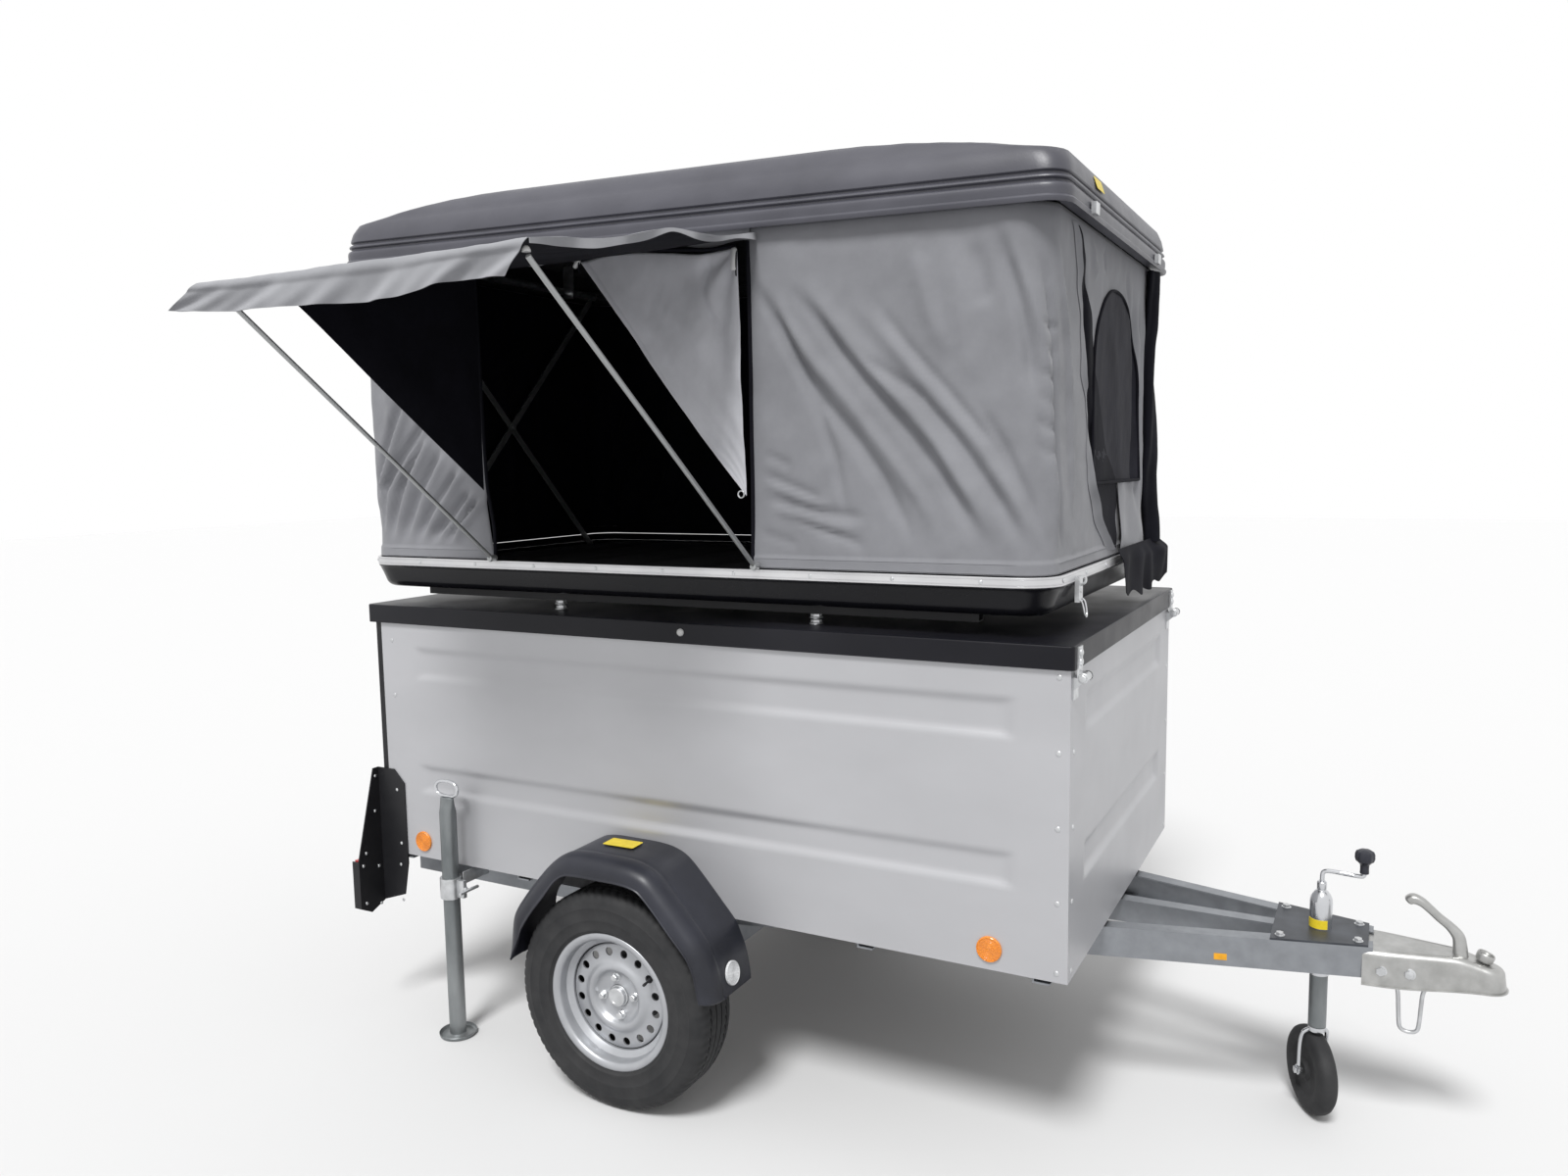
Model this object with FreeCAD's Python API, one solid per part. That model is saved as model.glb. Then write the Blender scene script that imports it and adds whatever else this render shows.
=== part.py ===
import FreeCAD, Part
import math
import os
from FreeCAD import Placement, Rotation, Vector

# Single-axle box trailer with a flat lid that carries an opened hard-shell roof tent.
# Millimetres. +X is forward to the tow coupling, +Y is left, +Z is up.
# The model is drawn with x = 0 at the wheel axle and z = 0 on the ground. Every piece is moved on
# export so that the origin is the centre of the tow ball in the coupling head.

# Driving sizes of the whole
BOX_HALF_W = 606.0
BOX_REAR_X = -926.0
BOX_FRONT_X = 1130.0
BOX_BOTTOM_Z = 499.0
LID_TOP_Z = 1256.0
SHEET = 3.0
BALL_X = 1958.0
BALL_Z = 431.0
BALL_R = 25.0
TYRE_R = 289.0
TYRE_W = 157.0
RIM_R = 182.5
WHEEL_STAND_OUT = 101.5
WHEEL_Y = BOX_HALF_W + WHEEL_STAND_OUT
OVERRUN = 5.0
FIT_GAP = 0.3
MOVE_GAP = 5.0
NEAR = 0.01

# Lid
LID_SHEET = 4.0
LID_SKIRT = 53.0
LID_SKIRT_T = 2.0
LID_SIDE_GAP = 6.5
LID_REAR_X = -971.0
LID_FRONT_GAP = 7.0
LID_CORNER_R = 12.0
LID_UNDER_Z = LID_TOP_Z - LID_SHEET
LID_HALF_W = BOX_HALF_W + LID_SIDE_GAP + LID_SKIRT_T
LID_FRONT_X = BOX_FRONT_X + LID_FRONT_GAP + LID_SKIRT_T
LID_SKIRT_Z = LID_TOP_Z - LID_SKIRT
WALL_TOP_Z = LID_UNDER_Z - FIT_GAP

# Tent
TENT_MID_X = 42.0
TENT_STAND_OFF = 50.0
TRAY_H = 66.0
TRAY_T = 5.0
TRAY_TAPER = 38.0
STRIP_HALF_L = 1043.0
STRIP_HALF_W = 588.0
STRIP_H = 24.0
STRIP_T = 8.0
STRIP_CORNER_R = 95.0
ROOF_OVERHANG_L = 28.0
ROOF_OVERHANG_W = 12.0
ROOF_HALF_L = STRIP_HALF_L + ROOF_OVERHANG_L
ROOF_HALF_W = STRIP_HALF_W + ROOF_OVERHANG_W
ROOF_CORNER_R = 60.0
ROOF_T = 5.0
ROOF_LIP_FRONT_Z = 2190.0
ROOF_TILT_DEG = 1.6
CANVAS_T = 6.0
CANVAS_INSET = 9.0
CANVAS_CORNER_R = 80.0
CANVAS_HALF_L = STRIP_HALF_L - CANVAS_INSET
CANVAS_HALF_W = STRIP_HALF_W - CANVAS_INSET
TRAY_BOTTOM_Z = LID_TOP_Z + TENT_STAND_OFF
TRAY_TOP_Z = TRAY_BOTTOM_Z + TRAY_H
STRIP_TOP_Z = TRAY_TOP_Z + STRIP_H

# Frame under the box
BEAM_H = 76.0
BEAM_W = 42.0
BEAM_T = 4.0
CROSS_H = 40.0
CROSS_W = 40.0
BEAM_DROP = 12.0
BEAM_TOP_Z = BOX_BOTTOM_Z - BEAM_DROP
BEAM_BOTTOM_Z = BEAM_TOP_Z - BEAM_H
BEAM_SIDE_GAP = 126.0
BEAM_REAR_Y = BOX_HALF_W - BEAM_SIDE_GAP
BEAM_BEND_X = 0.0
BEAM_TIP_X = 1722.0
BEAM_TIP_Y = 50.0
FLOOR_T = 12.0
FLOOR_TOP_Z = BEAM_TOP_Z + CROSS_H + FLOOR_T

NODES = {}


def box(x0, x1, y0, y1, z0, z1):
    """Block between two corners."""
    return Part.makeBox(x1 - x0, y1 - y0, z1 - z0, Vector(x0, y0, z0))


def rod(start, end, radius):
    """Round bar between two points."""
    run = Vector(*end) - Vector(*start)
    return Part.makeCylinder(radius, run.Length, Vector(*start), run)


def pipe(start, end, radius, wall):
    """Round tube between two points, open at both ends."""
    return rod(start, end, radius).cut(rod(start, end, radius - wall))


def plate(points, run):
    """Flat polygon pushed along a vector."""
    corners = [Vector(*p) for p in points]
    face = Part.Face(Part.makePolygon(corners + corners[:1]))
    return face.extrude(Vector(*run))


def rounded_outline(mid_x, half_l, half_w, radius, z):
    """Closed wire of a rectangle with round corners, level at z."""
    x0, x1, y0, y1 = mid_x - half_l, mid_x + half_l, -half_w, half_w
    k = radius * (1.0 - math.sqrt(0.5))
    edges = [
        Part.LineSegment(Vector(x0 + radius, y0, z), Vector(x1 - radius, y0, z)),
        Part.Arc(Vector(x1 - radius, y0, z), Vector(x1 - k, y0 + k, z), Vector(x1, y0 + radius, z)),
        Part.LineSegment(Vector(x1, y0 + radius, z), Vector(x1, y1 - radius, z)),
        Part.Arc(Vector(x1, y1 - radius, z), Vector(x1 - k, y1 - k, z), Vector(x1 - radius, y1, z)),
        Part.LineSegment(Vector(x1 - radius, y1, z), Vector(x0 + radius, y1, z)),
        Part.Arc(Vector(x0 + radius, y1, z), Vector(x0 + k, y1 - k, z), Vector(x0, y1 - radius, z)),
        Part.LineSegment(Vector(x0, y1 - radius, z), Vector(x0, y0 + radius, z)),
        Part.Arc(Vector(x0, y0 + radius, z), Vector(x0 + k, y0 + k, z), Vector(x0 + radius, y0, z)),
    ]
    return Part.Wire([edge.toShape() for edge in edges])


def rounded_block(mid_x, half_l, half_w, radius, z0, z1):
    """Upright block with round corners."""
    face = Part.Face(rounded_outline(mid_x, half_l, half_w, radius, z0))
    return face.extrude(Vector(0, 0, z1 - z0))


def rounded_loft(mid_x, sections):
    """Solid through level rounded rectangles, each given as half length, half width, radius, z."""
    wires = [rounded_outline(mid_x, *section) for section in sections]
    return Part.makeLoft(wires, True, True)


def turned(points, centre, axis):
    """Solid of revolution. Points are radius and distance along the axis."""
    profile = Part.makePolygon([Vector(r, 0, h) for r, h in points + points[:1]])
    solid = Part.Face(profile).revolve(Vector(0, 0, 0), Vector(0, 0, 1), 360)
    solid.Placement = Placement(Vector(*centre), Rotation(Vector(0, 0, 1), Vector(*axis)))
    return solid


def fused(pieces):
    """One solid from pieces that touch."""
    return pieces[0].fuse(pieces[1:]).removeSplitter() if len(pieces) > 1 else pieces[0]


def mirrored(shape):
    """The same shape on the other side of the trailer."""
    return shape.mirror(Vector(0, 0, 0), Vector(0, 1, 0))


def pair_of(shape):
    """A piece and its mirror image as two separate solids."""
    return Part.makeCompound([shape, mirrored(shape)])


def keep(name, shape):
    """Store a finished piece under its name."""
    NODES[name] = shape


# Floor frame, floor panel and the four sides of the box
CROSS_END_GAP = 60.0
CROSS_XS = (BOX_REAR_X + CROSS_END_GAP, -420.0, 150.0, 640.0, BOX_FRONT_X - CROSS_END_GAP)
SIDE_RAIL_W = 30.0
FOLD = 28.0
FLANGE = 55.0
POST_W = 44.0
POST_D = 20.0
SILL_H = 30.0
BAND_DEPTH = 9.0
BAND_SLOPE = 20.0
BAND_REAR_GAP = 126.0
BAND_FRONT_GAP = 118.0
BAND_REAR_X = BOX_REAR_X + BAND_REAR_GAP
BAND_FRONT_X = BOX_FRONT_X - BAND_FRONT_GAP
BAND_R = 40.0
BANDS = ((1036.0, 1138.0), (694.0, 786.0))
FRONT_BAND_GAP = 136.0
FRONT_BAND_HALF_W = BOX_HALF_W - FRONT_BAND_GAP


def floor_frame():
    """Cross members of folded steel on the long beams, closed by a rail along each side."""
    reach = BOX_HALF_W - SHEET
    side_z = BOX_BOTTOM_Z
    top_z = FLOOR_TOP_Z - FLOOR_T
    pieces = []
    for x in CROSS_XS:
        outer = box(x - CROSS_W / 2, x + CROSS_W / 2, -reach, reach, BEAM_TOP_Z, top_z)
        inner = box(x - CROSS_W / 2 + BEAM_T, x + CROSS_W / 2 + OVERRUN, -reach - OVERRUN, reach + OVERRUN,
                    BEAM_TOP_Z + BEAM_T, top_z - BEAM_T)
        pieces.append(outer.cut(inner))
    rear = BOX_REAR_X
    front = BOX_FRONT_X - SHEET
    for side in (-1, 1):
        y_out = side * reach
        y_in = side * (reach - SIDE_RAIL_W)
        low, high = min(y_out, y_in), max(y_out, y_in)
        pieces.append(box(rear, front, low, high, side_z, top_z))
    return fused(pieces)


def band_block(z0, z1, low, high, depth):
    """Long shallow pad with sloped edges and round ends, from the XZ plane towards +Y."""
    mid_x = (low + high) / 2
    mid_z = (z0 + z1) / 2
    half_l = (high - low) / 2
    half_h = (z1 - z0) / 2
    big = rounded_outline(0, half_l, half_h, BAND_R, 0)
    small = rounded_outline(0, half_l - BAND_SLOPE, half_h - BAND_SLOPE, BAND_R - BAND_SLOPE, depth)
    pad = Part.makeLoft([big, small], True, True)
    pad.Placement = Placement(Vector(mid_x, 0, mid_z), Rotation(Vector(1, 0, 0), -90))
    return pad


def pressed_sheet(low, high, z0, z1, bands, band_low, band_high):
    """Steel sheet in the XZ plane, outer face at y = 0 and body at y > 0, with bands pressed inwards."""
    sheet = box(low, high, 0, SHEET, z0, z1)
    for band_z0, band_z1 in bands:
        pad = band_block(band_z0, band_z1, band_low, band_high, BAND_DEPTH)
        bulge = pad.copy()
        bulge.translate(Vector(0, SHEET, 0))
        sheet = sheet.fuse(bulge).cut(pad)
    return sheet


def side_wall():
    """Right side wall: a pressed sheet folded over into a box edge at the top and a lip at the bottom."""
    sheet = pressed_sheet(BOX_REAR_X, BOX_FRONT_X, BOX_BOTTOM_Z, WALL_TOP_Z, BANDS, BAND_REAR_X, BAND_FRONT_X)
    front = BOX_FRONT_X - SHEET - FLANGE
    fold = box(BOX_REAR_X, front, 0, FOLD, WALL_TOP_Z - FOLD, WALL_TOP_Z)
    hollow = box(BOX_REAR_X - OVERRUN, front + OVERRUN, SHEET, FOLD - SHEET,
                 WALL_TOP_Z - FOLD + SHEET, WALL_TOP_Z - SHEET)
    wall = sheet.fuse(fold).cut(hollow)
    wall.translate(Vector(0, -BOX_HALF_W, 0))
    return wall.removeSplitter()


def front_wall():
    """Front wall: a pressed sheet with flanges that run back inside both side walls."""
    inside = BOX_HALF_W - SHEET
    sheet = pressed_sheet(-inside, inside, BOX_BOTTOM_Z, WALL_TOP_Z, BANDS, -FRONT_BAND_HALF_W,
                          FRONT_BAND_HALF_W)
    pieces = [sheet]
    for side in (-1, 1):
        edge = side * inside
        back = edge - side * SHEET
        pieces.append(box(min(edge, back), max(edge, back), 0, FLANGE, FLOOR_TOP_Z, WALL_TOP_Z))
    pieces.append(box(-inside, inside, 0, FOLD, WALL_TOP_Z - SHEET, WALL_TOP_Z))
    wall = fused(pieces)
    wall.rotate(Vector(0, 0, 0), Vector(0, 0, 1), 90)
    wall.translate(Vector(BOX_FRONT_X, 0, 0))
    return wall


def floor_panel():
    """Plywood floor inside the walls, short of the closed tailgate."""
    reach = BOX_HALF_W - SHEET - SHEET
    rear = BOX_REAR_X - POST_D + GATE_T + MOVE_GAP
    return box(rear, BOX_FRONT_X - SHEET, -reach, reach, FLOOR_TOP_Z - FLOOR_T, FLOOR_TOP_Z)


HINGE_PIN_R = 5.0
GATE_HINGE_SIDE_GAP = 206.0
GATE_HINGE_YS = (GATE_HINGE_SIDE_GAP - BOX_HALF_W, 0.0, BOX_HALF_W - GATE_HINGE_SIDE_GAP)
GATE_HINGE_W = 60.0
GATE_KNUCKLE_R = 9.0
GATE_LUG_T = 8.0
GATE_T = 22.0
GATE_HINGE_GAP = 1.0
GATE_AXIS_X = BOX_REAR_X - POST_D - GATE_KNUCKLE_R - GATE_HINGE_GAP
GATE_AXIS_Z = BOX_BOTTOM_Z + SILL_H / 2
GATE_BOTTOM_Z = BOX_BOTTOM_Z + SILL_H + MOVE_GAP
GATE_TOP_Z = LID_SKIRT_Z - MOVE_GAP - GATE_HINGE_GAP
GATE_HALF_W = BOX_HALF_W - POST_W - MOVE_GAP


def rear_frame():
    """Black steel portal at the back: two posts, a header, a sill and the fixed half of the gate's hinges."""
    rear = BOX_REAR_X - POST_D
    pieces = [box(rear, BOX_REAR_X, -BOX_HALF_W, BOX_HALF_W, BOX_BOTTOM_Z, BOX_BOTTOM_Z + SILL_H),
              box(rear, BOX_REAR_X, -BOX_HALF_W, BOX_HALF_W, GATE_TOP_Z + MOVE_GAP, WALL_TOP_Z)]
    for side in (-1, 1):
        out = side * BOX_HALF_W
        inn = side * (BOX_HALF_W - POST_W)
        pieces.append(box(rear, BOX_REAR_X, min(out, inn), max(out, inn), BOX_BOTTOM_Z, WALL_TOP_Z))
    for y in GATE_HINGE_YS:
        for side in (-1, 1):
            lug_y = y + side * (GATE_HINGE_W / 2 + GATE_LUG_T / 2)
            knuckle = rod((GATE_AXIS_X, lug_y - GATE_LUG_T / 2, GATE_AXIS_Z),
                          (GATE_AXIS_X, lug_y + GATE_LUG_T / 2, GATE_AXIS_Z), GATE_KNUCKLE_R)
            root = box(GATE_AXIS_X, rear, lug_y - GATE_LUG_T / 2, lug_y + GATE_LUG_T / 2,
                       GATE_AXIS_Z - GATE_KNUCKLE_R, GATE_AXIS_Z + GATE_KNUCKLE_R)
            pieces.extend([knuckle, root])
        reach = GATE_HINGE_W / 2 + GATE_LUG_T
        pieces.append(rod((GATE_AXIS_X, y - reach, GATE_AXIS_Z), (GATE_AXIS_X, y + reach, GATE_AXIS_Z),
                          HINGE_PIN_R))
    return fused(pieces)


def tailgate():
    """Tailgate panel between the posts, with pressed bands and a hinge strap at each knuckle."""
    rear = BOX_REAR_X - POST_D
    panel = box(rear, rear + GATE_T, -GATE_HALF_W, GATE_HALF_W, GATE_BOTTOM_Z, GATE_TOP_Z)
    for z0, z1 in BANDS:
        pad = band_block(z0, z1, -FRONT_BAND_HALF_W, FRONT_BAND_HALF_W, BAND_DEPTH)
        pad.rotate(Vector(0, 0, 0), Vector(0, 0, 1), -90)
        pad.translate(Vector(rear, 0, 0))
        panel = panel.cut(pad)
    pieces = [panel]
    half = GATE_HINGE_W / 2 - FIT_GAP
    for y in GATE_HINGE_YS:
        knuckle = rod((GATE_AXIS_X, y - half, GATE_AXIS_Z), (GATE_AXIS_X, y + half, GATE_AXIS_Z),
                      GATE_KNUCKLE_R)
        strap = box(GATE_AXIS_X - GATE_KNUCKLE_R, rear, y - half, y + half, GATE_AXIS_Z,
                    GATE_BOTTOM_Z + 2 * FOLD)
        bore = rod((GATE_AXIS_X, y - GATE_HINGE_W, GATE_AXIS_Z), (GATE_AXIS_X, y + GATE_HINGE_W, GATE_AXIS_Z),
                   HINGE_PIN_R + FIT_GAP)
        pieces.append(knuckle.fuse(strap).cut(bore))
    return fused(pieces)


GATE_LATCH_H = 74.0
GATE_LATCH_W = 30.0
GATE_LATCH_T = 8.0
GATE_LATCH_TOP_GAP = 10.0
GATE_LATCH_Z = GATE_TOP_Z - GATE_LATCH_TOP_GAP - GATE_LATCH_H / 2


def tailgate_latches():
    """Zinc rotary latches on both upper corners of the tailgate."""
    rear = BOX_REAR_X - POST_D
    pieces = []
    for side in (-1, 1):
        y = side * (GATE_HALF_W - GATE_LATCH_W / 2)
        pieces.append(box(rear - GATE_LATCH_T, rear, y - GATE_LATCH_W / 2, y + GATE_LATCH_W / 2,
                          GATE_LATCH_Z - GATE_LATCH_H / 2, GATE_LATCH_Z + GATE_LATCH_H / 2))
    return Part.makeCompound(pieces)


keep("floor_frame", floor_frame())
keep("floor_panel", floor_panel())
keep("side_wall_right", side_wall())
keep("side_wall_left", mirrored(side_wall()))
keep("front_wall", front_wall())
keep("rear_frame", rear_frame())
keep("tailgate", tailgate())
keep("tailgate_latches", tailgate_latches())

# Drawbar and long beams
CENTRE_BEAM_W = 40.0
CENTRE_BEAM_H = 60.0
JOCKEY_X = 1605.0
JOCKEY_TUBE_R = 24.0
JOCKEY_WALL = 2.5
JOCKEY_PLATE_T = 5.0
JOCKEY_PLATE_REAR_X = 1500.0
JOCKEY_PLATE_FRONT_X = 1712.0


def beam_y(x):
    """Distance of the drawbar's centre line from the middle."""
    if x <= BEAM_BEND_X:
        return BEAM_REAR_Y
    return BEAM_TIP_Y + (BEAM_REAR_Y - BEAM_TIP_Y) * (BEAM_TIP_X - x) / (BEAM_TIP_X - BEAM_BEND_X)


def drawbar_beam():
    """Left long beam: a C-section from the back of the box, bent inwards to the coupling."""
    half = BEAM_W / 2
    path = [BOX_REAR_X, BEAM_BEND_X, BEAM_TIP_X]

    def strip(left, right):
        outer = [(x, beam_y(x) + left, 0) for x in path]
        inner = [(x, beam_y(x) + right, 0) for x in reversed(path)]
        return outer + inner

    body = plate(strip(half, -half), (0, 0, BEAM_H))
    hollow = plate(strip(half - BEAM_T, -half - OVERRUN), (0, 0, BEAM_H - 2 * BEAM_T))
    hollow.translate(Vector(0, 0, BEAM_T))
    beam = body.cut(hollow)
    beam.translate(Vector(0, 0, BEAM_BOTTOM_Z))
    return beam


def centre_beam():
    """Middle beam from the second cross member to the jockey wheel plate."""
    rear = CROSS_XS[2]
    front = JOCKEY_X - JOCKEY_TUBE_R - MOVE_GAP
    top = BEAM_TOP_Z
    outer = box(rear, front, -CENTRE_BEAM_W / 2, CENTRE_BEAM_W / 2, top - CENTRE_BEAM_H, top)
    inner = box(rear - OVERRUN, front + OVERRUN, -CENTRE_BEAM_W / 2 + BEAM_T, CENTRE_BEAM_W / 2 - BEAM_T,
                top - CENTRE_BEAM_H + BEAM_T, top - BEAM_T)
    return outer.cut(inner)


def drawbar_plate():
    """Plate across the two beams that carries the jockey wheel's clamp."""
    rear, front = JOCKEY_PLATE_REAR_X, JOCKEY_PLATE_FRONT_X
    rear_y = beam_y(rear) + BEAM_W / 2
    front_y = beam_y(front) + BEAM_W / 2
    outline = [(rear, -rear_y, BEAM_TOP_Z), (front, -front_y, BEAM_TOP_Z), (front, front_y, BEAM_TOP_Z),
               (rear, rear_y, BEAM_TOP_Z)]
    sheet = plate(outline, (0, 0, JOCKEY_PLATE_T))
    hole = rod((JOCKEY_X, 0, BEAM_TOP_Z - OVERRUN), (JOCKEY_X, 0, BEAM_TOP_Z + JOCKEY_PLATE_T + OVERRUN),
               JOCKEY_TUBE_R)
    return sheet.cut(hole)


keep("drawbar_beams", pair_of(drawbar_beam()))
keep("drawbar_beam_centre", centre_beam())
keep("drawbar_plate", drawbar_plate())

# Coupling head, its lever and the rest loop under it
HEAD_REAR_X = 1700.0
HEAD_HALF_W = 34.0
HEAD_NOSE_R = 39.0
HEAD_T = 4.5
HEAD_REAR_LOW_Z = 397.0
HEAD_REAR_TOP_Z = 470.0
HEAD_DOME_Z = 478.0
LEVER_W = 22.0
LEVER_T = 9.0
LOOP_BEHIND_BALL = 153.0
LOOP_X = BALL_X - LOOP_BEHIND_BALL
LOOP_R = 26.0
LOOP_ROD_R = 5.0
LOOP_BOTTOM_Z = 270.0


def head_profile(inset):
    """Side outline of the coupling head, shrunk by an inset."""
    nose = BALL_X + HEAD_NOSE_R - inset
    low = BALL_Z - BALL_R + inset
    return [(HEAD_REAR_X, 0, HEAD_REAR_LOW_Z + inset), (BALL_X - 3 * BALL_R, 0, HEAD_REAR_LOW_Z + inset),
            (BALL_X - BALL_R, 0, low), (nose, 0, low), (nose, 0, BALL_Z + BALL_R / 2 - inset),
            (BALL_X + BALL_R / 2, 0, HEAD_DOME_Z - inset), (BALL_X - BALL_R, 0, HEAD_DOME_Z - inset),
            (HEAD_REAR_X, 0, HEAD_REAR_TOP_Z - inset)]


def coupling_head():
    """Pressed head: a sleeve over the beams' tips that widens to the dome over the ball."""
    half_run = 2 * HEAD_NOSE_R
    side = plate([(x, -half_run, z) for x, _, z in head_profile(0)], (0, 2 * half_run, 0))
    nose = rod((BALL_X, 0, 0), (BALL_X, 0, HEAD_DOME_Z + OVERRUN), HEAD_NOSE_R)
    tip_half = beam_y(HEAD_REAR_X) + BEAM_W / 2 + HEAD_T
    neck = plate([(HEAD_REAR_X, -tip_half, 0), (BEAM_TIP_X, -tip_half, 0), (BALL_X, -HEAD_NOSE_R, 0),
                  (BALL_X, HEAD_NOSE_R, 0), (BEAM_TIP_X, tip_half, 0), (HEAD_REAR_X, tip_half, 0)],
                 (0, 0, HEAD_DOME_Z + OVERRUN))
    head = side.common(nose.fuse(neck))
    socket = Part.makeSphere(BALL_R + FIT_GAP, Vector(BALL_X, 0, BALL_Z))
    throat = rod((BALL_X, 0, BALL_Z - 2 * BALL_R), (BALL_X, 0, BALL_Z), BALL_R + FIT_GAP)
    head = head.cut(socket.fuse(throat))
    head = head.cut(NODES["drawbar_beams"])
    gap_half = beam_y(HEAD_REAR_X) - BEAM_W / 2
    notch = box(HEAD_REAR_X - OVERRUN, BEAM_TIP_X, -gap_half, gap_half, 0, BEAM_TOP_Z - HEAD_T)
    return head.cut(notch)


def coupling_lever():
    """Curved hand lever over the coupling head."""
    foot = (BALL_X - 2 * BALL_R, HEAD_DOME_Z)
    tip = (BALL_X - 6 * BALL_R, HEAD_DOME_Z + 5 * BALL_R)
    mid = (BALL_X - 3 * BALL_R, HEAD_DOME_Z + 3.6 * BALL_R)
    arc = Part.Arc(Vector(foot[0], 0, foot[1]), Vector(mid[0], 0, mid[1]),
                   Vector(tip[0], 0, tip[1])).toShape()
    tangent = arc.tangentAt(arc.FirstParameter)
    section = Part.makePolygon([Vector(-LEVER_T / 2, -LEVER_W / 2, 0), Vector(LEVER_T / 2, -LEVER_W / 2, 0),
                                Vector(LEVER_T / 2, LEVER_W / 2, 0), Vector(-LEVER_T / 2, LEVER_W / 2, 0),
                                Vector(-LEVER_T / 2, -LEVER_W / 2, 0)])
    section.Placement = Placement(Vector(foot[0], 0, foot[1]), Rotation(Vector(0, 0, 1), tangent))
    return Part.Wire([arc]).makePipeShell([section], True, True)


def rest_loop():
    """Round-bar loop under the coupling head."""
    top = HEAD_REAR_LOW_Z
    bend_z = LOOP_BOTTOM_Z + LOOP_R
    pieces = []
    for side in (-1, 1):
        x = LOOP_X + side * LOOP_R
        pieces.append(rod((x, 0, bend_z), (x, 0, top), LOOP_ROD_R))
    bend = Part.makeTorus(LOOP_R, LOOP_ROD_R, Vector(LOOP_X, 0, bend_z), Vector(0, 1, 0))
    reach = LOOP_R + LOOP_ROD_R + OVERRUN
    half = box(LOOP_X - reach, LOOP_X + reach, -reach, reach, bend_z - reach, bend_z)
    pieces.append(bend.common(half))
    return fused(pieces)


keep("coupling_head", coupling_head())
keep("coupling_lever", coupling_lever())
keep("rest_loop", rest_loop())

# Axle, arms and fenders
AXLE_TUBE = 70.0
AXLE_TUBE_T = 5.0
AXLE_TUBE_X = 150.0
AXLE_SIDE_GAP = 46.0
AXLE_HALF_L = BOX_HALF_W - AXLE_SIDE_GAP
ARM_T = 22.0
ARM_END_R = 30.0
ARM_ROOT_R = 38.0
STUB_R = 16.0
STUB_L = 75.0
FENDER_MID_X = 8.5
FENDER_HALF_L = 317.5
FENDER_TOP_Z = 672.0
FENDER_STAND_OUT = 199.0
FENDER_OUT_Y = BOX_HALF_W + FENDER_STAND_OUT
FENDER_T = 4.0
FENDER_EDGE = 20.0
FENDER_SKIRT = 50.0
FENDER_END_SKIRT = 34.0
FENDER_END_Z = 350.0
FENDER_SHARES = ((-1.0, 0.0), (-1.0, 0.26), (-0.96, 0.41), (-0.56, 0.885), (-0.42, 0.975), (-0.31, 1.0),
                 (0.18, 1.0), (0.32, 0.978), (0.44, 0.915), (0.87, 0.46), (0.96, 0.26), (1.0, 0.05),
                 (1.0, 0.0))


def axle_tube():
    """Square axle tube under the long beams."""
    z0 = BEAM_BOTTOM_Z - AXLE_TUBE
    outer = box(AXLE_TUBE_X - AXLE_TUBE / 2, AXLE_TUBE_X + AXLE_TUBE / 2, -AXLE_HALF_L, AXLE_HALF_L, z0,
                BEAM_BOTTOM_Z)
    inner = box(AXLE_TUBE_X - AXLE_TUBE / 2 + AXLE_TUBE_T, AXLE_TUBE_X + AXLE_TUBE / 2 - AXLE_TUBE_T,
                -AXLE_HALF_L - OVERRUN, AXLE_HALF_L + OVERRUN, z0 + AXLE_TUBE_T, BEAM_BOTTOM_Z - AXLE_TUBE_T)
    return outer.cut(inner)


def swing_arm():
    """Left trailing arm of the rubber-sprung axle, with the stub that the hub turns on."""
    pivot_z = BEAM_BOTTOM_Z - AXLE_TUBE / 2
    y0 = AXLE_HALF_L
    y1 = AXLE_HALF_L + ARM_T
    root = rod((AXLE_TUBE_X, y0, pivot_z), (AXLE_TUBE_X, y1, pivot_z), ARM_ROOT_R)
    end = rod((0, y0, TYRE_R), (0, y1, TYRE_R), ARM_END_R)
    run = Vector(AXLE_TUBE_X, 0, pivot_z) - Vector(0, 0, TYRE_R)
    side = Vector(-run.z, 0, run.x).normalize()
    corners = []
    for centre, radius in ((Vector(0, y0, TYRE_R), ARM_END_R),
                           (Vector(AXLE_TUBE_X, y0, pivot_z), ARM_ROOT_R)):
        corners.append((centre + side * radius, centre - side * radius))
    web = plate([tuple(corners[0][0]), tuple(corners[1][0]), tuple(corners[1][1]), tuple(corners[0][1])],
                (0, ARM_T, 0))
    stub = rod((0, y1, TYRE_R), (0, y1 + STUB_L, TYRE_R), STUB_R)
    return fused([root, web, end, stub])


def fender_outline(inset_x, inset_z, y):
    """Side outline of the fender as points of an XZ plane, shrunk by an inset at its ends and its top."""
    height = FENDER_TOP_Z - FENDER_END_Z
    points = []
    for share_x, share_z in FENDER_SHARES:
        x = FENDER_MID_X + share_x * (FENDER_HALF_L - inset_x)
        z = FENDER_END_Z + share_z * (height - inset_z)
        points.append(Vector(x, y, z))
    points[0].z -= 2 * inset_z
    points[-1].z -= 2 * inset_z
    return points


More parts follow.
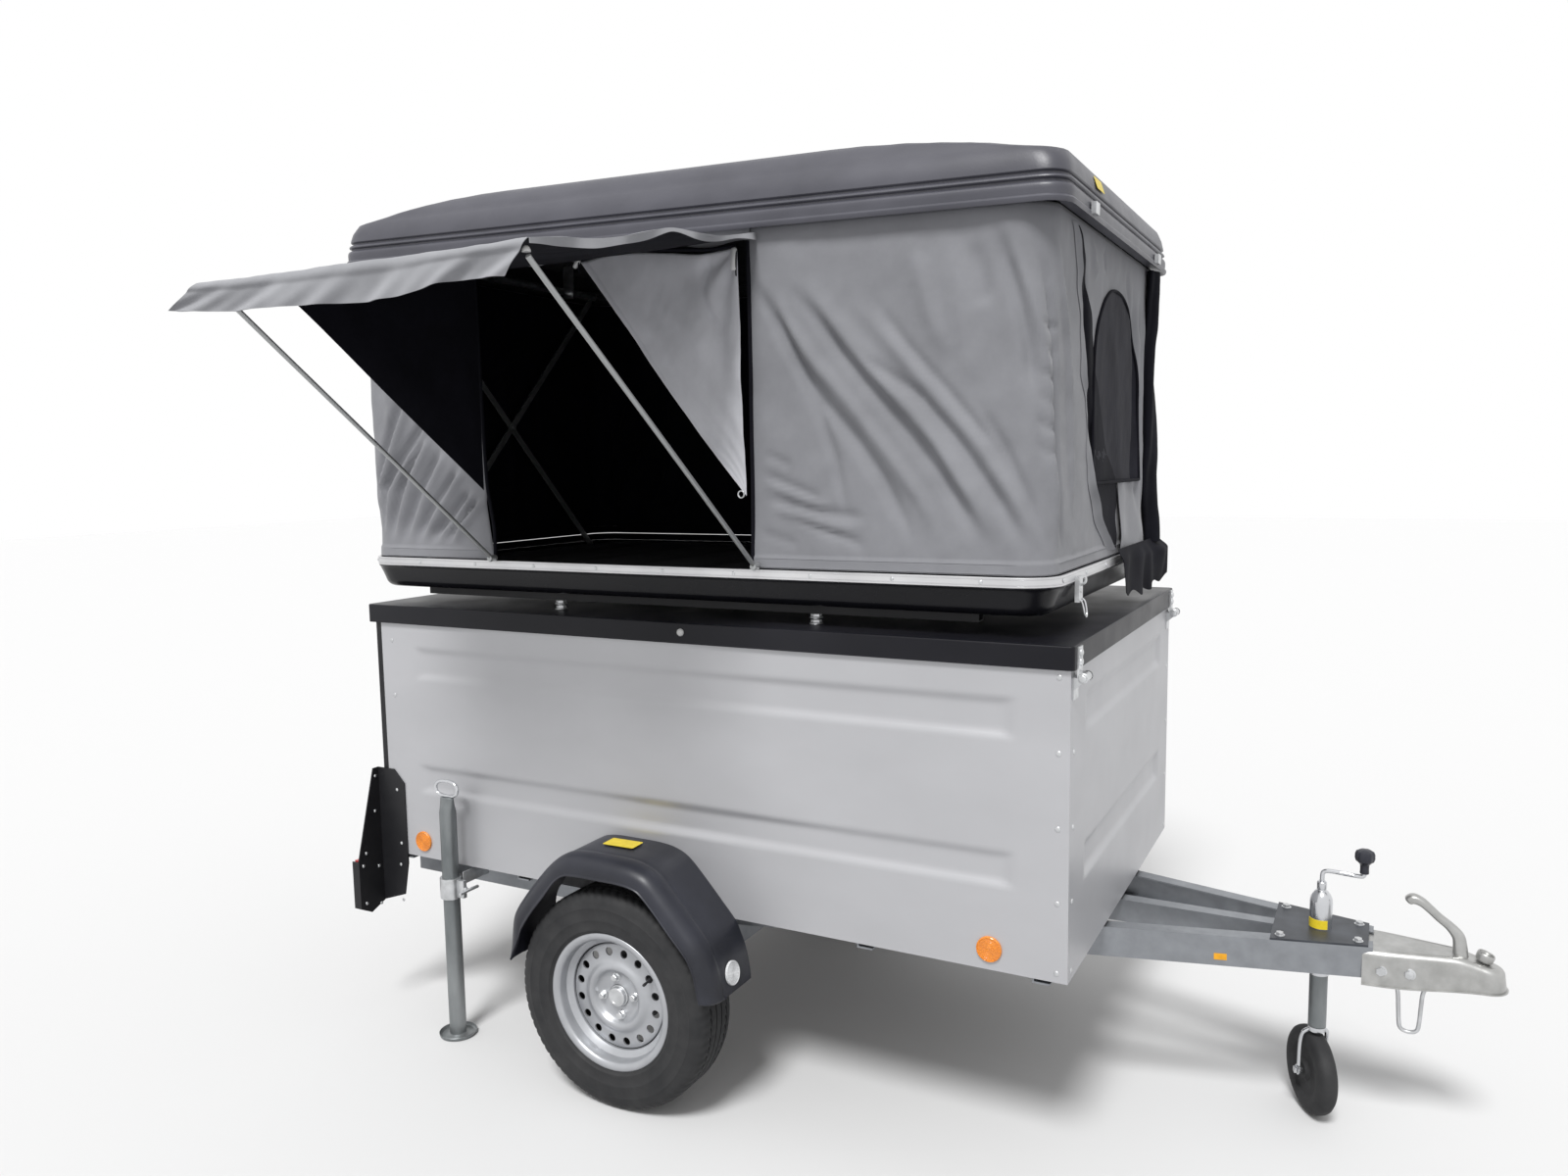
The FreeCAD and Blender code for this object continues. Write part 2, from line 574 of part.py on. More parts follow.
def fender():
    """Left wheel cover: a sheet bent over the wheel with a turned-down lip on its outer side."""
    inner_y = BOX_HALF_W
    run = FENDER_OUT_Y - inner_y

    def prism(inset_x, inset_z, y, length):
        points = fender_outline(inset_x, inset_z, y)
        return Part.Face(Part.makePolygon(points + points[:1])).extrude(Vector(0, length, 0))

    body = prism(0, 0, inner_y, run)
    outer_edges = [edge for edge in body.Edges
                   if all(abs(v.Y - FENDER_OUT_Y) < NEAR for v in edge.Vertexes)
                   and max(v.Z for v in edge.Vertexes) > FENDER_END_Z + FENDER_T]
    body = body.makeChamfer(FENDER_EDGE, outer_edges)
    inside = prism(FENDER_T, FENDER_T, inner_y - OVERRUN, run + OVERRUN - FENDER_EDGE)
    hollow = prism(FENDER_END_SKIRT, FENDER_SKIRT, inner_y - OVERRUN, run + 2 * OVERRUN)
    return body.cut(inside).cut(hollow)


REFLECTOR_R = 30.0
REFLECTOR_T = 6.0
REFLECTOR_LIFT = 49.0
REFLECTOR_Z = BOX_BOTTOM_Z + REFLECTOR_LIFT
REFLECTOR_REAR_GAP = 131.0
REFLECTOR_FRONT_GAP = 179.0
REFLECTOR_XS = (BOX_REAR_X + REFLECTOR_REAR_GAP, BOX_FRONT_X - REFLECTOR_FRONT_GAP)


def side_reflectors():
    """Four round orange reflectors, two on each side wall."""
    pieces = []
    for side in (-1, 1):
        for x in REFLECTOR_XS:
            pieces.append(rod((x, side * BOX_HALF_W, REFLECTOR_Z),
                              (x, side * (BOX_HALF_W + REFLECTOR_T), REFLECTOR_Z), REFLECTOR_R))
    return Part.makeCompound(pieces)


FRONT_REFLECTOR_IN = 111.0
FRONT_REFLECTOR_Y = FENDER_OUT_Y - FRONT_REFLECTOR_IN


def fender_reflectors():
    """White round reflectors, flat on the steep front faces of both fenders."""
    pieces = []
    for side in (-1, 1):
        outline = fender_outline(0, 0, side * FRONT_REFLECTOR_Y)
        high = outline[-3]
        low = outline[-2]
        run = high - low
        outward = Vector(run.z, 0, -run.x).normalize()
        middle = (low + high) / 2
        pieces.append(rod(tuple(middle), tuple(middle + outward * REFLECTOR_T), REFLECTOR_R))
    return Part.makeCompound(pieces)


keep("axle_tube", axle_tube())
keep("swing_arms", pair_of(swing_arm()))
keep("fenders", pair_of(fender()))
keep("side_reflectors", side_reflectors())
keep("fender_reflectors", fender_reflectors())

# Wheels
BEAD_R = 165.0
RIM_HALF_W = 67.0
RIM_T = 3.5
RIM_LIP = 4.0
RIM_CURL = 5.0
SEAT_W = 28.0
WELL_SLOPE = 17.0
WELL_R = 146.0
DISC_T = 4.0
DISC_RISE = 12.0
DISC_RING_W = 16.0
DISC_EDGE_W = 6.0
DISC_EDGE_DROP = 20.0
HUB_FACE = 22.0
BOLT_CIRCLE_R = 50.0
BOLT_COUNT = 4
BOLT_R = 9.5
BOLT_H = 12.0
VENT_COUNT = 16
VENT_CIRCLE_R = 119.0
VENT_R = 10.0
CENTRE_BORE_R = 29.0
DRUM_R = 95.0
DRUM_BACK = 10.0
CAP_R = 27.0
CAP_OUT = 38.0
CAP_STEP = 2.0
CAP_ROUND = 3.0
TYRE_WALL = 9.0
TREAD_T = 18.0
TREAD_EDGE_W = 24.0
TREAD_EDGE_R = 3.0
TYRE_SHOULDER_H = 16.0
TYRE_SHOULDER_W = 8.0
BEAD_GAP = 6.0


def tyre():
    """Tyre as a hollow ring, wheel axis along Z, middle at the origin."""
    half = TYRE_W / 2
    bead = RIM_HALF_W - BEAD_GAP
    wide_r = (RIM_R + TYRE_R) / 2
    outer = [(BEAD_R, bead - RIM_T), (RIM_R, bead), (wide_r, half),
             (TYRE_R - TYRE_SHOULDER_H, half - TYRE_SHOULDER_W), (TYRE_R - TREAD_EDGE_R, half - TREAD_EDGE_W),
             (TYRE_R, half / 3)]
    inner = [(TYRE_R - TREAD_T, half - TREAD_EDGE_W), (wide_r, half - TYRE_WALL),
             (BEAD_R, bead - RIM_T - TYRE_WALL)]
    outer = outer + [(r, -h) for r, h in reversed(outer)]
    inner = [(r, -h) for r, h in reversed(inner)] + inner
    return turned(outer + inner, (0, 0, 0), (0, 0, 1))


def rim():
    """Steel wheel: drop-centre rim and a dished disc pierced by a ring of round vents."""
    bead = BEAD_R - FIT_GAP
    well = WELL_R - RIM_T
    seat = RIM_HALF_W - SEAT_W
    floor = seat - WELL_SLOPE
    outer = [(RIM_R, RIM_HALF_W), (RIM_R, RIM_HALF_W - RIM_T), (bead, RIM_HALF_W - RIM_T - RIM_CURL),
             (bead, seat),
             (WELL_R, floor)]
    inner = [(well, floor - RIM_T / 2), (bead - RIM_T, seat - RIM_T / 2),
             (bead - RIM_T, RIM_HALF_W - RIM_T / 2),
             (RIM_R - RIM_LIP, RIM_HALF_W)]
    outer = outer + [(r, -h) for r, h in reversed(outer)]
    inner = [(r, -h) for r, h in reversed(inner)] + inner
    ring = turned(outer + inner, (0, 0, 0), (0, 0, 1))
    hub_r = BOLT_CIRCLE_R + DISC_RING_W
    face = [(CENTRE_BORE_R, HUB_FACE), (hub_r, HUB_FACE), (hub_r + DISC_RING_W, HUB_FACE + DISC_RISE),
            (VENT_CIRCLE_R - DISC_RING_W, HUB_FACE + DISC_RISE + CAP_STEP),
            (well - DISC_EDGE_W, HUB_FACE - CAP_STEP),
            (well, HUB_FACE - DISC_EDGE_DROP)]
    back = [(r, h - DISC_T) for r, h in reversed(face)]
    disc = turned(face + back, (0, 0, 0), (0, 0, 1))
    wheel = ring.fuse(disc)
    vents = []
    for i in range(VENT_COUNT):
        angle = 2 * math.pi * i / VENT_COUNT
        x, y = VENT_CIRCLE_R * math.cos(angle), VENT_CIRCLE_R * math.sin(angle)
        vents.append(rod((x, y, 0), (x, y, RIM_HALF_W), VENT_R))
    return wheel.cut(Part.makeCompound(vents))


def hub():
    """Brake drum, wheel bolts and the domed grease cap, on the stub's clearance bore."""
    back = HUB_FACE - DISC_T
    arm_face = AXLE_HALF_L + ARM_T - WHEEL_Y + MOVE_GAP
    bore_r = STUB_R + FIT_GAP
    bore_end = AXLE_HALF_L + ARM_T + STUB_L + CAP_STEP - WHEEL_Y
    drum = turned([(bore_r, arm_face), (DRUM_R, arm_face), (DRUM_R, -DRUM_BACK),
                   (BOLT_CIRCLE_R + DISC_RING_W - CAP_STEP, back), (bore_r, back)], (0, 0, 0), (0, 0, 1))
    cap_seat = CENTRE_BORE_R - FIT_GAP
    cap = turned([(0, back), (cap_seat, back), (cap_seat, HUB_FACE + CAP_ROUND),
                  (CAP_R, HUB_FACE + CAP_ROUND + CAP_STEP), (CAP_R - CAP_ROUND, CAP_OUT),
                  (0, CAP_OUT + CAP_ROUND)], (0, 0, 0), (0, 0, 1))
    pieces = [drum, cap.cut(rod((0, 0, 0), (0, 0, bore_end), bore_r))]
    for i in range(BOLT_COUNT):
        angle = 2 * math.pi * i / BOLT_COUNT
        x, y = BOLT_CIRCLE_R * math.cos(angle), BOLT_CIRCLE_R * math.sin(angle)
        pieces.append(rod((x, y, HUB_FACE), (x, y, HUB_FACE + BOLT_H), BOLT_R))
    return Part.makeCompound([pieces[0].fuse(pieces[1]), *pieces[2:]])


def on_wheel(shape, side):
    """Stand a wheel piece upright on one side, its outer face away from the box."""
    turned_up = shape.copy()
    axis = Vector(0, side, 0)
    turned_up.Placement = Placement(Vector(0, side * WHEEL_Y, TYRE_R), Rotation(Vector(0, 0, 1), axis))
    return turned_up


for side_name, side in (("left", 1), ("right", -1)):
    keep("tyre_" + side_name, on_wheel(tyre(), side))
    keep("rim_" + side_name, on_wheel(rim(), side))
    keep("hub_" + side_name, on_wheel(hub(), side))

# Rear lamp carriers and lamps
CARRIER_T = 4.0
CARRIER_STAND_OUT = 96.0
CARRIER_OUT_Y = BOX_HALF_W + CARRIER_STAND_OUT
CARRIER_IN_Y = BOX_HALF_W + SHEET
CARRIER_TOP_Z = 757.0
CARRIER_LOW_Z = 318.0
CARRIER_BEHIND = 26.0
CARRIER_REAR_X = BOX_REAR_X - POST_D - CARRIER_BEHIND
CARRIER_CHEEK_L = 110.0
CARRIER_FRONT_X = CARRIER_REAR_X + CARRIER_CHEEK_L
CARRIER_FOLD = 20.0
CARRIER_COVER = 2.0
CARRIER_CORNER = 40.0
CARRIER_LOW_SHARE = 0.05
CARRIER_CHEEK_SHARES = (0.12, 0.35)
CARRIER_KNEE_SHARE = 0.38
LAMP_W = 70.0
LAMP_H = 150.0
LAMP_T = 22.0
LAMP_SHIFT = 4.0


def lamp_carrier():
    """Left lamp carrier: folded black steel fixed to the side wall and standing out past it."""
    height = CARRIER_TOP_Z - CARRIER_LOW_Z
    low = CARRIER_LOW_Z + CARRIER_LOW_SHARE * height
    knee = CARRIER_LOW_Z + CARRIER_KNEE_SHARE * height
    cheek_low, cheek_high = [CARRIER_LOW_Z + share * height for share in CARRIER_CHEEK_SHARES]
    rear, front = CARRIER_REAR_X, CARRIER_FRONT_X
    wall, out = BOX_HALF_W, CARRIER_OUT_Y
    face = plate([(rear, CARRIER_IN_Y, low), (rear, out - CARRIER_CORNER, CARRIER_LOW_Z), (rear, out, low),
                  (rear, out, knee), (rear, CARRIER_IN_Y + CARRIER_FOLD, CARRIER_TOP_Z),
                  (rear, CARRIER_IN_Y, CARRIER_TOP_Z)], (CARRIER_T, 0, 0))
    cheek = plate([(rear, wall, low), (front - CARRIER_FOLD, wall, cheek_low), (front, wall, cheek_high),
                   (front, wall, CARRIER_TOP_Z - CARRIER_CORNER),
                   (front - CARRIER_CORNER, wall, CARRIER_TOP_Z),
                   (rear, wall, CARRIER_TOP_Z)], (0, CARRIER_T, 0))
    edge_y = out - CARRIER_T
    back = rear - LAMP_T - CARRIER_COVER
    edge = box(back, rear + CARRIER_T, edge_y, out, low, knee)
    return fused([face, cheek, edge])


def rear_lamp():
    """Left rear lamp block on the back of its carrier."""
    mid_y = (CARRIER_IN_Y + CARRIER_OUT_Y) / 2 + LAMP_SHIFT
    low = CARRIER_LOW_Z + CARRIER_CORNER / 2
    low_y, high_y = mid_y - LAMP_W / 2, mid_y + LAMP_W / 2
    return box(CARRIER_REAR_X - LAMP_T, CARRIER_REAR_X, low_y, high_y, low, low + LAMP_H)


keep("lamp_carriers", pair_of(lamp_carrier()))
keep("rear_lamps", pair_of(rear_lamp()))

# Rear prop stands
PROP_REAR_GAP = 278.0
PROP_STAND_OUT = 47.0
PROP_X = BOX_REAR_X + PROP_REAR_GAP
PROP_Y = BOX_HALF_W + PROP_STAND_OUT
PROP_R = 24.0
PROP_WALL = 2.5
PROP_TOP_Z = 712.0
PROP_FOOT_R = 54.0
PROP_FOOT_H = 12.0
PROP_FOOT_WEB = 5.0
PROP_RING_FLAT = 1.0
PROP_RING_HALF_L = 37.0
PROP_RING_HALF_H = 30.0
PROP_RING_ROD_R = 4.5
CLAMP_H = 66.0
CLAMP_T = 6.0
CLAMP_LOW_Z = 448.0
CLAMP_ARM_H = 40.0
CLAMP_STEM_R = 4.0
CLAMP_TEE_R = 5.0


def prop():
    """Left prop stand: a capped tube with a dished foot."""
    tube = pipe((PROP_X, PROP_Y, PROP_FOOT_WEB), (PROP_X, PROP_Y, PROP_TOP_Z), PROP_R, PROP_WALL)
    foot = turned([(0, 0), (PROP_FOOT_R - PROP_FOOT_WEB, 0), (PROP_FOOT_R, PROP_FOOT_H),
                   (PROP_FOOT_R - PROP_WALL, PROP_FOOT_H), (PROP_R + PROP_FOOT_WEB, PROP_FOOT_WEB),
                   (0, PROP_FOOT_WEB)], (PROP_X, PROP_Y, 0), (0, 0, 1))
    cap = rod((PROP_X, PROP_Y, PROP_TOP_Z), (PROP_X, PROP_Y, PROP_TOP_Z + PROP_WALL), PROP_R)
    return fused([tube, foot, cap])


def prop_ring():
    """Left prop's oval ring handle, welded on the tube's cap."""
    bar = 2 * PROP_RING_ROD_R
    bend_r = PROP_RING_HALF_H - PROP_RING_FLAT
    outer = rounded_block(0, PROP_RING_HALF_L, PROP_RING_HALF_H, bend_r, -PROP_RING_ROD_R, PROP_RING_ROD_R)
    inner = rounded_block(0, PROP_RING_HALF_L - bar, PROP_RING_HALF_H - bar, bend_r - bar, -bar, bar)
    ring = outer.cut(inner)
    ring.Placement = Placement(Vector(PROP_X, PROP_Y, PROP_TOP_Z + PROP_WALL + PROP_RING_HALF_H),
                               Rotation(Vector(1, 0, 0), 90))
    return ring


def prop_clamp():
    """Left clamp: a sleeve on an arm under the box that the prop slides through, with its tightening tee."""
    low, high = CLAMP_LOW_Z - CLAMP_H / 2, CLAMP_LOW_Z + CLAMP_H / 2
    outer_r = PROP_R + FIT_GAP + CLAMP_T
    sleeve = rod((PROP_X, PROP_Y, low), (PROP_X, PROP_Y, high), outer_r)
    arm_z1 = BOX_BOTTOM_Z - MOVE_GAP
    arm_z0 = arm_z1 - CLAMP_ARM_H
    beam_face = BEAM_REAR_Y + BEAM_W / 2
    arm = box(PROP_X - CLAMP_H / 2, PROP_X + CLAMP_H / 2, beam_face, PROP_Y, arm_z0, arm_z1)
    bore = rod((PROP_X, PROP_Y, 0), (PROP_X, PROP_Y, LID_TOP_Z), PROP_R + FIT_GAP)
    tee_x = PROP_X + outer_r + 3 * CLAMP_T
    stem = rod((PROP_X, PROP_Y, CLAMP_LOW_Z), (tee_x, PROP_Y, CLAMP_LOW_Z), CLAMP_STEM_R)
    tee = rod((tee_x, PROP_Y - CLAMP_H / 2, CLAMP_LOW_Z), (tee_x, PROP_Y + CLAMP_H / 2, CLAMP_LOW_Z),
              CLAMP_TEE_R)
    return fused([sleeve, arm, stem, tee]).cut(bore)


keep("prop_left", prop())
keep("prop_right", mirrored(prop()))
keep("prop_ring_left", prop_ring())
keep("prop_ring_right", mirrored(prop_ring()))
keep("prop_clamps", pair_of(prop_clamp()))

# Jockey wheel
JOCKEY_TOP_Z = 578.0
JOCKEY_OUTER_LOW_Z = 372.0
JOCKEY_LEG_TOP_Z = 520.0
JOCKEY_WHEEL_R = 108.0
JOCKEY_WHEEL_W = 52.0
JOCKEY_WHEEL_HUB_R = 22.0
JOCKEY_WHEEL_BEAD_R = 62.0
JOCKEY_WHEEL_DISH = 10.0
JOCKEY_WHEEL_STEP = 6.0
JOCKEY_WHEEL_EDGE = 3.0
JOCKEY_TRAIL = 20.0
JOCKEY_SWIVEL_DEG = -62.0
FORK_T = 5.0
FORK_GAP = 6.0
FORK_CROWN_GAP = 14.0
CRANK_RISE = 46.0
CRANK_REACH = 92.0
CRANK_ROD_R = 6.0
CRANK_KNOB_R = 15.0
CRANK_KNOB_H = 56.0
JOCKEY_INNER_R = JOCKEY_TUBE_R - JOCKEY_WALL - FIT_GAP
CROWN_Z = 2 * JOCKEY_WHEEL_R + FORK_CROWN_GAP


def jockey_tube():
    """Outer jockey tube in its clamp block, closed by a head for the spindle."""
    tube = pipe((JOCKEY_X, 0, JOCKEY_OUTER_LOW_Z), (JOCKEY_X, 0, JOCKEY_TOP_Z), JOCKEY_TUBE_R, JOCKEY_WALL)
    head = rod((JOCKEY_X, 0, JOCKEY_TOP_Z), (JOCKEY_X, 0, JOCKEY_TOP_Z + 4 * JOCKEY_WALL), JOCKEY_TUBE_R)
    low = BEAM_TOP_Z + JOCKEY_PLATE_T
    block = pipe((JOCKEY_X, 0, low), (JOCKEY_X, 0, low + BEAM_W), JOCKEY_TUBE_R + 3 * JOCKEY_WALL,
                 3 * JOCKEY_WALL)
    return fused([tube, head, block])


def jockey_crank():
    """Crank of the jockey spindle with its black knob."""
    z0 = JOCKEY_TOP_Z + 4 * JOCKEY_WALL
    z1 = z0 + CRANK_RISE
    x1 = JOCKEY_X + CRANK_REACH
    pieces = [rod((JOCKEY_X, 0, z0), (JOCKEY_X, 0, z1), CRANK_ROD_R),
              Part.makeSphere(CRANK_ROD_R, Vector(JOCKEY_X, 0, z1)),
              rod((JOCKEY_X, 0, z1), (x1, 0, z1), CRANK_ROD_R),
              Part.makeSphere(CRANK_ROD_R, Vector(x1, 0, z1)),
              rod((x1, 0, z1), (x1, 0, z1 + CRANK_KNOB_H), CRANK_ROD_R),
              rod((x1, 0, z1 + CRANK_KNOB_H / 3), (x1, 0, z1 + CRANK_KNOB_H), CRANK_KNOB_R)]
    return fused(pieces)


def jockey_leg():
    """Inner jockey tube that slides in the outer one."""
    return pipe((JOCKEY_X, 0, CROWN_Z + FORK_T + FIT_GAP), (JOCKEY_X, 0, JOCKEY_LEG_TOP_Z), JOCKEY_INNER_R,
                JOCKEY_WALL)


def swivelled(shape):
    """Turn a piece about the jockey tube, to the way the wheel was left standing."""
    shape.rotate(Vector(JOCKEY_X, 0, 0), Vector(0, 0, 1), JOCKEY_SWIVEL_DEG)
    return shape


def jockey_fork():
    """Fork that swivels under the inner tube and holds the wheel's pin."""
    axle_x = JOCKEY_X - JOCKEY_TRAIL
    cheek_y = JOCKEY_WHEEL_W / 2 + FORK_GAP
    crown = box(axle_x - JOCKEY_INNER_R, JOCKEY_X + JOCKEY_INNER_R, -cheek_y - FORK_T, cheek_y + FORK_T,
                CROWN_Z, CROWN_Z + FORK_T)
    pieces = [crown]
    for side in (-1, 1):
        y0 = min(side * cheek_y, side * (cheek_y + FORK_T))
        cheek = plate([(axle_x - JOCKEY_INNER_R, y0, CROWN_Z + FORK_T),
                       (JOCKEY_X + JOCKEY_INNER_R, y0, CROWN_Z + FORK_T),
                       (axle_x + FORK_CROWN_GAP, y0, JOCKEY_WHEEL_R),
                       (axle_x - FORK_CROWN_GAP, y0, JOCKEY_WHEEL_R)],
                      (0, FORK_T, 0))
        eye = rod((axle_x, y0, JOCKEY_WHEEL_R), (axle_x, y0 + FORK_T, JOCKEY_WHEEL_R), FORK_CROWN_GAP)
        pieces.extend([cheek, eye])
    pieces.append(rod((axle_x, -cheek_y - 2 * FORK_T, JOCKEY_WHEEL_R),
                      (axle_x, cheek_y + 2 * FORK_T, JOCKEY_WHEEL_R),
                      HINGE_PIN_R))
    neck_r = JOCKEY_INNER_R - JOCKEY_WALL - FIT_GAP
    pieces.append(rod((JOCKEY_X, 0, CROWN_Z + FORK_T), (JOCKEY_X, 0, CROWN_Z + 6 * FORK_T), neck_r))
    return swivelled(fused(pieces))


def jockey_wheel():
    """Solid rubber jockey wheel."""
    half = JOCKEY_WHEEL_W / 2
    bore = HINGE_PIN_R + FIT_GAP
    web = half - JOCKEY_WHEEL_DISH
    profile = [(bore, half), (JOCKEY_WHEEL_HUB_R, half), (JOCKEY_WHEEL_HUB_R + JOCKEY_WHEEL_STEP, web),
               (JOCKEY_WHEEL_BEAD_R, web), (JOCKEY_WHEEL_BEAD_R + JOCKEY_WHEEL_STEP,
                                            half - JOCKEY_WHEEL_EDGE),
               (JOCKEY_WHEEL_R - JOCKEY_WHEEL_DISH, half), (JOCKEY_WHEEL_R - JOCKEY_WHEEL_EDGE, web),
               (JOCKEY_WHEEL_R, web - JOCKEY_WHEEL_DISH)]
    profile = profile + [(r, -h) for r, h in reversed(profile)]
    return swivelled(turned(profile, (JOCKEY_X - JOCKEY_TRAIL, 0, JOCKEY_WHEEL_R), (0, 1, 0)))


keep("jockey_tube", jockey_tube())
keep("jockey_crank", jockey_crank())
keep("jockey_leg", jockey_leg())
keep("jockey_fork", jockey_fork())
keep("jockey_wheel", jockey_wheel())

# Lid, its hinges and what carries the tent
LID_HINGE_SIDE_GAP = 34.0
LID_HINGE_Y = BOX_HALF_W - LID_HINGE_SIDE_GAP
LID_HINGE_W = 34.0
LID_HINGE_DROP = 18.0
LID_HINGE_T = 4.0
LID_HINGE_R = 10.0
LID_AXIS_X = LID_FRONT_X + LID_HINGE_T + LID_HINGE_R
LID_AXIS_Z = LID_SKIRT_Z - LID_HINGE_DROP
STIFFENER_W = 60.0
STIFFENER_H = 24.0
STIFFENER_Y = 260.0
STIFFENER_REAR_GAP = 90.0
STIFFENER_FRONT_GAP = 240.0
STUD_R = 9.0
STUD_XS = (-330.0, 470.0)
STUD_SIDE_GAP = 88.0
STUD_Y = STRIP_HALF_W - STUD_SIDE_GAP
RAIL_W = 34.0
RAIL_H = 22.0
RAIL_T = 3.0
RAIL_END_GAP = 190.0


def lid_panel():
    """Flat sheet lid with a turned-down skirt and two hat-section stiffeners underneath."""
    mid_x = (LID_REAR_X + LID_FRONT_X) / 2
    half_l = (LID_FRONT_X - LID_REAR_X) / 2
    outer = rounded_block(mid_x, half_l, LID_HALF_W, LID_CORNER_R, LID_SKIRT_Z, LID_TOP_Z)
    inner = rounded_block(mid_x, half_l - LID_SKIRT_T, LID_HALF_W - LID_SKIRT_T, LID_CORNER_R - LID_SKIRT_T,
                          LID_SKIRT_Z - OVERRUN, LID_UNDER_Z)
    pieces = [outer.cut(inner)]
    for side in (-1, 1):
        y = side * STIFFENER_Y
        pieces.append(box(BOX_REAR_X + STIFFENER_REAR_GAP, BOX_FRONT_X - STIFFENER_FRONT_GAP,
                          y - STIFFENER_W / 2,
                          y + STIFFENER_W / 2, LID_UNDER_Z - STIFFENER_H, LID_UNDER_Z))
    return fused(pieces)


def lid_hinge_straps():
    """Zinc straps on the front of the lid's skirt, each with a knuckle below it."""
    pieces = []
    half = LID_HINGE_W / 2
    for side in (-1, 1):
        y = side * LID_HINGE_Y
        strap = box(LID_FRONT_X, LID_FRONT_X + LID_HINGE_T, y - half, y + half, LID_AXIS_Z,
                    LID_TOP_Z - LID_HINGE_T)
        knuckle = rod((LID_AXIS_X, y - half, LID_AXIS_Z), (LID_AXIS_X, y + half, LID_AXIS_Z), LID_HINGE_R)
        web = box(LID_FRONT_X, LID_AXIS_X, y - half, y + half, LID_AXIS_Z, LID_AXIS_Z + LID_HINGE_R)
        bore = rod((LID_AXIS_X, y - LID_HINGE_W, LID_AXIS_Z), (LID_AXIS_X, y + LID_HINGE_W, LID_AXIS_Z),
                   HINGE_PIN_R + FIT_GAP)
        pieces.append(fused([strap, knuckle, web]).cut(bore))
    return Part.makeCompound(pieces)


def lid_hinge_brackets():
    """Zinc brackets on the front wall with two ears and the pin of each lid hinge."""
    pieces = []
    half = LID_HINGE_W / 2
    for side in (-1, 1):
        y = side * LID_HINGE_Y
        parts = []
        for ear in (-1, 1):
            low = half + FIT_GAP
            y0 = min(ear * low, ear * (low + LID_HINGE_T)) + y
            parts.append(plate([(BOX_FRONT_X, y0, LID_AXIS_Z - 3 * LID_HINGE_R),
                                (LID_AXIS_X, y0, LID_AXIS_Z - LID_HINGE_R),
                                (LID_AXIS_X, y0, LID_AXIS_Z), (BOX_FRONT_X, y0, LID_AXIS_Z)],
                                (0, LID_HINGE_T, 0)))
            parts.append(rod((LID_AXIS_X, y0, LID_AXIS_Z), (LID_AXIS_X, y0 + LID_HINGE_T, LID_AXIS_Z),
                             LID_HINGE_R))
        reach = half + FIT_GAP + LID_HINGE_T
        parts.append(rod((LID_AXIS_X, y - reach, LID_AXIS_Z), (LID_AXIS_X, y + reach, LID_AXIS_Z),
                         HINGE_PIN_R))
        parts.append(box(BOX_FRONT_X, BOX_FRONT_X + LID_HINGE_T - GATE_HINGE_GAP, y - reach, y + reach,
                         LID_AXIS_Z - 5 * LID_HINGE_R, LID_AXIS_Z - 1.5 * LID_HINGE_R))
        pieces.append(fused(parts))
    return Part.makeCompound(pieces)


def tent_studs():
    """Four studs with spacers between the lid and the rails under the tent."""
    pieces = []
    for x in STUD_XS:
        for side in (-1, 1):
            y = side * STUD_Y
            pieces.append(rod((x, y, LID_TOP_Z), (x, y, TRAY_BOTTOM_Z - RAIL_H), STUD_R))
    return Part.makeCompound(pieces)


def tent_rails():
    """Two lengthwise channels under the tent's tray."""
    pieces = []
    half_l = STRIP_HALF_L - RAIL_END_GAP
    for side in (-1, 1):
        y = side * STUD_Y
        outer = box(TENT_MID_X - half_l, TENT_MID_X + half_l, y - RAIL_W / 2, y + RAIL_W / 2,
                    TRAY_BOTTOM_Z - RAIL_H, TRAY_BOTTOM_Z)
        inner = box(TENT_MID_X - half_l - OVERRUN, TENT_MID_X + half_l + OVERRUN, y - RAIL_W / 2 + RAIL_T,
                    y + RAIL_W / 2 - RAIL_T, TRAY_BOTTOM_Z - RAIL_H + RAIL_T, TRAY_BOTTOM_Z - RAIL_T)
        pieces.append(outer.cut(inner))
    return Part.makeCompound(pieces)


keep("lid_panel", lid_panel())
keep("lid_hinge_straps", lid_hinge_straps())
keep("lid_hinge_brackets", lid_hinge_brackets())
keep("tent_studs", tent_studs())
keep("tent_rails", tent_rails())

# Tent tray, edge strip and mattress
TRAY_STEP = 1.0
TRAY_CORNER_STEP = 5.0
MATTRESS_GAP = 12.0
MATTRESS_END_GAP = 46.0


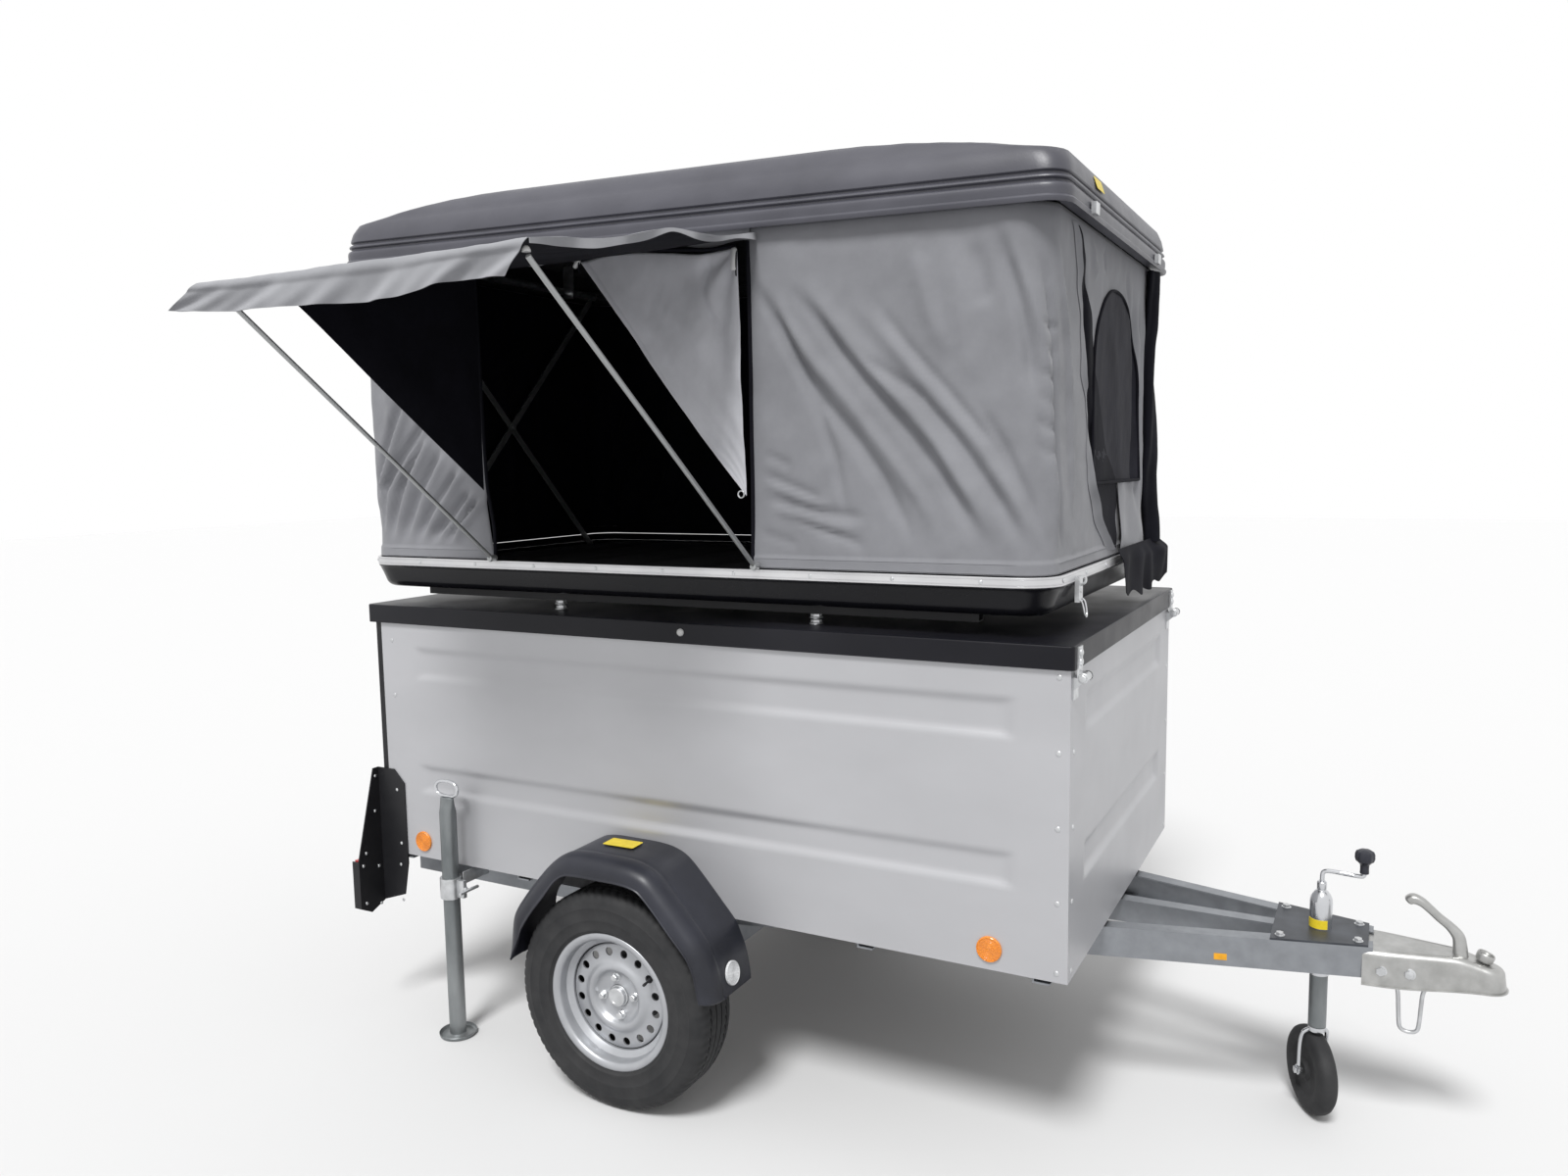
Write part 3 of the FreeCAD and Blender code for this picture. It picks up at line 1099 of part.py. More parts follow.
def tent_tray():
    """Hollow lower shell, narrower at its bottom, open at the top."""
    low_l, low_w = STRIP_HALF_L - TRAY_TAPER, STRIP_HALF_W - TRAY_TAPER
    low_r = STRIP_CORNER_R - 2 * TRAY_CORNER_STEP
    top_l, top_w, top_r = STRIP_HALF_L - TRAY_STEP, STRIP_HALF_W - TRAY_STEP, STRIP_CORNER_R - TRAY_STEP
    knee_l, knee_w, knee_r = low_l + TRAY_TAPER / 3, low_w + TRAY_TAPER / 3, STRIP_CORNER_R - TRAY_CORNER_STEP
    knee_z = TRAY_BOTTOM_Z + 0.35 * TRAY_H
    outer = rounded_loft(TENT_MID_X, [
        (low_l - TRAY_TAPER / 2, low_w - TRAY_TAPER / 2, low_r, TRAY_BOTTOM_Z),
        (knee_l, knee_w, knee_r, knee_z),
        (top_l, top_w, top_r, TRAY_TOP_Z)])
    inner = rounded_loft(TENT_MID_X, [
        (low_l - TRAY_TAPER / 2, low_w - TRAY_TAPER / 2, low_r, TRAY_BOTTOM_Z + TRAY_T),
        (knee_l - TRAY_T, knee_w - TRAY_T, knee_r - TRAY_T, knee_z + TRAY_STEP),
        (top_l - TRAY_T, top_w - TRAY_T, top_r - TRAY_T, TRAY_TOP_Z + NEAR)])
    return outer.cut(inner)


def base_strip():
    """Aluminium edge profile on the tray's rim that clamps the canvas."""
    outer = rounded_block(TENT_MID_X, STRIP_HALF_L, STRIP_HALF_W, STRIP_CORNER_R, TRAY_TOP_Z, STRIP_TOP_Z)
    inner = rounded_block(TENT_MID_X, STRIP_HALF_L - STRIP_T, STRIP_HALF_W - STRIP_T,
                          STRIP_CORNER_R - STRIP_T,
                          TRAY_TOP_Z - OVERRUN, STRIP_TOP_Z + OVERRUN)
    return outer.cut(inner)


def mattress():
    """Foam mattress that fills the tray."""
    inset = TRAY_TAPER * 1.5 + MATTRESS_GAP
    end_inset = TRAY_TAPER * 1.5 + MATTRESS_END_GAP
    return rounded_block(TENT_MID_X, STRIP_HALF_L - end_inset, STRIP_HALF_W - inset,
                         STRIP_CORNER_R - inset / 2,
                         TRAY_BOTTOM_Z + TRAY_T + FIT_GAP, TRAY_TOP_Z)


keep("tent_tray", tent_tray())
keep("base_strip", base_strip())
keep("mattress", mattress())

# Roof shell, drawn level and then tilted nose-down about its front edge
LIP_H = 62.0
LIP_DRAFT = 4.0
SHOULDER_H = 118.0
SHOULDER_IN = 26.0
BROW_H = 148.0
BROW_IN_L = 200.0
BROW_IN_W = 44.0
DECK_H = 178.0
DECK_IN_L = 560.0
DECK_IN_W = 80.0
CROWN_H = 190.0
CROWN_IN_L = 820.0
CROWN_IN_W = 270.0
GROOVE_H = 7.0
GROOVE_DEPTH = 4.0
GROOVE_CUT = 6.0
GROOVE_ZS = (44.0, 60.0)
FLANGE_RISE = 8.0
FLANGE_H = 12.0
FLANGE_END_GAP = 0.9
SCISSOR_W = 24.0
SCISSOR_T = 8.0
SCISSOR_END_GAP = 88.0
LIFT_RAIL_R = 12.0
LIFT_RAIL_SIDE_GAP = 108.0
LIFT_RAIL_HALF_L = STRIP_HALF_W - LIFT_RAIL_SIDE_GAP
LIFT_X = STRIP_HALF_L - SCISSOR_END_GAP + SCISSOR_T
ROOF_PIVOT_X = TENT_MID_X + LIFT_X
ROOF_REAR_RAIL_X = TENT_MID_X - LIFT_X
ROOF_PIVOT_Z = ROOF_LIP_FRONT_Z + LIP_H / 2
BRACKET_SIDE_GAP = 150.0
BRACKET_Y = LIFT_RAIL_HALF_L - BRACKET_SIDE_GAP
BRACKET_T = 6.0
BRACKET_W = 44.0


def roof_body(inset, base):
    """Filled form of the roof, shrunk by an inset and open downwards to a base height."""
    z0 = ROOF_LIP_FRONT_Z
    half_l, half_w, radius = ROOF_HALF_L - inset, ROOF_HALF_W - inset, ROOF_CORNER_R - inset
    return rounded_loft(TENT_MID_X, [
        (half_l, half_w, radius, base),
        (half_l - LIP_DRAFT, half_w - LIP_DRAFT, radius, z0 + LIP_H),
        (half_l - SHOULDER_IN, half_w - SHOULDER_IN, radius, z0 + SHOULDER_H - inset),
        (half_l - BROW_IN_L, half_w - BROW_IN_W, radius, z0 + BROW_H - inset),
        (half_l - DECK_IN_L, half_w - DECK_IN_W, radius, z0 + DECK_H - inset),
        (half_l - CROWN_IN_L, half_w - CROWN_IN_W, ROOF_CORNER_R, z0 + CROWN_H - inset)])


def roof_shell():
    """Hollow upper shell: an upright lip with two grooves, sloped shoulders and a crowned top panel."""
    z0 = ROOF_LIP_FRONT_Z
    shell = roof_body(0.0, z0).cut(roof_body(ROOF_T, z0))
    flange_z = z0 + FLANGE_RISE
    flange_out = rounded_block(TENT_MID_X, ROOF_HALF_L - ROOF_T / 2, ROOF_HALF_W - ROOF_T / 2,
                               ROOF_CORNER_R - ROOF_T / 2,
                               flange_z, flange_z + FLANGE_H)
    flange_in = rounded_block(TENT_MID_X, CANVAS_HALF_L + FLANGE_END_GAP, CANVAS_HALF_W + FIT_GAP,
                              CANVAS_CORNER_R,
                              z0, flange_z + FLANGE_H + OVERRUN)
    shell = shell.fuse(flange_out.cut(flange_in))
    for z in GROOVE_ZS:
        ring = rounded_block(TENT_MID_X, ROOF_HALF_L + OVERRUN, ROOF_HALF_W + OVERRUN, ROOF_CORNER_R, z0 + z,
                             z0 + z + GROOVE_H)
        core = rounded_block(TENT_MID_X, ROOF_HALF_L - GROOVE_CUT, ROOF_HALF_W - GROOVE_CUT,
                             ROOF_CORNER_R - GROOVE_DEPTH, z0 + z - OVERRUN, z0 + z + GROOVE_H + OVERRUN)
        shell = shell.cut(ring.cut(core))
    return shell


def tilted(shape):
    """Turn a roof piece nose-down about the roof's pivot, as the opened roof stands."""
    turned_roof = shape.copy()
    turned_roof.rotate(Vector(ROOF_PIVOT_X, 0, ROOF_PIVOT_Z), Vector(0, 1, 0), ROOF_TILT_DEG)
    return turned_roof


LATCH_SIDE_GAP = 208.0
LATCH_Y = STRIP_HALF_W - LATCH_SIDE_GAP
LATCH_W = 36.0
LATCH_H = 60.0
LATCH_T = 10.0
LATCH_SINK = 1.0
LATCH_HOOK_LIFT = 6.0
LATCH_HOOK_H = 26.0


def roof_latches():
    """Catches for the draw latches on the front face of the roof."""
    x = TENT_MID_X + ROOF_HALF_L
    low = ROOF_LIP_FRONT_Z + LATCH_HOOK_LIFT
    pieces = []
    for side in (-1, 1):
        y = side * LATCH_Y
        pieces.append(box(x - LATCH_SINK, x + LATCH_T, y - LATCH_W / 2, y + LATCH_W / 2, low,
                          low + LATCH_HOOK_H))
    return Part.makeCompound(pieces)


def tray_latches():
    """Draw latches on the front face of the tray."""
    x = TENT_MID_X + STRIP_HALF_L
    pieces = []
    for side in (-1, 1):
        y = side * LATCH_Y
        pieces.append(box(x, x + LATCH_T, y - LATCH_W / 2, y + LATCH_W / 2,
                          TRAY_TOP_Z - LATCH_H + STRIP_H / 2,
                          TRAY_TOP_Z + STRIP_H / 2))
    return Part.makeCompound(pieces)


def lift_rail():
    """Cross tube under the roof's front edge that the front pair of lifting arms carries."""
    return rod((ROOF_PIVOT_X, -LIFT_RAIL_HALF_L, ROOF_PIVOT_Z),
               (ROOF_PIVOT_X, LIFT_RAIL_HALF_L, ROOF_PIVOT_Z), LIFT_RAIL_R)


def roof_brackets():
    """Hangers under the roof: two around the front lift rail, two that hold the fixed rear rail."""
    inside = roof_body(ROOF_T, ROOF_LIP_FRONT_Z)
    top = ROOF_LIP_FRONT_Z + CROWN_H
    rear = rod((ROOF_REAR_RAIL_X, -LIFT_RAIL_HALF_L, ROOF_PIVOT_Z),
               (ROOF_REAR_RAIL_X, LIFT_RAIL_HALF_L, ROOF_PIVOT_Z),
               LIFT_RAIL_R)
    front_bore = rod((ROOF_PIVOT_X, -LIFT_RAIL_HALF_L, ROOF_PIVOT_Z),
                     (ROOF_PIVOT_X, LIFT_RAIL_HALF_L, ROOF_PIVOT_Z),
                     LIFT_RAIL_R + FIT_GAP)
    front, back = [], [rear]
    for side in (-1, 1):
        y0 = side * BRACKET_Y - BRACKET_T / 2
        for x, group in ((ROOF_PIVOT_X, front), (ROOF_REAR_RAIL_X, back)):
            hanger = box(x - BRACKET_W / 2, x + BRACKET_W / 2, y0, y0 + BRACKET_T,
                         ROOF_PIVOT_Z - BRACKET_W / 2, top)
            group.append(hanger.common(inside))
    return Part.makeCompound([piece.cut(front_bore) for piece in front] + [fused(back)])


keep("roof_shell", tilted(roof_shell().cut(roof_latches())))
keep("roof_brackets", tilted(roof_brackets()))
keep("roof_latches", tilted(roof_latches()))
keep("tray_latches", tray_latches())
keep("lift_rail", lift_rail())

# Canvas walls, cut to the tilted roof
DOOR_REAR_X = -515.0
DOOR_FRONT_X = 335.0
DOOR_TOP_Z = 2196.0
DOOR_LOW_R = 190.0
WINDOW_HALF_W = 260.0
WINDOW_LOW_Z = 1592.0
WINDOW_SPRING_Z = 1850.0
WINDOW_TOP_Z = 2072.0


def canvas_ring():
    """Closed canvas tube from the strip up into the roof's lip."""
    top = ROOF_LIP_FRONT_Z + 2 * LIP_H
    outer = rounded_block(TENT_MID_X, CANVAS_HALF_L, CANVAS_HALF_W, CANVAS_CORNER_R, STRIP_TOP_Z + FIT_GAP,
                          top)
    inner = rounded_block(TENT_MID_X, CANVAS_HALF_L - CANVAS_T, CANVAS_HALF_W - CANVAS_T,
                          CANVAS_CORNER_R - CANVAS_T,
                          STRIP_TOP_Z - OVERRUN, top + OVERRUN)
    ring = outer.cut(inner)
    cover = box(TENT_MID_X - 2 * ROOF_HALF_L, TENT_MID_X + 2 * ROOF_HALF_L, -ROOF_HALF_L, ROOF_HALF_L,
                ROOF_LIP_FRONT_Z + LIP_H / 3, top + ROOF_HALF_L)
    return ring.cut(tilted(cover))


def arched_window(inset, x0, x1):
    """Upright block in the YZ plane with a round-arched top, shrunk by an inset."""
    half, low, top = WINDOW_HALF_W - inset, WINDOW_LOW_Z + inset, WINDOW_TOP_Z - inset
    corners = [Vector(x0, -half, WINDOW_SPRING_Z), Vector(x0, -half, low), Vector(x0, half, low),
               Vector(x0, half, WINDOW_SPRING_Z)]
    straight = [Part.LineSegment(a, b).toShape() for a, b in zip(corners, corners[1:])]
    bow = Part.Arc(corners[3], Vector(x0, 0, top), corners[0]).toShape()
    return Part.Face(Part.Wire(straight + [bow])).extrude(Vector(x1 - x0, 0, 0))


def canvas_parts():
    """The tube split at its corners into four walls, with the doorway and both windows cut."""
    ring = canvas_ring()
    reach = 2 * ROOF_HALF_L
    corner_x = CANVAS_HALF_L - CANVAS_CORNER_R
    side = box(TENT_MID_X - reach, TENT_MID_X + reach, -reach, 0, 0, 2 * reach)
    ends = box(TENT_MID_X - corner_x, TENT_MID_X + corner_x, -reach, reach, 0, 2 * reach)
    right = ring.common(side.common(ends))
    left = mirrored(right)
    door = box(DOOR_REAR_X, DOOR_FRONT_X, -reach, 0, STRIP_TOP_Z - OVERRUN, DOOR_TOP_Z)
    low_rear = [e for e in door.Edges
                if all(abs(v.X - DOOR_REAR_X) < NEAR and v.Z < STRIP_TOP_Z for v in e.Vertexes)]
    door = door.makeFillet(DOOR_LOW_R / 2, low_rear)
    right = right.cut(door)
    front_half = box(TENT_MID_X + corner_x, TENT_MID_X + reach, -reach, reach, 0, 2 * reach)
    rear_half = box(TENT_MID_X - reach, TENT_MID_X - corner_x, -reach, reach, 0, 2 * reach)
    front_x = TENT_MID_X + CANVAS_HALF_L
    rear_x = TENT_MID_X - CANVAS_HALF_L
    front = ring.common(front_half).cut(arched_window(0, front_x - 2 * CANVAS_T, front_x + CANVAS_T))
    rear = ring.common(rear_half).cut(arched_window(0, rear_x - CANVAS_T, rear_x + 2 * CANVAS_T))
    return right, left, front, rear


def window_nets():
    """Black net panes in the two arched windows."""
    front_x = TENT_MID_X + CANVAS_HALF_L
    rear_x = TENT_MID_X - CANVAS_HALF_L
    panes = []
    for x0 in (front_x - CANVAS_T + FIT_GAP, rear_x + FIT_GAP):
        panes.append(arched_window(FIT_GAP, x0, x0 + CANVAS_T - 2 * FIT_GAP))
    return Part.makeCompound(panes)


right_wall, left_wall, front_canvas, rear_canvas = canvas_parts()
keep("canvas_right", right_wall)
keep("canvas_left", left_wall)
keep("canvas_ends", Part.makeCompound([front_canvas, rear_canvas]))
keep("window_nets", window_nets())

# Awning over the doorway, its rods, side gusset and the flap that hangs in the doorway
AWNING_REAR_X = -700.0
AWNING_FRONT_X = 362.0
AWNING_OUT_Y = 1405.0
AWNING_OUT_Z = 2058.0
AWNING_IN_Z = 2188.0
VALANCE_H = 62.0
ROD_R = 7.0
ROD_FRONT_X = 358.0
ROD_REAR_X = -500.0
ROD_REAR_TOP_X = -552.0
FLAP_T = 4.0
FLAP_L = 520.0
FLAP_HEM = 14.0
FLAP_TIP_W = 40.0
FLAP_TIP_DROP = 20.0


def awning():
    """Sheet from under the roof's lip out to the rods, with a short valance along its outer edge."""
    y_in = -(CANVAS_HALF_W + FIT_GAP)
    y_out = -AWNING_OUT_Y
    profile = [(0, y_in, AWNING_IN_Z), (0, y_out, AWNING_OUT_Z), (0, y_out, AWNING_OUT_Z - VALANCE_H),
               (0, y_out + CANVAS_T, AWNING_OUT_Z - VALANCE_H),
               (0, y_out + CANVAS_T, AWNING_OUT_Z - CANVAS_T),
               (0, y_in, AWNING_IN_Z - CANVAS_T)]
    sheet = plate(profile, (AWNING_FRONT_X - DOOR_REAR_X, 0, 0))
    sheet.translate(Vector(DOOR_REAR_X, 0, 0))
    wing = plate([(DOOR_REAR_X, y_in, AWNING_IN_Z), (AWNING_REAR_X, y_out, AWNING_OUT_Z),
                  (DOOR_REAR_X, y_out, AWNING_OUT_Z)], (0, 0, -CANVAS_T))
    return fused([sheet, wing])


def awning_rods():
    """Two slim telescopic rods from the edge strip to the awning's outer corners."""
    low_y = -(STRIP_HALF_W + 2 * ROD_R)
    low_z = STRIP_TOP_Z - STRIP_H / 2
    high_y = -(AWNING_OUT_Y - 3 * ROD_R)
    high_z = AWNING_OUT_Z - CANVAS_T - 2 * ROD_R
    pieces = []
    for low_x, high_x in ((ROD_FRONT_X, ROD_FRONT_X - 2 * ROD_R), (ROD_REAR_X, ROD_REAR_TOP_X)):
        bar = rod((low_x, low_y, low_z), (high_x, high_y, high_z), ROD_R)
        eye = rod((low_x, -STRIP_HALF_W, low_z), (low_x, low_y - ROD_R, low_z), ROD_R)
        pieces.append(bar.fuse(eye))
    return Part.makeCompound(pieces)


def awning_gusset():
    """Black triangular side curtain between the doorway's rear edge and the awning."""
    y_in = -(CANVAS_HALF_W + FIT_GAP)
    y_out = -0.87 * AWNING_OUT_Y
    slope = (AWNING_IN_Z - AWNING_OUT_Z) / (AWNING_OUT_Y - CANVAS_T + y_in)
    drop = CANVAS_T + FIT_GAP
    z_out = AWNING_IN_Z - slope * (-y_out + y_in) - drop
    return plate([(DOOR_REAR_X, y_in, AWNING_IN_Z - drop), (DOOR_REAR_X, y_out, z_out),
                  (DOOR_REAR_X, y_out, z_out - 4 * FLAP_T), (DOOR_REAR_X, y_in, WINDOW_LOW_Z)],
                  (FLAP_T, 0, 0))


def door_flap():
    """Loose grey corner of the door, hanging from the doorway's top in a triangle."""
    y = -(CANVAS_HALF_W - CANVAS_T - FIT_GAP)
    front = DOOR_FRONT_X
    return plate([(front, y, DOOR_TOP_Z), (front, y, WINDOW_LOW_Z - FLAP_TIP_DROP),
                  (front - FLAP_TIP_W, y, WINDOW_LOW_Z + FLAP_TIP_DROP),
                  (front - FLAP_L, y, DOOR_TOP_Z - FLAP_HEM),
                  (front - FLAP_L, y, DOOR_TOP_Z)], (0, FLAP_T, 0))


keep("awning", awning())
keep("awning_rods", awning_rods())
keep("awning_gusset", awning_gusset())
keep("door_flap", door_flap())


def lift_scissors(x, top_z):
    """A crossing pair of lifting arms across one end of the tent, standing on a bar on the tray floor."""
    floor_z = TRAY_BOTTOM_Z + TRAY_T
    low = floor_z + SCISSOR_W / 2
    half = LIFT_RAIL_HALF_L - SCISSOR_W
    run = Vector(0, 2 * half, top_z - low)
    up = Vector(0, -run.z, run.y).normalize() * (SCISSOR_W / 2)
    arms = []
    for sign, x0 in ((-1, x - SCISSOR_T), (1, x)):
        start = Vector(0, -half, low) - run * (SCISSOR_W / run.Length)
        end = Vector(0, half, top_z) + run * (SCISSOR_W / run.Length)
        corners = [start + up, end + up, end - up, start - up]
        arms.append(plate([(x0, sign * c.y, c.z) for c in corners], (SCISSOR_T, 0, 0)))
    between = box(x - 2 * SCISSOR_T, x + 2 * SCISSOR_T, -ROOF_HALF_W, ROOF_HALF_W, floor_z, top_z)
    bar = box(x - SCISSOR_T, x + SCISSOR_T, -half, half, floor_z, floor_z + SCISSOR_T)
    pin = rod((x - 2 * SCISSOR_T, 0, (low + top_z) / 2), (x + 2 * SCISSOR_T, 0, (low + top_z) / 2), SCISSOR_T)
    return fused([arm.common(between) for arm in arms] + [bar, pin])


rail_under_z = ROOF_PIVOT_Z - LIFT_RAIL_R - FIT_GAP
tilt_rise = math.sin(math.radians(ROOF_TILT_DEG)) * (ROOF_PIVOT_X - ROOF_REAR_RAIL_X)
keep("lift_scissors", Part.makeCompound([lift_scissors(ROOF_PIVOT_X, rail_under_z),
                                         lift_scissors(ROOF_REAR_RAIL_X, rail_under_z + tilt_rise)]))

os.makedirs("parts", exist_ok=True)
for node_name, node_shape in NODES.items():
    moved = node_shape.copy()
    moved.translate(Vector(-BALL_X, 0, -BALL_Z))
    moved.exportStep("parts/" + node_name + ".step")
    print(node_name, len(moved.Solids), moved.isValid(), round(moved.Volume))
print("nodes", len(NODES))
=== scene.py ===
import math
import bpy
import bmesh
from mathutils import Matrix, Vector, noise


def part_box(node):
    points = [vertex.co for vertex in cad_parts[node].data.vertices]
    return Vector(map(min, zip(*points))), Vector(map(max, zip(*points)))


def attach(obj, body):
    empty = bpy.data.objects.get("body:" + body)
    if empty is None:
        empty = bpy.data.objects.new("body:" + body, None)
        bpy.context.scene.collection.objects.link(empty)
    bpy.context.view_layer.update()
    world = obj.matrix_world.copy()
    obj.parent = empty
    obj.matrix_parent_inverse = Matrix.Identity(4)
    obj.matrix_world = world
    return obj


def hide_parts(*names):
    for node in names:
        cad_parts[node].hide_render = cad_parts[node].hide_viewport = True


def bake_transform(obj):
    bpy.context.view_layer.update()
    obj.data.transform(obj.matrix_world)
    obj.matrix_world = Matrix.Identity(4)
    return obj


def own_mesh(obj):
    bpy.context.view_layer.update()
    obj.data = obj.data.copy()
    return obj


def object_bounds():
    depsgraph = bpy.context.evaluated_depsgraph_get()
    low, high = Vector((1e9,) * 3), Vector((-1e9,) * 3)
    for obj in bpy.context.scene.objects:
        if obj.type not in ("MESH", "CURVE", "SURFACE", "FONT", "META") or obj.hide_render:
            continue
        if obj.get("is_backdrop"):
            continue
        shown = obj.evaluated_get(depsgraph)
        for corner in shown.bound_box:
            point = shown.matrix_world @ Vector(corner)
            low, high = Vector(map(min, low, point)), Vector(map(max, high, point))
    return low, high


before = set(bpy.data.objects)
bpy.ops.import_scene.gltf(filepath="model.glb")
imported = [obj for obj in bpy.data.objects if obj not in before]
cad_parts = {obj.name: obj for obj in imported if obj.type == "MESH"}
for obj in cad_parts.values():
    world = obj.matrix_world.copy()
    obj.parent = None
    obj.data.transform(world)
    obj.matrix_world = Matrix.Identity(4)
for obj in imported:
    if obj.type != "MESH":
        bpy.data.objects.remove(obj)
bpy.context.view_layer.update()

# The ground and the wheel axle. Every place below is measured forward of the axle and up from the ground,
# in metres: x from AXLE_X, z from GROUND_Z, and y from the trailer's middle, left positive.
TYRE_LOW, TYRE_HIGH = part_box("tyre_right")
AXLE_X = (TYRE_LOW[0] + TYRE_HIGH[0]) / 2
GROUND_Z = TYRE_LOW[2]


def at(x, y, z):
    """Point in the frame from its distance to the axle, the middle and the ground."""
    return Vector((AXLE_X + x, y, GROUND_Z + z))


# Camera. It stands at the right front quarter of the trailer, a little above the lid, with a wide lens.
CAMERA_PLACE = (1.725, -3.0223, 1.6541)
CAMERA_YAW = math.radians(28.06)
CAMERA_DIP = math.radians(6.23)
CAMERA_ROLL = math.radians(-0.92)
CAMERA_LENS_MM = 26.25
SENSOR_MM = 36.0

look = Vector((-math.sin(CAMERA_YAW) * math.cos(CAMERA_DIP), math.cos(CAMERA_YAW) * math.cos(CAMERA_DIP),
               -math.sin(CAMERA_DIP)))
level_right = Vector((math.cos(CAMERA_YAW), math.sin(CAMERA_YAW), 0))
level_up = level_right.cross(look)
camera_right = level_right * math.cos(CAMERA_ROLL) + level_up * math.sin(CAMERA_ROLL)
camera_up = level_up * math.cos(CAMERA_ROLL) - level_right * math.sin(CAMERA_ROLL)
camera = bpy.data.objects.new("camera", bpy.data.cameras.new("camera"))
camera.data.lens = CAMERA_LENS_MM
camera.data.sensor_width = SENSOR_MM
camera.matrix_world = Matrix.Translation(at(*CAMERA_PLACE)) @ Matrix(
    (camera_right, camera_up, -look)).transposed().to_4x4()
bpy.context.scene.collection.objects.link(camera)
bpy.context.scene.camera = camera

# Floor and light. A plain pale floor under a soft white sky, with a broad sun high at the right front. The
# floor throws less light back up than it shows, as the dark ground under the real trailer does.
FLOOR_SIZE = 60.0
FLOOR_COLOUR = (0.73, 0.73, 0.73, 1.0)
FLOOR_BOUNCE = (0.3, 0.3, 0.31, 1.0)
SKY_STRENGTH = 0.64
SUN_STRENGTH = 2.6
SUN_ANGLE = math.radians(16.0)
TO_SUN = Vector((0.11, -0.66, 1.00))


def seen_share(nodes, links):
    """1 where the camera, a reflection or a clear material looks, and 0 where light falls on something."""
    path = nodes.new("ShaderNodeLightPath")
    share = path.outputs["Is Camera Ray"]
    for ray in ("Is Glossy Ray", "Is Transmission Ray"):
        add = nodes.new("ShaderNodeMath")
        add.operation = "MAXIMUM"
        links.new(share, add.inputs[0])
        links.new(path.outputs[ray], add.inputs[1])
        share = add.outputs[0]
    return share


bpy.ops.object.select_all(action="DESELECT")
bpy.ops.mesh.primitive_plane_add(size=FLOOR_SIZE, location=(AXLE_X, 0, GROUND_Z))
floor = bpy.context.object
floor.name = "floor"
floor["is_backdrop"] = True
floor_paint = bpy.data.materials.new("floor")
floor_paint.use_nodes = True
floor_tree = floor_paint.node_tree
floor_shader = floor_tree.nodes["Principled BSDF"]
floor_shader.inputs["Roughness"].default_value = 0.9
floor_mix = floor_tree.nodes.new("ShaderNodeMix")
floor_mix.data_type = "RGBA"
floor_mix.inputs["A"].default_value = FLOOR_BOUNCE
floor_mix.inputs["B"].default_value = FLOOR_COLOUR
floor_tree.links.new(seen_share(floor_tree.nodes, floor_tree.links), floor_mix.inputs["Factor"])
floor_tree.links.new(floor_mix.outputs["Result"], floor_shader.inputs["Base Color"])
floor.data.materials.append(floor_paint)

sky = bpy.data.worlds.new("sky")
sky.use_nodes = True
bpy.context.scene.world = sky
sky_nodes, sky_links = sky.node_tree.nodes, sky.node_tree.links
sky_light = sky_nodes["Background"]
sky_light.inputs["Color"].default_value = (1, 1, 1, 1)
sky_light.inputs["Strength"].default_value = SKY_STRENGTH
sky_white = sky_nodes.new("ShaderNodeBackground")
sky_white.inputs["Color"].default_value = (1, 1, 1, 1)
sky_white.inputs["Strength"].default_value = 1.0
sky_mix = sky_nodes.new("ShaderNodeMixShader")
sky_links.new(seen_share(sky_nodes, sky_links), sky_mix.inputs[0])
sky_links.new(sky_light.outputs[0], sky_mix.inputs[1])
sky_links.new(sky_white.outputs[0], sky_mix.inputs[2])
sky_links.new(sky_mix.outputs[0], sky_nodes["World Output"].inputs["Surface"])

sun = bpy.data.objects.new("sun", bpy.data.lights.new("sun", "SUN"))
sun.data.energy = SUN_STRENGTH
sun.data.angle = SUN_ANGLE
sun.rotation_euler = TO_SUN.to_track_quat("Z", "Y").to_euler()
bpy.context.scene.collection.objects.link(sun)
bpy.context.scene.view_settings.view_transform = "Standard"

# Silver side walls. Each is one steel sheet, painted silver, with two long bands pressed into it for
# stiffness. Its top edge is folded inwards into a box section, and rivets hold its ends to the corners.
def pattern(made, kind, scale, detail=None, stretch=(1, 1, 1), uneven=None, wobble=None):
    """A texture on object coordinates. The scale is in repeats for each metre."""
    nodes, links = made.node_tree.nodes, made.node_tree.links
    place = nodes.new("ShaderNodeTexCoord")
    fit = nodes.new("ShaderNodeMapping")
    fit.inputs["Scale"].default_value = stretch
    texture = nodes.new("ShaderNodeTex" + kind)
    texture.inputs["Scale"].default_value = scale
    for socket, value in (("Detail", detail), ("Roughness", uneven), ("Distortion", wobble)):
        if value is not None:
            texture.inputs[socket].default_value = value
    links.new(place.outputs["Object"], fit.inputs["Vector"])
    links.new(fit.outputs["Vector"], texture.inputs["Vector"])
    return texture.outputs["Distance" if kind == "Voronoi" else "Fac"]


def colours(made, value, low, high):
    """Blend the shader's colour from low to high over the middle of a pattern's range."""
    nodes, links = made.node_tree.nodes, made.node_tree.links
    ramp = nodes.new("ShaderNodeValToRGB")
    for stop, place, colour in zip(ramp.color_ramp.elements, (0.3, 0.7), (low, high)):
        stop.position = place
        stop.color = (*colour, 1.0)
    links.new(value, ramp.inputs["Fac"])
    links.new(ramp.outputs["Color"], nodes["Principled BSDF"].inputs["Base Color"])


def sheen_spread(made, value, low, high):
    """Vary the roughness from low to high with a pattern."""
    nodes, links = made.node_tree.nodes, made.node_tree.links
    spread = nodes.new("ShaderNodeMapRange")
    spread.inputs["To Min"].default_value = low
    spread.inputs["To Max"].default_value = high
    links.new(value, spread.inputs["Value"])
    links.new(spread.outputs["Result"], nodes["Principled BSDF"].inputs["Roughness"])


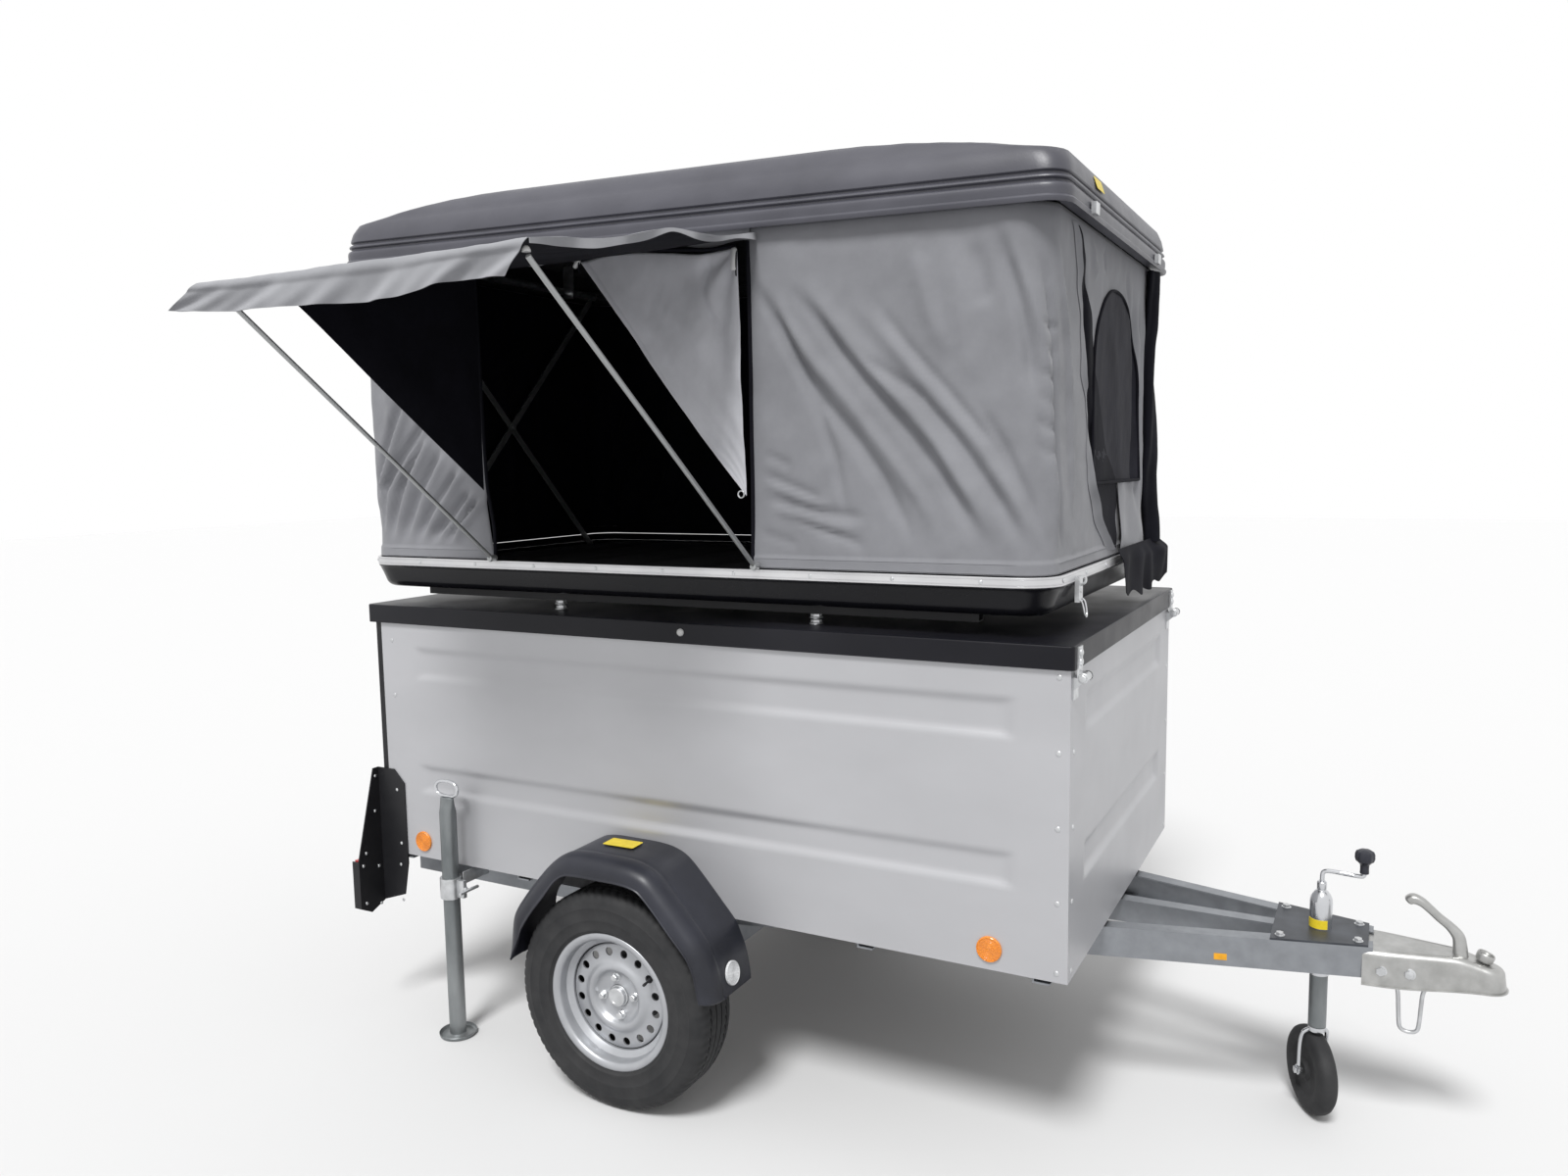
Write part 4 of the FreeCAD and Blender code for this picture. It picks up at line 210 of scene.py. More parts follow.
def relief(made, value, height, strength=1.0):
    """Raise the surface by a pattern, with its height in metres. A second call adds to the first."""
    nodes, links = made.node_tree.nodes, made.node_tree.links
    bump = nodes.new("ShaderNodeBump")
    bump.inputs["Distance"].default_value = height
    bump.inputs["Strength"].default_value = strength
    normal = nodes["Principled BSDF"].inputs["Normal"]
    if normal.is_linked:
        links.new(normal.links[0].from_socket, bump.inputs["Normal"])
    links.new(value, bump.inputs["Height"])
    links.new(bump.outputs["Normal"], normal)


def material(name, colour, roughness, metallic=0.0, tones=None, sheen=None, bumps=(), **sockets):
    """A new material. Tones hold a pattern and the share of the colour that it varies by, or two colours;
    sheen holds a pattern and two roughnesses; each bump holds a pattern, a height and maybe a strength."""
    made = bpy.data.materials.new(name)
    made.use_nodes = True
    shader = made.node_tree.nodes["Principled BSDF"]
    shader.inputs["Base Color"].default_value = (*colour, 1.0)
    shader.inputs["Roughness"].default_value = roughness
    shader.inputs["Metallic"].default_value = metallic
    for socket, value in sockets.items():
        shader.inputs[socket.replace("_", " ")].default_value = value
    if tones and len(tones) == 2:
        share = tones[1]
        tones = (tones[0], [c * (1 - share) for c in colour], [min(1.0, c * (1 + share)) for c in colour])
    if tones:
        colours(made, pattern(made, *tones[0]), *tones[1:])
    if sheen:
        sheen_spread(made, pattern(made, *sheen[0]), *sheen[1:])
    for bump in bumps:
        relief(made, pattern(made, *bump[0]), *bump[1:])
    return made


silver_paint = material("silver_paint", (0.53, 0.532, 0.55), 0.42, 0.35,
                        tones=(("Noise", 2.2, 6, (1, 1, 2)), 0.05), sheen=(("Noise", 9, 4), 0.34, 0.5),
                        bumps=[(("Noise", 1400, 2), 0.00004), (("Noise", 3.2, 1, (1, 1, 3)), 0.0016, 0.5)])

BAND_RANGES = ((1.036, 1.138), (0.694, 0.786))
BAND_REAR, BAND_FRONT = -0.8, 1.012
BAND_DEPTH = 0.0075
BAND_SLOPE = 0.025
SHEET_T = 0.003
WALL_FOLD = 0.028
END_BAND_HALF = 0.47


def select_by(test, mode="VERT"):
    """In edit mode, select the elements of the mesh that pass a test, and nothing else."""
    mesh = bmesh.from_edit_mesh(bpy.context.object.data)
    for elements in (mesh.verts, mesh.edges, mesh.faces):
        for element in elements:
            element.select = False
    bpy.context.tool_settings.mesh_select_mode = (mode == "VERT", mode == "EDGE", mode == "FACE")
    for element in {"VERT": mesh.verts, "EDGE": mesh.edges, "FACE": mesh.faces}[mode]:
        if test(element):
            element.select_set(True)
    mesh.select_flush_mode()
    bmesh.update_edit_mesh(bpy.context.object.data)


def pick(piece):
    """Select one object and make it the active one."""
    bpy.ops.object.select_all(action="DESELECT")
    piece.select_set(True)
    bpy.context.view_layer.objects.active = piece


def settle(piece, name, body, slot, *materials, smooth=30.0):
    """Name a finished piece, apply its place, shade it, and let it ride on its body."""
    pick(piece)
    bpy.ops.object.transform_apply(location=True, rotation=True, scale=True)
    piece.name = name
    piece.data.name = name
    if materials:
        piece.data.materials.clear()
        for made in materials:
            piece.data.materials.append(made)
    if smooth:
        bpy.ops.object.shade_smooth_by_angle(angle=math.radians(smooth))
    if body:
        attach(piece, body)
    return piece


def modifier(piece, kind, **settings):
    """Add a modifier and apply it."""
    pick(piece)
    added = piece.modifiers.new(kind.lower(), kind)
    for key, value in settings.items():
        setattr(added, key, value)
    bpy.ops.object.modifier_apply(modifier=added.name)


def join(pieces):
    """Several mesh objects made one."""
    pick(pieces[0])
    for piece in pieces[1:]:
        piece.select_set(True)
    bpy.ops.object.join()
    return pieces[0]


def copy_of(piece, move=(0, 0, 0), turn=None):
    """A copy with its own mesh, turned about the frame's origin and moved."""
    twin = piece.copy()
    twin.data = piece.data.copy()
    bpy.context.scene.collection.objects.link(twin)
    if turn:
        twin.data.transform(turn)
    twin.data.transform(Matrix.Translation(move))
    return twin


def mirrored(piece):
    """A copy on the other side of the trailer, its faces turned to point out again."""
    twin = copy_of(piece, turn=Matrix.Diagonal((1, -1, 1, 1)))
    twin.data.flip_normals()
    return twin


def put(piece, place, turn=Matrix.Identity(4)):
    """Turn a piece about the frame's origin and move it."""
    piece.data.transform(Matrix.Translation(place) @ turn)
    return piece


def scrap(piece):
    """Remove a pattern piece after it was copied."""
    bpy.data.objects.remove(piece, do_unlink=True)


def cube(size, place=(0, 0, 0)):
    """Block of a given size about a place."""
    bpy.ops.object.select_all(action="DESELECT")
    bpy.ops.mesh.primitive_cube_add(size=1, location=place)
    block = bpy.context.object
    block.scale = size
    bpy.ops.object.transform_apply(location=True, rotation=True, scale=True)
    return block


def ease(value):
    """Smooth step from 0 to 1."""
    value = max(0.0, min(1.0, value))
    return value * value * (3 - 2 * value)


def pressed(along, up, low, high):
    """Depth of the pressed bands at a point of the sheet, as a share."""
    depth = 0.0
    for z0, z1 in BAND_RANGES:
        inside = min(up - z0, z1 - up, (along - low) * 0.7, (high - along) * 0.7)
        depth = max(depth, ease(inside / BAND_SLOPE))
    return depth


def pressed_sheet(start, end, band_low, band_high, low_z, high_z):
    """Upright sheet in the XZ plane, facing -Y, with the bands pressed in and its top edge folded back."""
    bpy.ops.object.select_all(action="DESELECT")
    length, height = end - start, high_z - low_z
    bpy.ops.mesh.primitive_grid_add(x_subdivisions=int(length / 0.012), y_subdivisions=int(height / 0.0065),
                                    size=1, rotation=(math.pi / 2, 0, 0))
    sheet = bpy.context.object
    sheet.scale = (length, height, 1)
    sheet.location = ((start + end) / 2, 0, (low_z + high_z) / 2)
    bpy.ops.object.transform_apply(location=True, rotation=True, scale=True)
    for vertex in sheet.data.vertices:
        vertex.co.y = BAND_DEPTH * pressed(vertex.co.x, vertex.co.z, band_low, band_high)
    bpy.ops.object.mode_set(mode="EDIT")
    top = max(v.co.z for v in sheet.data.vertices)
    select_by(lambda e: all(v.co.z > top - 0.001 for v in e.verts), "EDGE")
    bpy.ops.mesh.extrude_region_move(TRANSFORM_OT_translate={"value": (0, WALL_FOLD, 0)})
    bpy.ops.mesh.extrude_region_move(TRANSFORM_OT_translate={"value": (0, 0, -WALL_FOLD)})
    bpy.ops.object.mode_set(mode="OBJECT")
    modifier(sheet, "SOLIDIFY", thickness=SHEET_T, offset=-1.0)
    return sheet


wall_low, wall_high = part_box("side_wall_right")
BOX_HALF_W = -wall_low[1]
wall_z = (wall_low[2] - GROUND_Z, wall_high[2] - GROUND_Z)
wall_right = pressed_sheet(wall_low[0] - AXLE_X, wall_high[0] - AXLE_X, BAND_REAR, BAND_FRONT, *wall_z)
put(wall_right, at(0, wall_low[1], 0))
for wall, side in ((wall_right, "right"), (mirrored(wall_right), "left")):
    settle(wall, "side_panel_" + side, "chassis", "silver_sheet", silver_paint, smooth=40)
    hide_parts("side_wall_" + side)

# Front wall, pressed from the same sheet as the sides with shorter bands; the tailgate only gets the paint.
front_low, front_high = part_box("front_wall")
front_panel = pressed_sheet(front_low[1], front_high[1], -END_BAND_HALF, END_BAND_HALF, *wall_z)
put(front_panel, at(front_high[0] - AXLE_X, 0, 0), Matrix.Rotation(math.pi / 2, 4, "Z"))
settle(front_panel, "front_panel", "chassis", "silver_sheet", silver_paint, smooth=40)
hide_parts("front_wall")

# Rivets along the edges of the walls, where the sheets meet the corner flanges.
RIVET_R = 0.0065
RIVET_H = 0.0026
FRONT_RIVET_X = 1.105
REAR_RIVET_X = -0.885
RIVET_ZS = (1.186, 1.018, 0.849, 0.68, 0.52)
REAR_RIVET_ZS = (1.15, 0.985, 0.6)
FRONT_RIVET_YS = (-0.575, 0.575)


def dome(radius, height, segments=16, rings=10):
    """Low round head that stands on the XY plane."""
    bpy.ops.object.select_all(action="DESELECT")
    bpy.ops.mesh.primitive_uv_sphere_add(radius=radius, segments=segments, ring_count=rings)
    head = bpy.context.object
    bpy.ops.object.mode_set(mode="EDIT")
    bpy.ops.mesh.select_all(action="SELECT")
    bpy.ops.mesh.bisect(plane_co=(0, 0, -radius * 0.02), plane_no=(0, 0, 1), clear_inner=True, use_fill=True)
    bpy.ops.object.mode_set(mode="OBJECT")
    head.data.transform(Matrix.Diagonal((1, 1, height / radius, 1)))
    return head


TO_RIGHT = Matrix.Rotation(math.pi / 2, 4, "X")
TO_LEFT = Matrix.Rotation(-math.pi / 2, 4, "X")
TO_FRONT = Matrix.Rotation(math.pi / 2, 4, "Y")
TO_REAR = Matrix.Rotation(-math.pi / 2, 4, "Y")
SIDES = ((-1, TO_RIGHT), (1, TO_LEFT))

zinc_plate = material("zinc_plate", (0.6, 0.61, 0.62), 0.32, 0.85, tones=(("Noise", 40, 3), 0.14),
                      sheen=(("Noise", 90, 3), 0.22, 0.45), bumps=[(("Noise", 700), 0.00003)])

rivet = dome(RIVET_R, RIVET_H)
rivets = []
for side, turn in SIDES:
    for x, heights in ((FRONT_RIVET_X, RIVET_ZS), (REAR_RIVET_X, REAR_RIVET_ZS)):
        rivets += [copy_of(rivet, at(x, side * BOX_HALF_W, z), turn) for z in heights]
for z in RIVET_ZS:
    for y in FRONT_RIVET_YS:
        rivets.append(copy_of(rivet, at(front_high[0] - AXLE_X, y, z), TO_FRONT))
settle(join(rivets), "wall_rivets", "chassis", "zinc_hardware", zinc_plate)
scrap(rivet)

# Rear portal, floor and the plain steel of the chassis. Their shape comes from the frame, and they only
# get their finish here: black paint, plywood, and hot-dip zinc with an uneven tone.
black_paint = material("black_paint", (0.012, 0.012, 0.014), 0.38, Specular_IOR_Level=0.25,
                       tones=(("Noise", 5, 6), (0.009, 0.009, 0.011), (0.022, 0.022, 0.024)),
                       sheen=(("Noise", 12, 5), 0.3, 0.5), bumps=[(("Noise", 900), 0.00005)])

plywood = material("plywood", (0.1, 0.065, 0.045), 0.55, tones=(("Noise", 6, 8, (1, 14, 1)), 0.35),
                   bumps=[(("Voronoi", 220), 0.0003)])

galvanised = material("galvanised", (0.285, 0.298, 0.318), 0.42, 0.7, tones=(("Noise", 28, 6), 0.09),
                      sheen=(("Noise", 30, 5), 0.32, 0.6), bumps=[(("Noise", 260, 3), 0.00012)])

cast_steel = material("cast_steel", (0.18, 0.18, 0.19), 0.6, 0.4, tones=(("Noise", 50, 5), 0.25),
                      bumps=[(("Noise", 500, 4), 0.0003)])

dark_plate = material("dark_plate", (0.05, 0.055, 0.065), 0.42, 0.4, tones=(("Noise", 18, 5), 0.3),
                      bumps=[(("Noise", 600), 0.00008)])


def dress(made, *names):
    """Give nodes of the frame their material."""
    for name in names:
        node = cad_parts[name]
        node.data.materials.clear()
        node.data.materials.append(made)


dress(silver_paint, "tailgate")
dress(black_paint, "rear_frame", "tent_rails", "lamp_carriers")
dress(plywood, "floor_panel")
dress(galvanised, "floor_frame", "drawbar_beams", "drawbar_beam_centre", "axle_tube")
dress(cast_steel, "swing_arms")
dress(dark_plate, "drawbar_plate")
dress(zinc_plate, "tailgate_latches", "lid_hinge_straps", "lid_hinge_brackets", "tent_studs", "prop_clamps",
      "tray_latches", "roof_latches", "roof_brackets", "lift_rail")

# Lid. A flat steel sheet with its edges turned down, coated black, that overhangs the box all round.
# A white knob shows on its right skirt.
LID_EDGE_R = 0.004
LID_SHEET = 0.003
LID_CORNER_R = 0.012
lid_coat = material("lid_coat", (0.01, 0.01, 0.013), 0.36, Specular_IOR_Level=0.22,
                    tones=(("Noise", 3, 8), (0.005, 0.005, 0.008), (0.014, 0.014, 0.018)),
                    sheen=(("Noise", 7, 6), 0.26, 0.5), bumps=[(("Noise", 650, 2), 0.00006)])

lid_low, lid_high = (Vector(corner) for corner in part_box("lid_panel"))
lid = cube(lid_high - lid_low, (lid_low + lid_high) / 2)
bpy.ops.object.mode_set(mode="EDIT")
select_by(lambda e: abs(e.verts[0].co.z - e.verts[1].co.z) > 0.01, "EDGE")
bpy.ops.mesh.bevel(offset=LID_CORNER_R, segments=5)
select_by(lambda e: all(v.co.z > lid_high.z - 0.001 for v in e.verts), "EDGE")
bpy.ops.mesh.bevel(offset=LID_EDGE_R, segments=4)
select_by(lambda f: f.normal.z < -0.9, "FACE")
bpy.ops.mesh.delete(type="FACE")
bpy.ops.object.mode_set(mode="OBJECT")
modifier(lid, "SOLIDIFY", thickness=LID_SHEET, offset=-1.0)
settle(lid, "lid_sheet", "lid", "black_lid", lid_coat)
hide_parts("lid_panel")

KNOB_X, KNOB_Z = 0.142, 1.232
white_cap = material("white_cap", (0.75, 0.75, 0.74), 0.35, bumps=[(("Noise", 300), 0.0001)])
knob = put(dome(0.01, 0.009), at(KNOB_X, lid_low.y, KNOB_Z), TO_RIGHT)
settle(knob, "lid_knob", "lid", "rim_silver", white_cap)

# Stiffening channels under the lid, bonded to the sheet.
CHANNEL_Y = 0.26
CHANNEL_W = 0.06
CHANNEL_H = 0.024
CHANNEL_L = 1.726
CHANNEL_TOP = 1.252
channels = []
for side in (-1, 1):
    channel = cube((CHANNEL_L, CHANNEL_W, CHANNEL_H),
                   at(0.027, side * CHANNEL_Y, CHANNEL_TOP - CHANNEL_H / 2))
    bpy.ops.object.mode_set(mode="EDIT")
    select_by(lambda e: (all(v.co.z < GROUND_Z + CHANNEL_TOP - 0.022 for v in e.verts)
                         and abs(e.verts[0].co.x - e.verts[1].co.x) > 1), "EDGE")
    bpy.ops.mesh.bevel(offset=0.006, segments=3)
    bpy.ops.object.mode_set(mode="OBJECT")
    channels.append(channel)
settle(join(channels), "lid_channels", "lid", "black_lid", lid_coat)

# Tyres. Moulded rubber with four grooves round the tread, short cuts across its shoulders, and a raised
# ring on each side wall. The wheel is drawn lying down, its axis along Z and its outer face up.
TYRE_R = 0.289
TYRE_BEAD_R = 0.1655
RIM_EDGE_R = 0.1815
WHEEL_CELLS = 288
WHEEL_Y = (TYRE_LOW[1] + TYRE_HIGH[1]) / 2
TREAD_GROOVES = (-0.036, -0.012, 0.012, 0.036)
TREAD_GROOVE_W = 0.0045
TREAD_GROOVE_D = 0.0065
SHOULDER_CUT_D = 0.003
CUTS = 72


def lathe(profile, cells):
    """Ring drawn by a profile of radius and height that is pushed round Z, one loop after another."""
    bpy.ops.object.select_all(action="DESELECT")
    radius, height = profile[0]
    bpy.ops.mesh.primitive_circle_add(vertices=cells, radius=radius, location=(0, 0, height))
    ring = bpy.context.object
    bpy.ops.object.transform_apply(location=True)
    bpy.ops.object.mode_set(mode="EDIT")
    bpy.context.tool_settings.mesh_select_mode = (False, True, False)
    bpy.ops.mesh.select_all(action="SELECT")
    for (old_r, old_h), (new_r, new_h) in zip(profile, profile[1:]):
        bpy.ops.mesh.extrude_region_move(TRANSFORM_OT_translate={"value": (0, 0, new_h - old_h)})
        grow = new_r / old_r
        bpy.ops.transform.resize(value=(grow, grow, 1), center_override=(0, 0, 0))
    bpy.ops.mesh.select_all(action="SELECT")
    bpy.ops.mesh.remove_doubles(threshold=0.00002)
    bpy.ops.mesh.normals_make_consistent(inside=False)
    bpy.ops.object.mode_set(mode="OBJECT")
    return ring


def round_run(centre, radius, start, end, steps):
    """Points of an arc in the profile's plane, its angles in degrees."""
    turns = [math.radians(start + (end - start) * i / steps) for i in range(steps + 1)]
    return [(centre[0] + radius * math.cos(a), centre[1] + radius * math.sin(a)) for a in turns]


def tread_line():
    """The tread from one shoulder to the other, dropping into each groove."""
    line = []
    for middle in TREAD_GROOVES:
        half = TREAD_GROOVE_W / 2
        line += [(TYRE_R, middle - half), (TYRE_R - TREAD_GROOVE_D, middle - half * 0.6),
                 (TYRE_R - TREAD_GROOVE_D, middle + half * 0.6), (TYRE_R, middle + half)]
    return line


side_wall_run = [(TYRE_BEAD_R, 0.06), (0.172, 0.0655), (RIM_EDGE_R, 0.0675), (0.189, 0.0715),
                 (0.1905, 0.0735),
                 (0.1945, 0.0742), (0.196, 0.0738), (0.208, 0.0762), (0.216, 0.0775), (0.2175, 0.0783),
                 (0.2195, 0.0785), (0.221, 0.0779), (0.236, 0.0778), (0.248, 0.0768), (0.2495, 0.0774),
                 (0.251, 0.0764), (0.262, 0.0742), (0.27, 0.0712), (0.277, 0.0672), (0.2825, 0.0615),
                 (0.286, 0.0555), (0.2878, 0.049), (TYRE_R, 0.043)]
tyre_run = side_wall_run + list(reversed(tread_line())) + [(r, -h) for r, h in reversed(side_wall_run)]
tyre_run += [(TYRE_BEAD_R + 0.002, -0.05), (0.215, -0.066), (0.255, -0.062), (0.268, -0.045), (0.268, 0.045),
             (0.255, 0.062), (0.215, 0.066), (TYRE_BEAD_R + 0.002, 0.05), (TYRE_BEAD_R, 0.06)]
tyre = lathe(tyre_run, WHEEL_CELLS)
for vertex in tyre.data.vertices:
    reach = math.hypot(vertex.co.x, vertex.co.y)
    cell = int(round(math.atan2(vertex.co.y, vertex.co.x) / (2 * math.pi) * WHEEL_CELLS)) % WHEEL_CELLS
    lean = int(abs(vertex.co.z) * 100)
    if reach > 0.2765 and 0.03 < abs(vertex.co.z) < 0.069 and (cell + lean) % (WHEEL_CELLS // CUTS) == 0:
        shrink = 1 - SHOULDER_CUT_D / reach
        vertex.co.x *= shrink
        vertex.co.y *= shrink

tyre_rubber = material("tyre_rubber", (0.016, 0.0165, 0.018), 0.72,
                       tones=(("Noise", 14, 6), (0.011, 0.0115, 0.013), (0.03, 0.03, 0.031)),
                       sheen=(("Noise", 40, 4), 0.6, 0.85), bumps=[(("Noise", 900, 3), 0.00015)])


WHEEL_SIDES = ((-1, "right"), (1, "left"))


def on_wheels(piece, name, slot, *made, node=None, smooth=30.0):
    """Stand a copy of a wheel piece up on each wheel's axle, its outer face away from the box."""
    for side, side_name in WHEEL_SIDES:
        twin = copy_of(piece, at(0, side * -WHEEL_Y, TYRE_R), TO_LEFT if side > 0 else TO_RIGHT)
        settle(twin, name + side_name, "wheel_" + side_name, slot, *made, smooth=smooth)
        if node:
            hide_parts(node + side_name)
    scrap(piece)


on_wheels(tyre, "tyre_with_tread_", "tyre_rubber", tyre_rubber, node="tyre_", smooth=28)

# Rims. Pressed steel painted silver: a drop-centre barrel with rolled edges, and a dished disc welded in it
# that is pierced by a ring of oval vents and drawn forward round the bolts.
RIM_VENTS = 16
VENT_RING_R = 0.1195
VENT_HALF_L = 0.0112
VENT_HALF_W = 0.0108
RIM_CELLS = 144

barrel_run = [(0.1635, 0.0612), (0.166, 0.0615), (0.1695, 0.063)]
barrel_run += round_run((0.1785, 0.0665), 0.0035, -60, 75, 5)
barrel_run += [
    (0.1755, 0.0712), (0.169, 0.07), (0.163, 0.0655), (0.1608, 0.061), (0.1595, 0.048), (0.158, 0.04),
    (0.15, 0.0345), (0.1435, 0.029), (0.142, 0.023), (0.142, -0.023), (0.144, -0.029), (0.158, -0.04),
    (0.16, -0.06), (0.169, -0.0655), (0.18, -0.0665), (0.1815, -0.064), (0.17, -0.061), (0.164, -0.056),
    (0.162, -0.042), (0.15, -0.033), (0.1455, -0.023), (0.1455, 0.023), (0.148, 0.03), (0.16, 0.0385),
    (0.1635, 0.048), (0.1635, 0.0612)]
barrel = lathe(barrel_run, RIM_CELLS)

disc_face = [
    (0.0285, 0.0215), (0.03, 0.0228), (0.052, 0.023), (0.059, 0.0236), (0.064, 0.0262), (0.068, 0.0312),
    (0.071, 0.0358), (0.0745, 0.0388), (0.079, 0.04), (0.084, 0.0392), (0.089, 0.0364), (0.094, 0.0328),
    (0.099, 0.0306), (0.105, 0.0298), (0.12, 0.0292), (0.134, 0.0284), (0.1385, 0.0258), (0.1412, 0.02),
    (0.142, 0.01), (0.142, 0.001)]
disc_back = [(r - 0.0015, h - 0.0045) for r, h in reversed(disc_face)]
disc = lathe(disc_face + disc_back + disc_face[:1], RIM_CELLS)
vents = []
for index in range(RIM_VENTS):
    bpy.ops.object.select_all(action="DESELECT")
    bpy.ops.mesh.primitive_cylinder_add(vertices=24, radius=1, depth=0.06)
    vent = bpy.context.object
    vent.scale = (VENT_HALF_L, VENT_HALF_W, 1)
    bpy.ops.object.transform_apply(location=True, rotation=True, scale=True)
    angle = 2 * math.pi * (index + 0.5) / RIM_VENTS
    vent.data.transform(Matrix.Rotation(angle, 4, "Z") @ Matrix.Translation((VENT_RING_R, 0, 0.03)))
    vents.append(vent)
cutter = join(vents)
modifier(disc, "BOOLEAN", operation="DIFFERENCE", object=cutter, solver="EXACT")
scrap(cutter)
rim = join([barrel, disc])

rim_paint = material("rim_silver", (0.44, 0.45, 0.47), 0.34, 0.55, tones=(("Noise", 12, 5), 0.1),
                     sheen=(("Noise", 30, 4), 0.26, 0.45), bumps=[(("Noise", 1100, 2), 0.00004)])
# Painted shade: the back of the disc and the inside of the barrel get a near-black material, so that the
# vents and the hollow of the rim look dark as they do in shade.
rim_inside_painted_shade = material("rim_inside_painted_shade", (0.012, 0.012, 0.013), 0.8, Specular_IOR_Level=0.2,
                      bumps=[(("Noise", 500, 2), 0.0001)])
rim.data.materials.append(rim_paint)
rim.data.materials.append(rim_inside_painted_shade)
for face in rim.data.polygons:
    reach = math.hypot(face.center.x, face.center.y)
    if face.center.z < 0.018 or (reach < 0.1425 and face.normal.z < -0.3):
        face.material_index = 1
on_wheels(rim, "pierced_rim_", "rim_silver", node="rim_")

# Hubs. A cast brake drum behind the disc, a pressed grease cap in the middle and four zinc wheel bolts,
# each a hexagon head on a round collar.
BOLT_RING_R = 0.05
BOLT_TURN = math.radians(8.0)
VALVE_R = 0.112


def hex_bolt(flats, height, collar=1.28):
    """Hexagon head with rounded corners on a round collar, standing on the XY plane."""
    across = flats / math.sqrt(3)
    bpy.ops.object.select_all(action="DESELECT")
    bpy.ops.mesh.primitive_cylinder_add(vertices=6, radius=across, depth=height, location=(0, 0, height / 2))
    head = bpy.context.object
    bpy.ops.object.transform_apply(location=True)
    bpy.ops.object.mode_set(mode="EDIT")
    select_by(lambda e: all(v.co.z > height - 0.0001 for v in e.verts), "EDGE")
    bpy.ops.mesh.bevel(offset=height * 0.18, segments=3)
    bpy.ops.object.mode_set(mode="OBJECT")
    ring = lathe([(across * collar, 0.0), (across * collar, height * 0.16),
                  (across * collar * 0.9, height * 0.26), (across * 0.5, height * 0.27)], 24)
    return join([head, ring])


drum = lathe([
    (0.017, -0.118), (0.093, -0.118), (0.095, -0.112), (0.095, -0.03), (0.093, -0.016), (0.086, -0.009),
    (0.066, 0.014), (0.06, 0.0178), (0.017, 0.0178), (0.017, -0.118)], 64)
cap_run = [(0.0282, 0.016), (0.0282, 0.0255), (0.0275, 0.0262), (0.0262, 0.0268), (0.0258, 0.0275),
           (0.0256, 0.033)]
cap_run += round_run((0.0216, 0.034), 0.004, 0, 90, 5)
cap_run += [(0.017, 0.0384), (0.0162, 0.0376), (0.013, 0.0374), (0.006, 0.0372), (0.0005, 0.0371)]
cap = lathe(cap_run, 48)
hub_bolt = hex_bolt(0.017, 0.014)
hub_parts = [cap]
for index in range(4):
    angle = BOLT_TURN + index * math.pi / 2
    hub_parts.append(copy_of(hub_bolt, (BOLT_RING_R * math.cos(angle), BOLT_RING_R * math.sin(angle),
                                        0.0228)))
scrap(hub_bolt)
hub_face = join(hub_parts)
valve = lathe([
    (0.0005, 0.07), (0.0034, 0.07), (0.0038, 0.069), (0.0038, 0.058), (0.003, 0.056), (0.003, 0.048),
    (0.0052, 0.044), (0.0056, 0.03), (0.006, 0.026)], 16)
put(valve, (VALVE_R * 0.93, VALVE_R * 0.62, 0), Matrix.Rotation(0.1, 4, "Y"))
valve_rubber = material("valve_rubber", (0.02, 0.02, 0.022), 0.55, bumps=[(("Noise", 500), 0.0001)])
on_wheels(hub_face, "hub_cap_and_bolts_", "zinc_hardware", zinc_plate, node="hub_")
on_wheels(drum, "brake_drum_", "cast_steel", cast_steel)
on_wheels(valve, "valve_", "tyre_rubber", valve_rubber)

# Wheel covers. Each is one black plastic moulding over the wheel: a flat top with a soft crease along it,
# a rolled skirt on the outer side, and a front end that widens around a white reflector.
FENDER_IN_Y = 0.606
FENDER_OUT_Y = 0.805
FENDER_T = 0.004
FENDER_LINE = (
    (-0.303, 0.356), (-0.308, 0.4), (-0.307, 0.434), (-0.296, 0.481), (-0.262, 0.53), (-0.217, 0.583),
    (-0.169, 0.632), (-0.125, 0.66), (-0.08, 0.669), (-0.016, 0.67), (0.056, 0.669), (0.104, 0.662),
    (0.144, 0.644), (0.187, 0.603), (0.24, 0.545), (0.282, 0.497), (0.299, 0.463), (0.3115, 0.431),
    (0.3192, 0.395), (0.3235, 0.365), (0.324, 0.351))
SKIRT_LINE = (
    0.006, 0.032, 0.043, 0.052, 0.052, 0.052, 0.047, 0.048, 0.05, 0.05, 0.049, 0.047, 0.044, 0.042, 0.042,
    0.04, 0.036, 0.036, 0.036, 0.034, 0.03)
FENDER_CELLS = 140


def smooth_line(points, share):
    """Point of a curve through a list of points, at a share of its run."""
    place = share * (len(points) - 1)
    index = min(int(place), len(points) - 2)
    t = place - index
    p0, p1, p2, p3 = [Vector(points[max(0, min(len(points) - 1, index + k))]) for k in (-1, 0, 1, 2)]
    return 0.5 * (2 * p1 + (p2 - p0) * t + (2 * p0 - 5 * p1 + 4 * p2 - p3) * t * t
                  + (3 * p1 - p0 - 3 * p2 + p3) * t * t * t)


def smooth_value(values, share):
    """Value of a curve through a list of numbers, at a share of its run."""
    return smooth_line([(value, 0) for value in values], share).x


def outward():
    """Turn the faces of the active mesh outwards."""
    bpy.ops.object.mode_set(mode="EDIT")
    bpy.ops.mesh.select_all(action="SELECT")
    bpy.ops.mesh.normals_make_consistent(inside=False)
    bpy.ops.object.mode_set(mode="OBJECT")


def fill_end(test):
    """Close an open end of the active mesh with a face and turn all its faces outwards."""
    bpy.ops.object.mode_set(mode="EDIT")
    select_by(test, "EDGE")
    bpy.ops.mesh.edge_face_add()
    bpy.ops.object.mode_set(mode="OBJECT")
    outward()


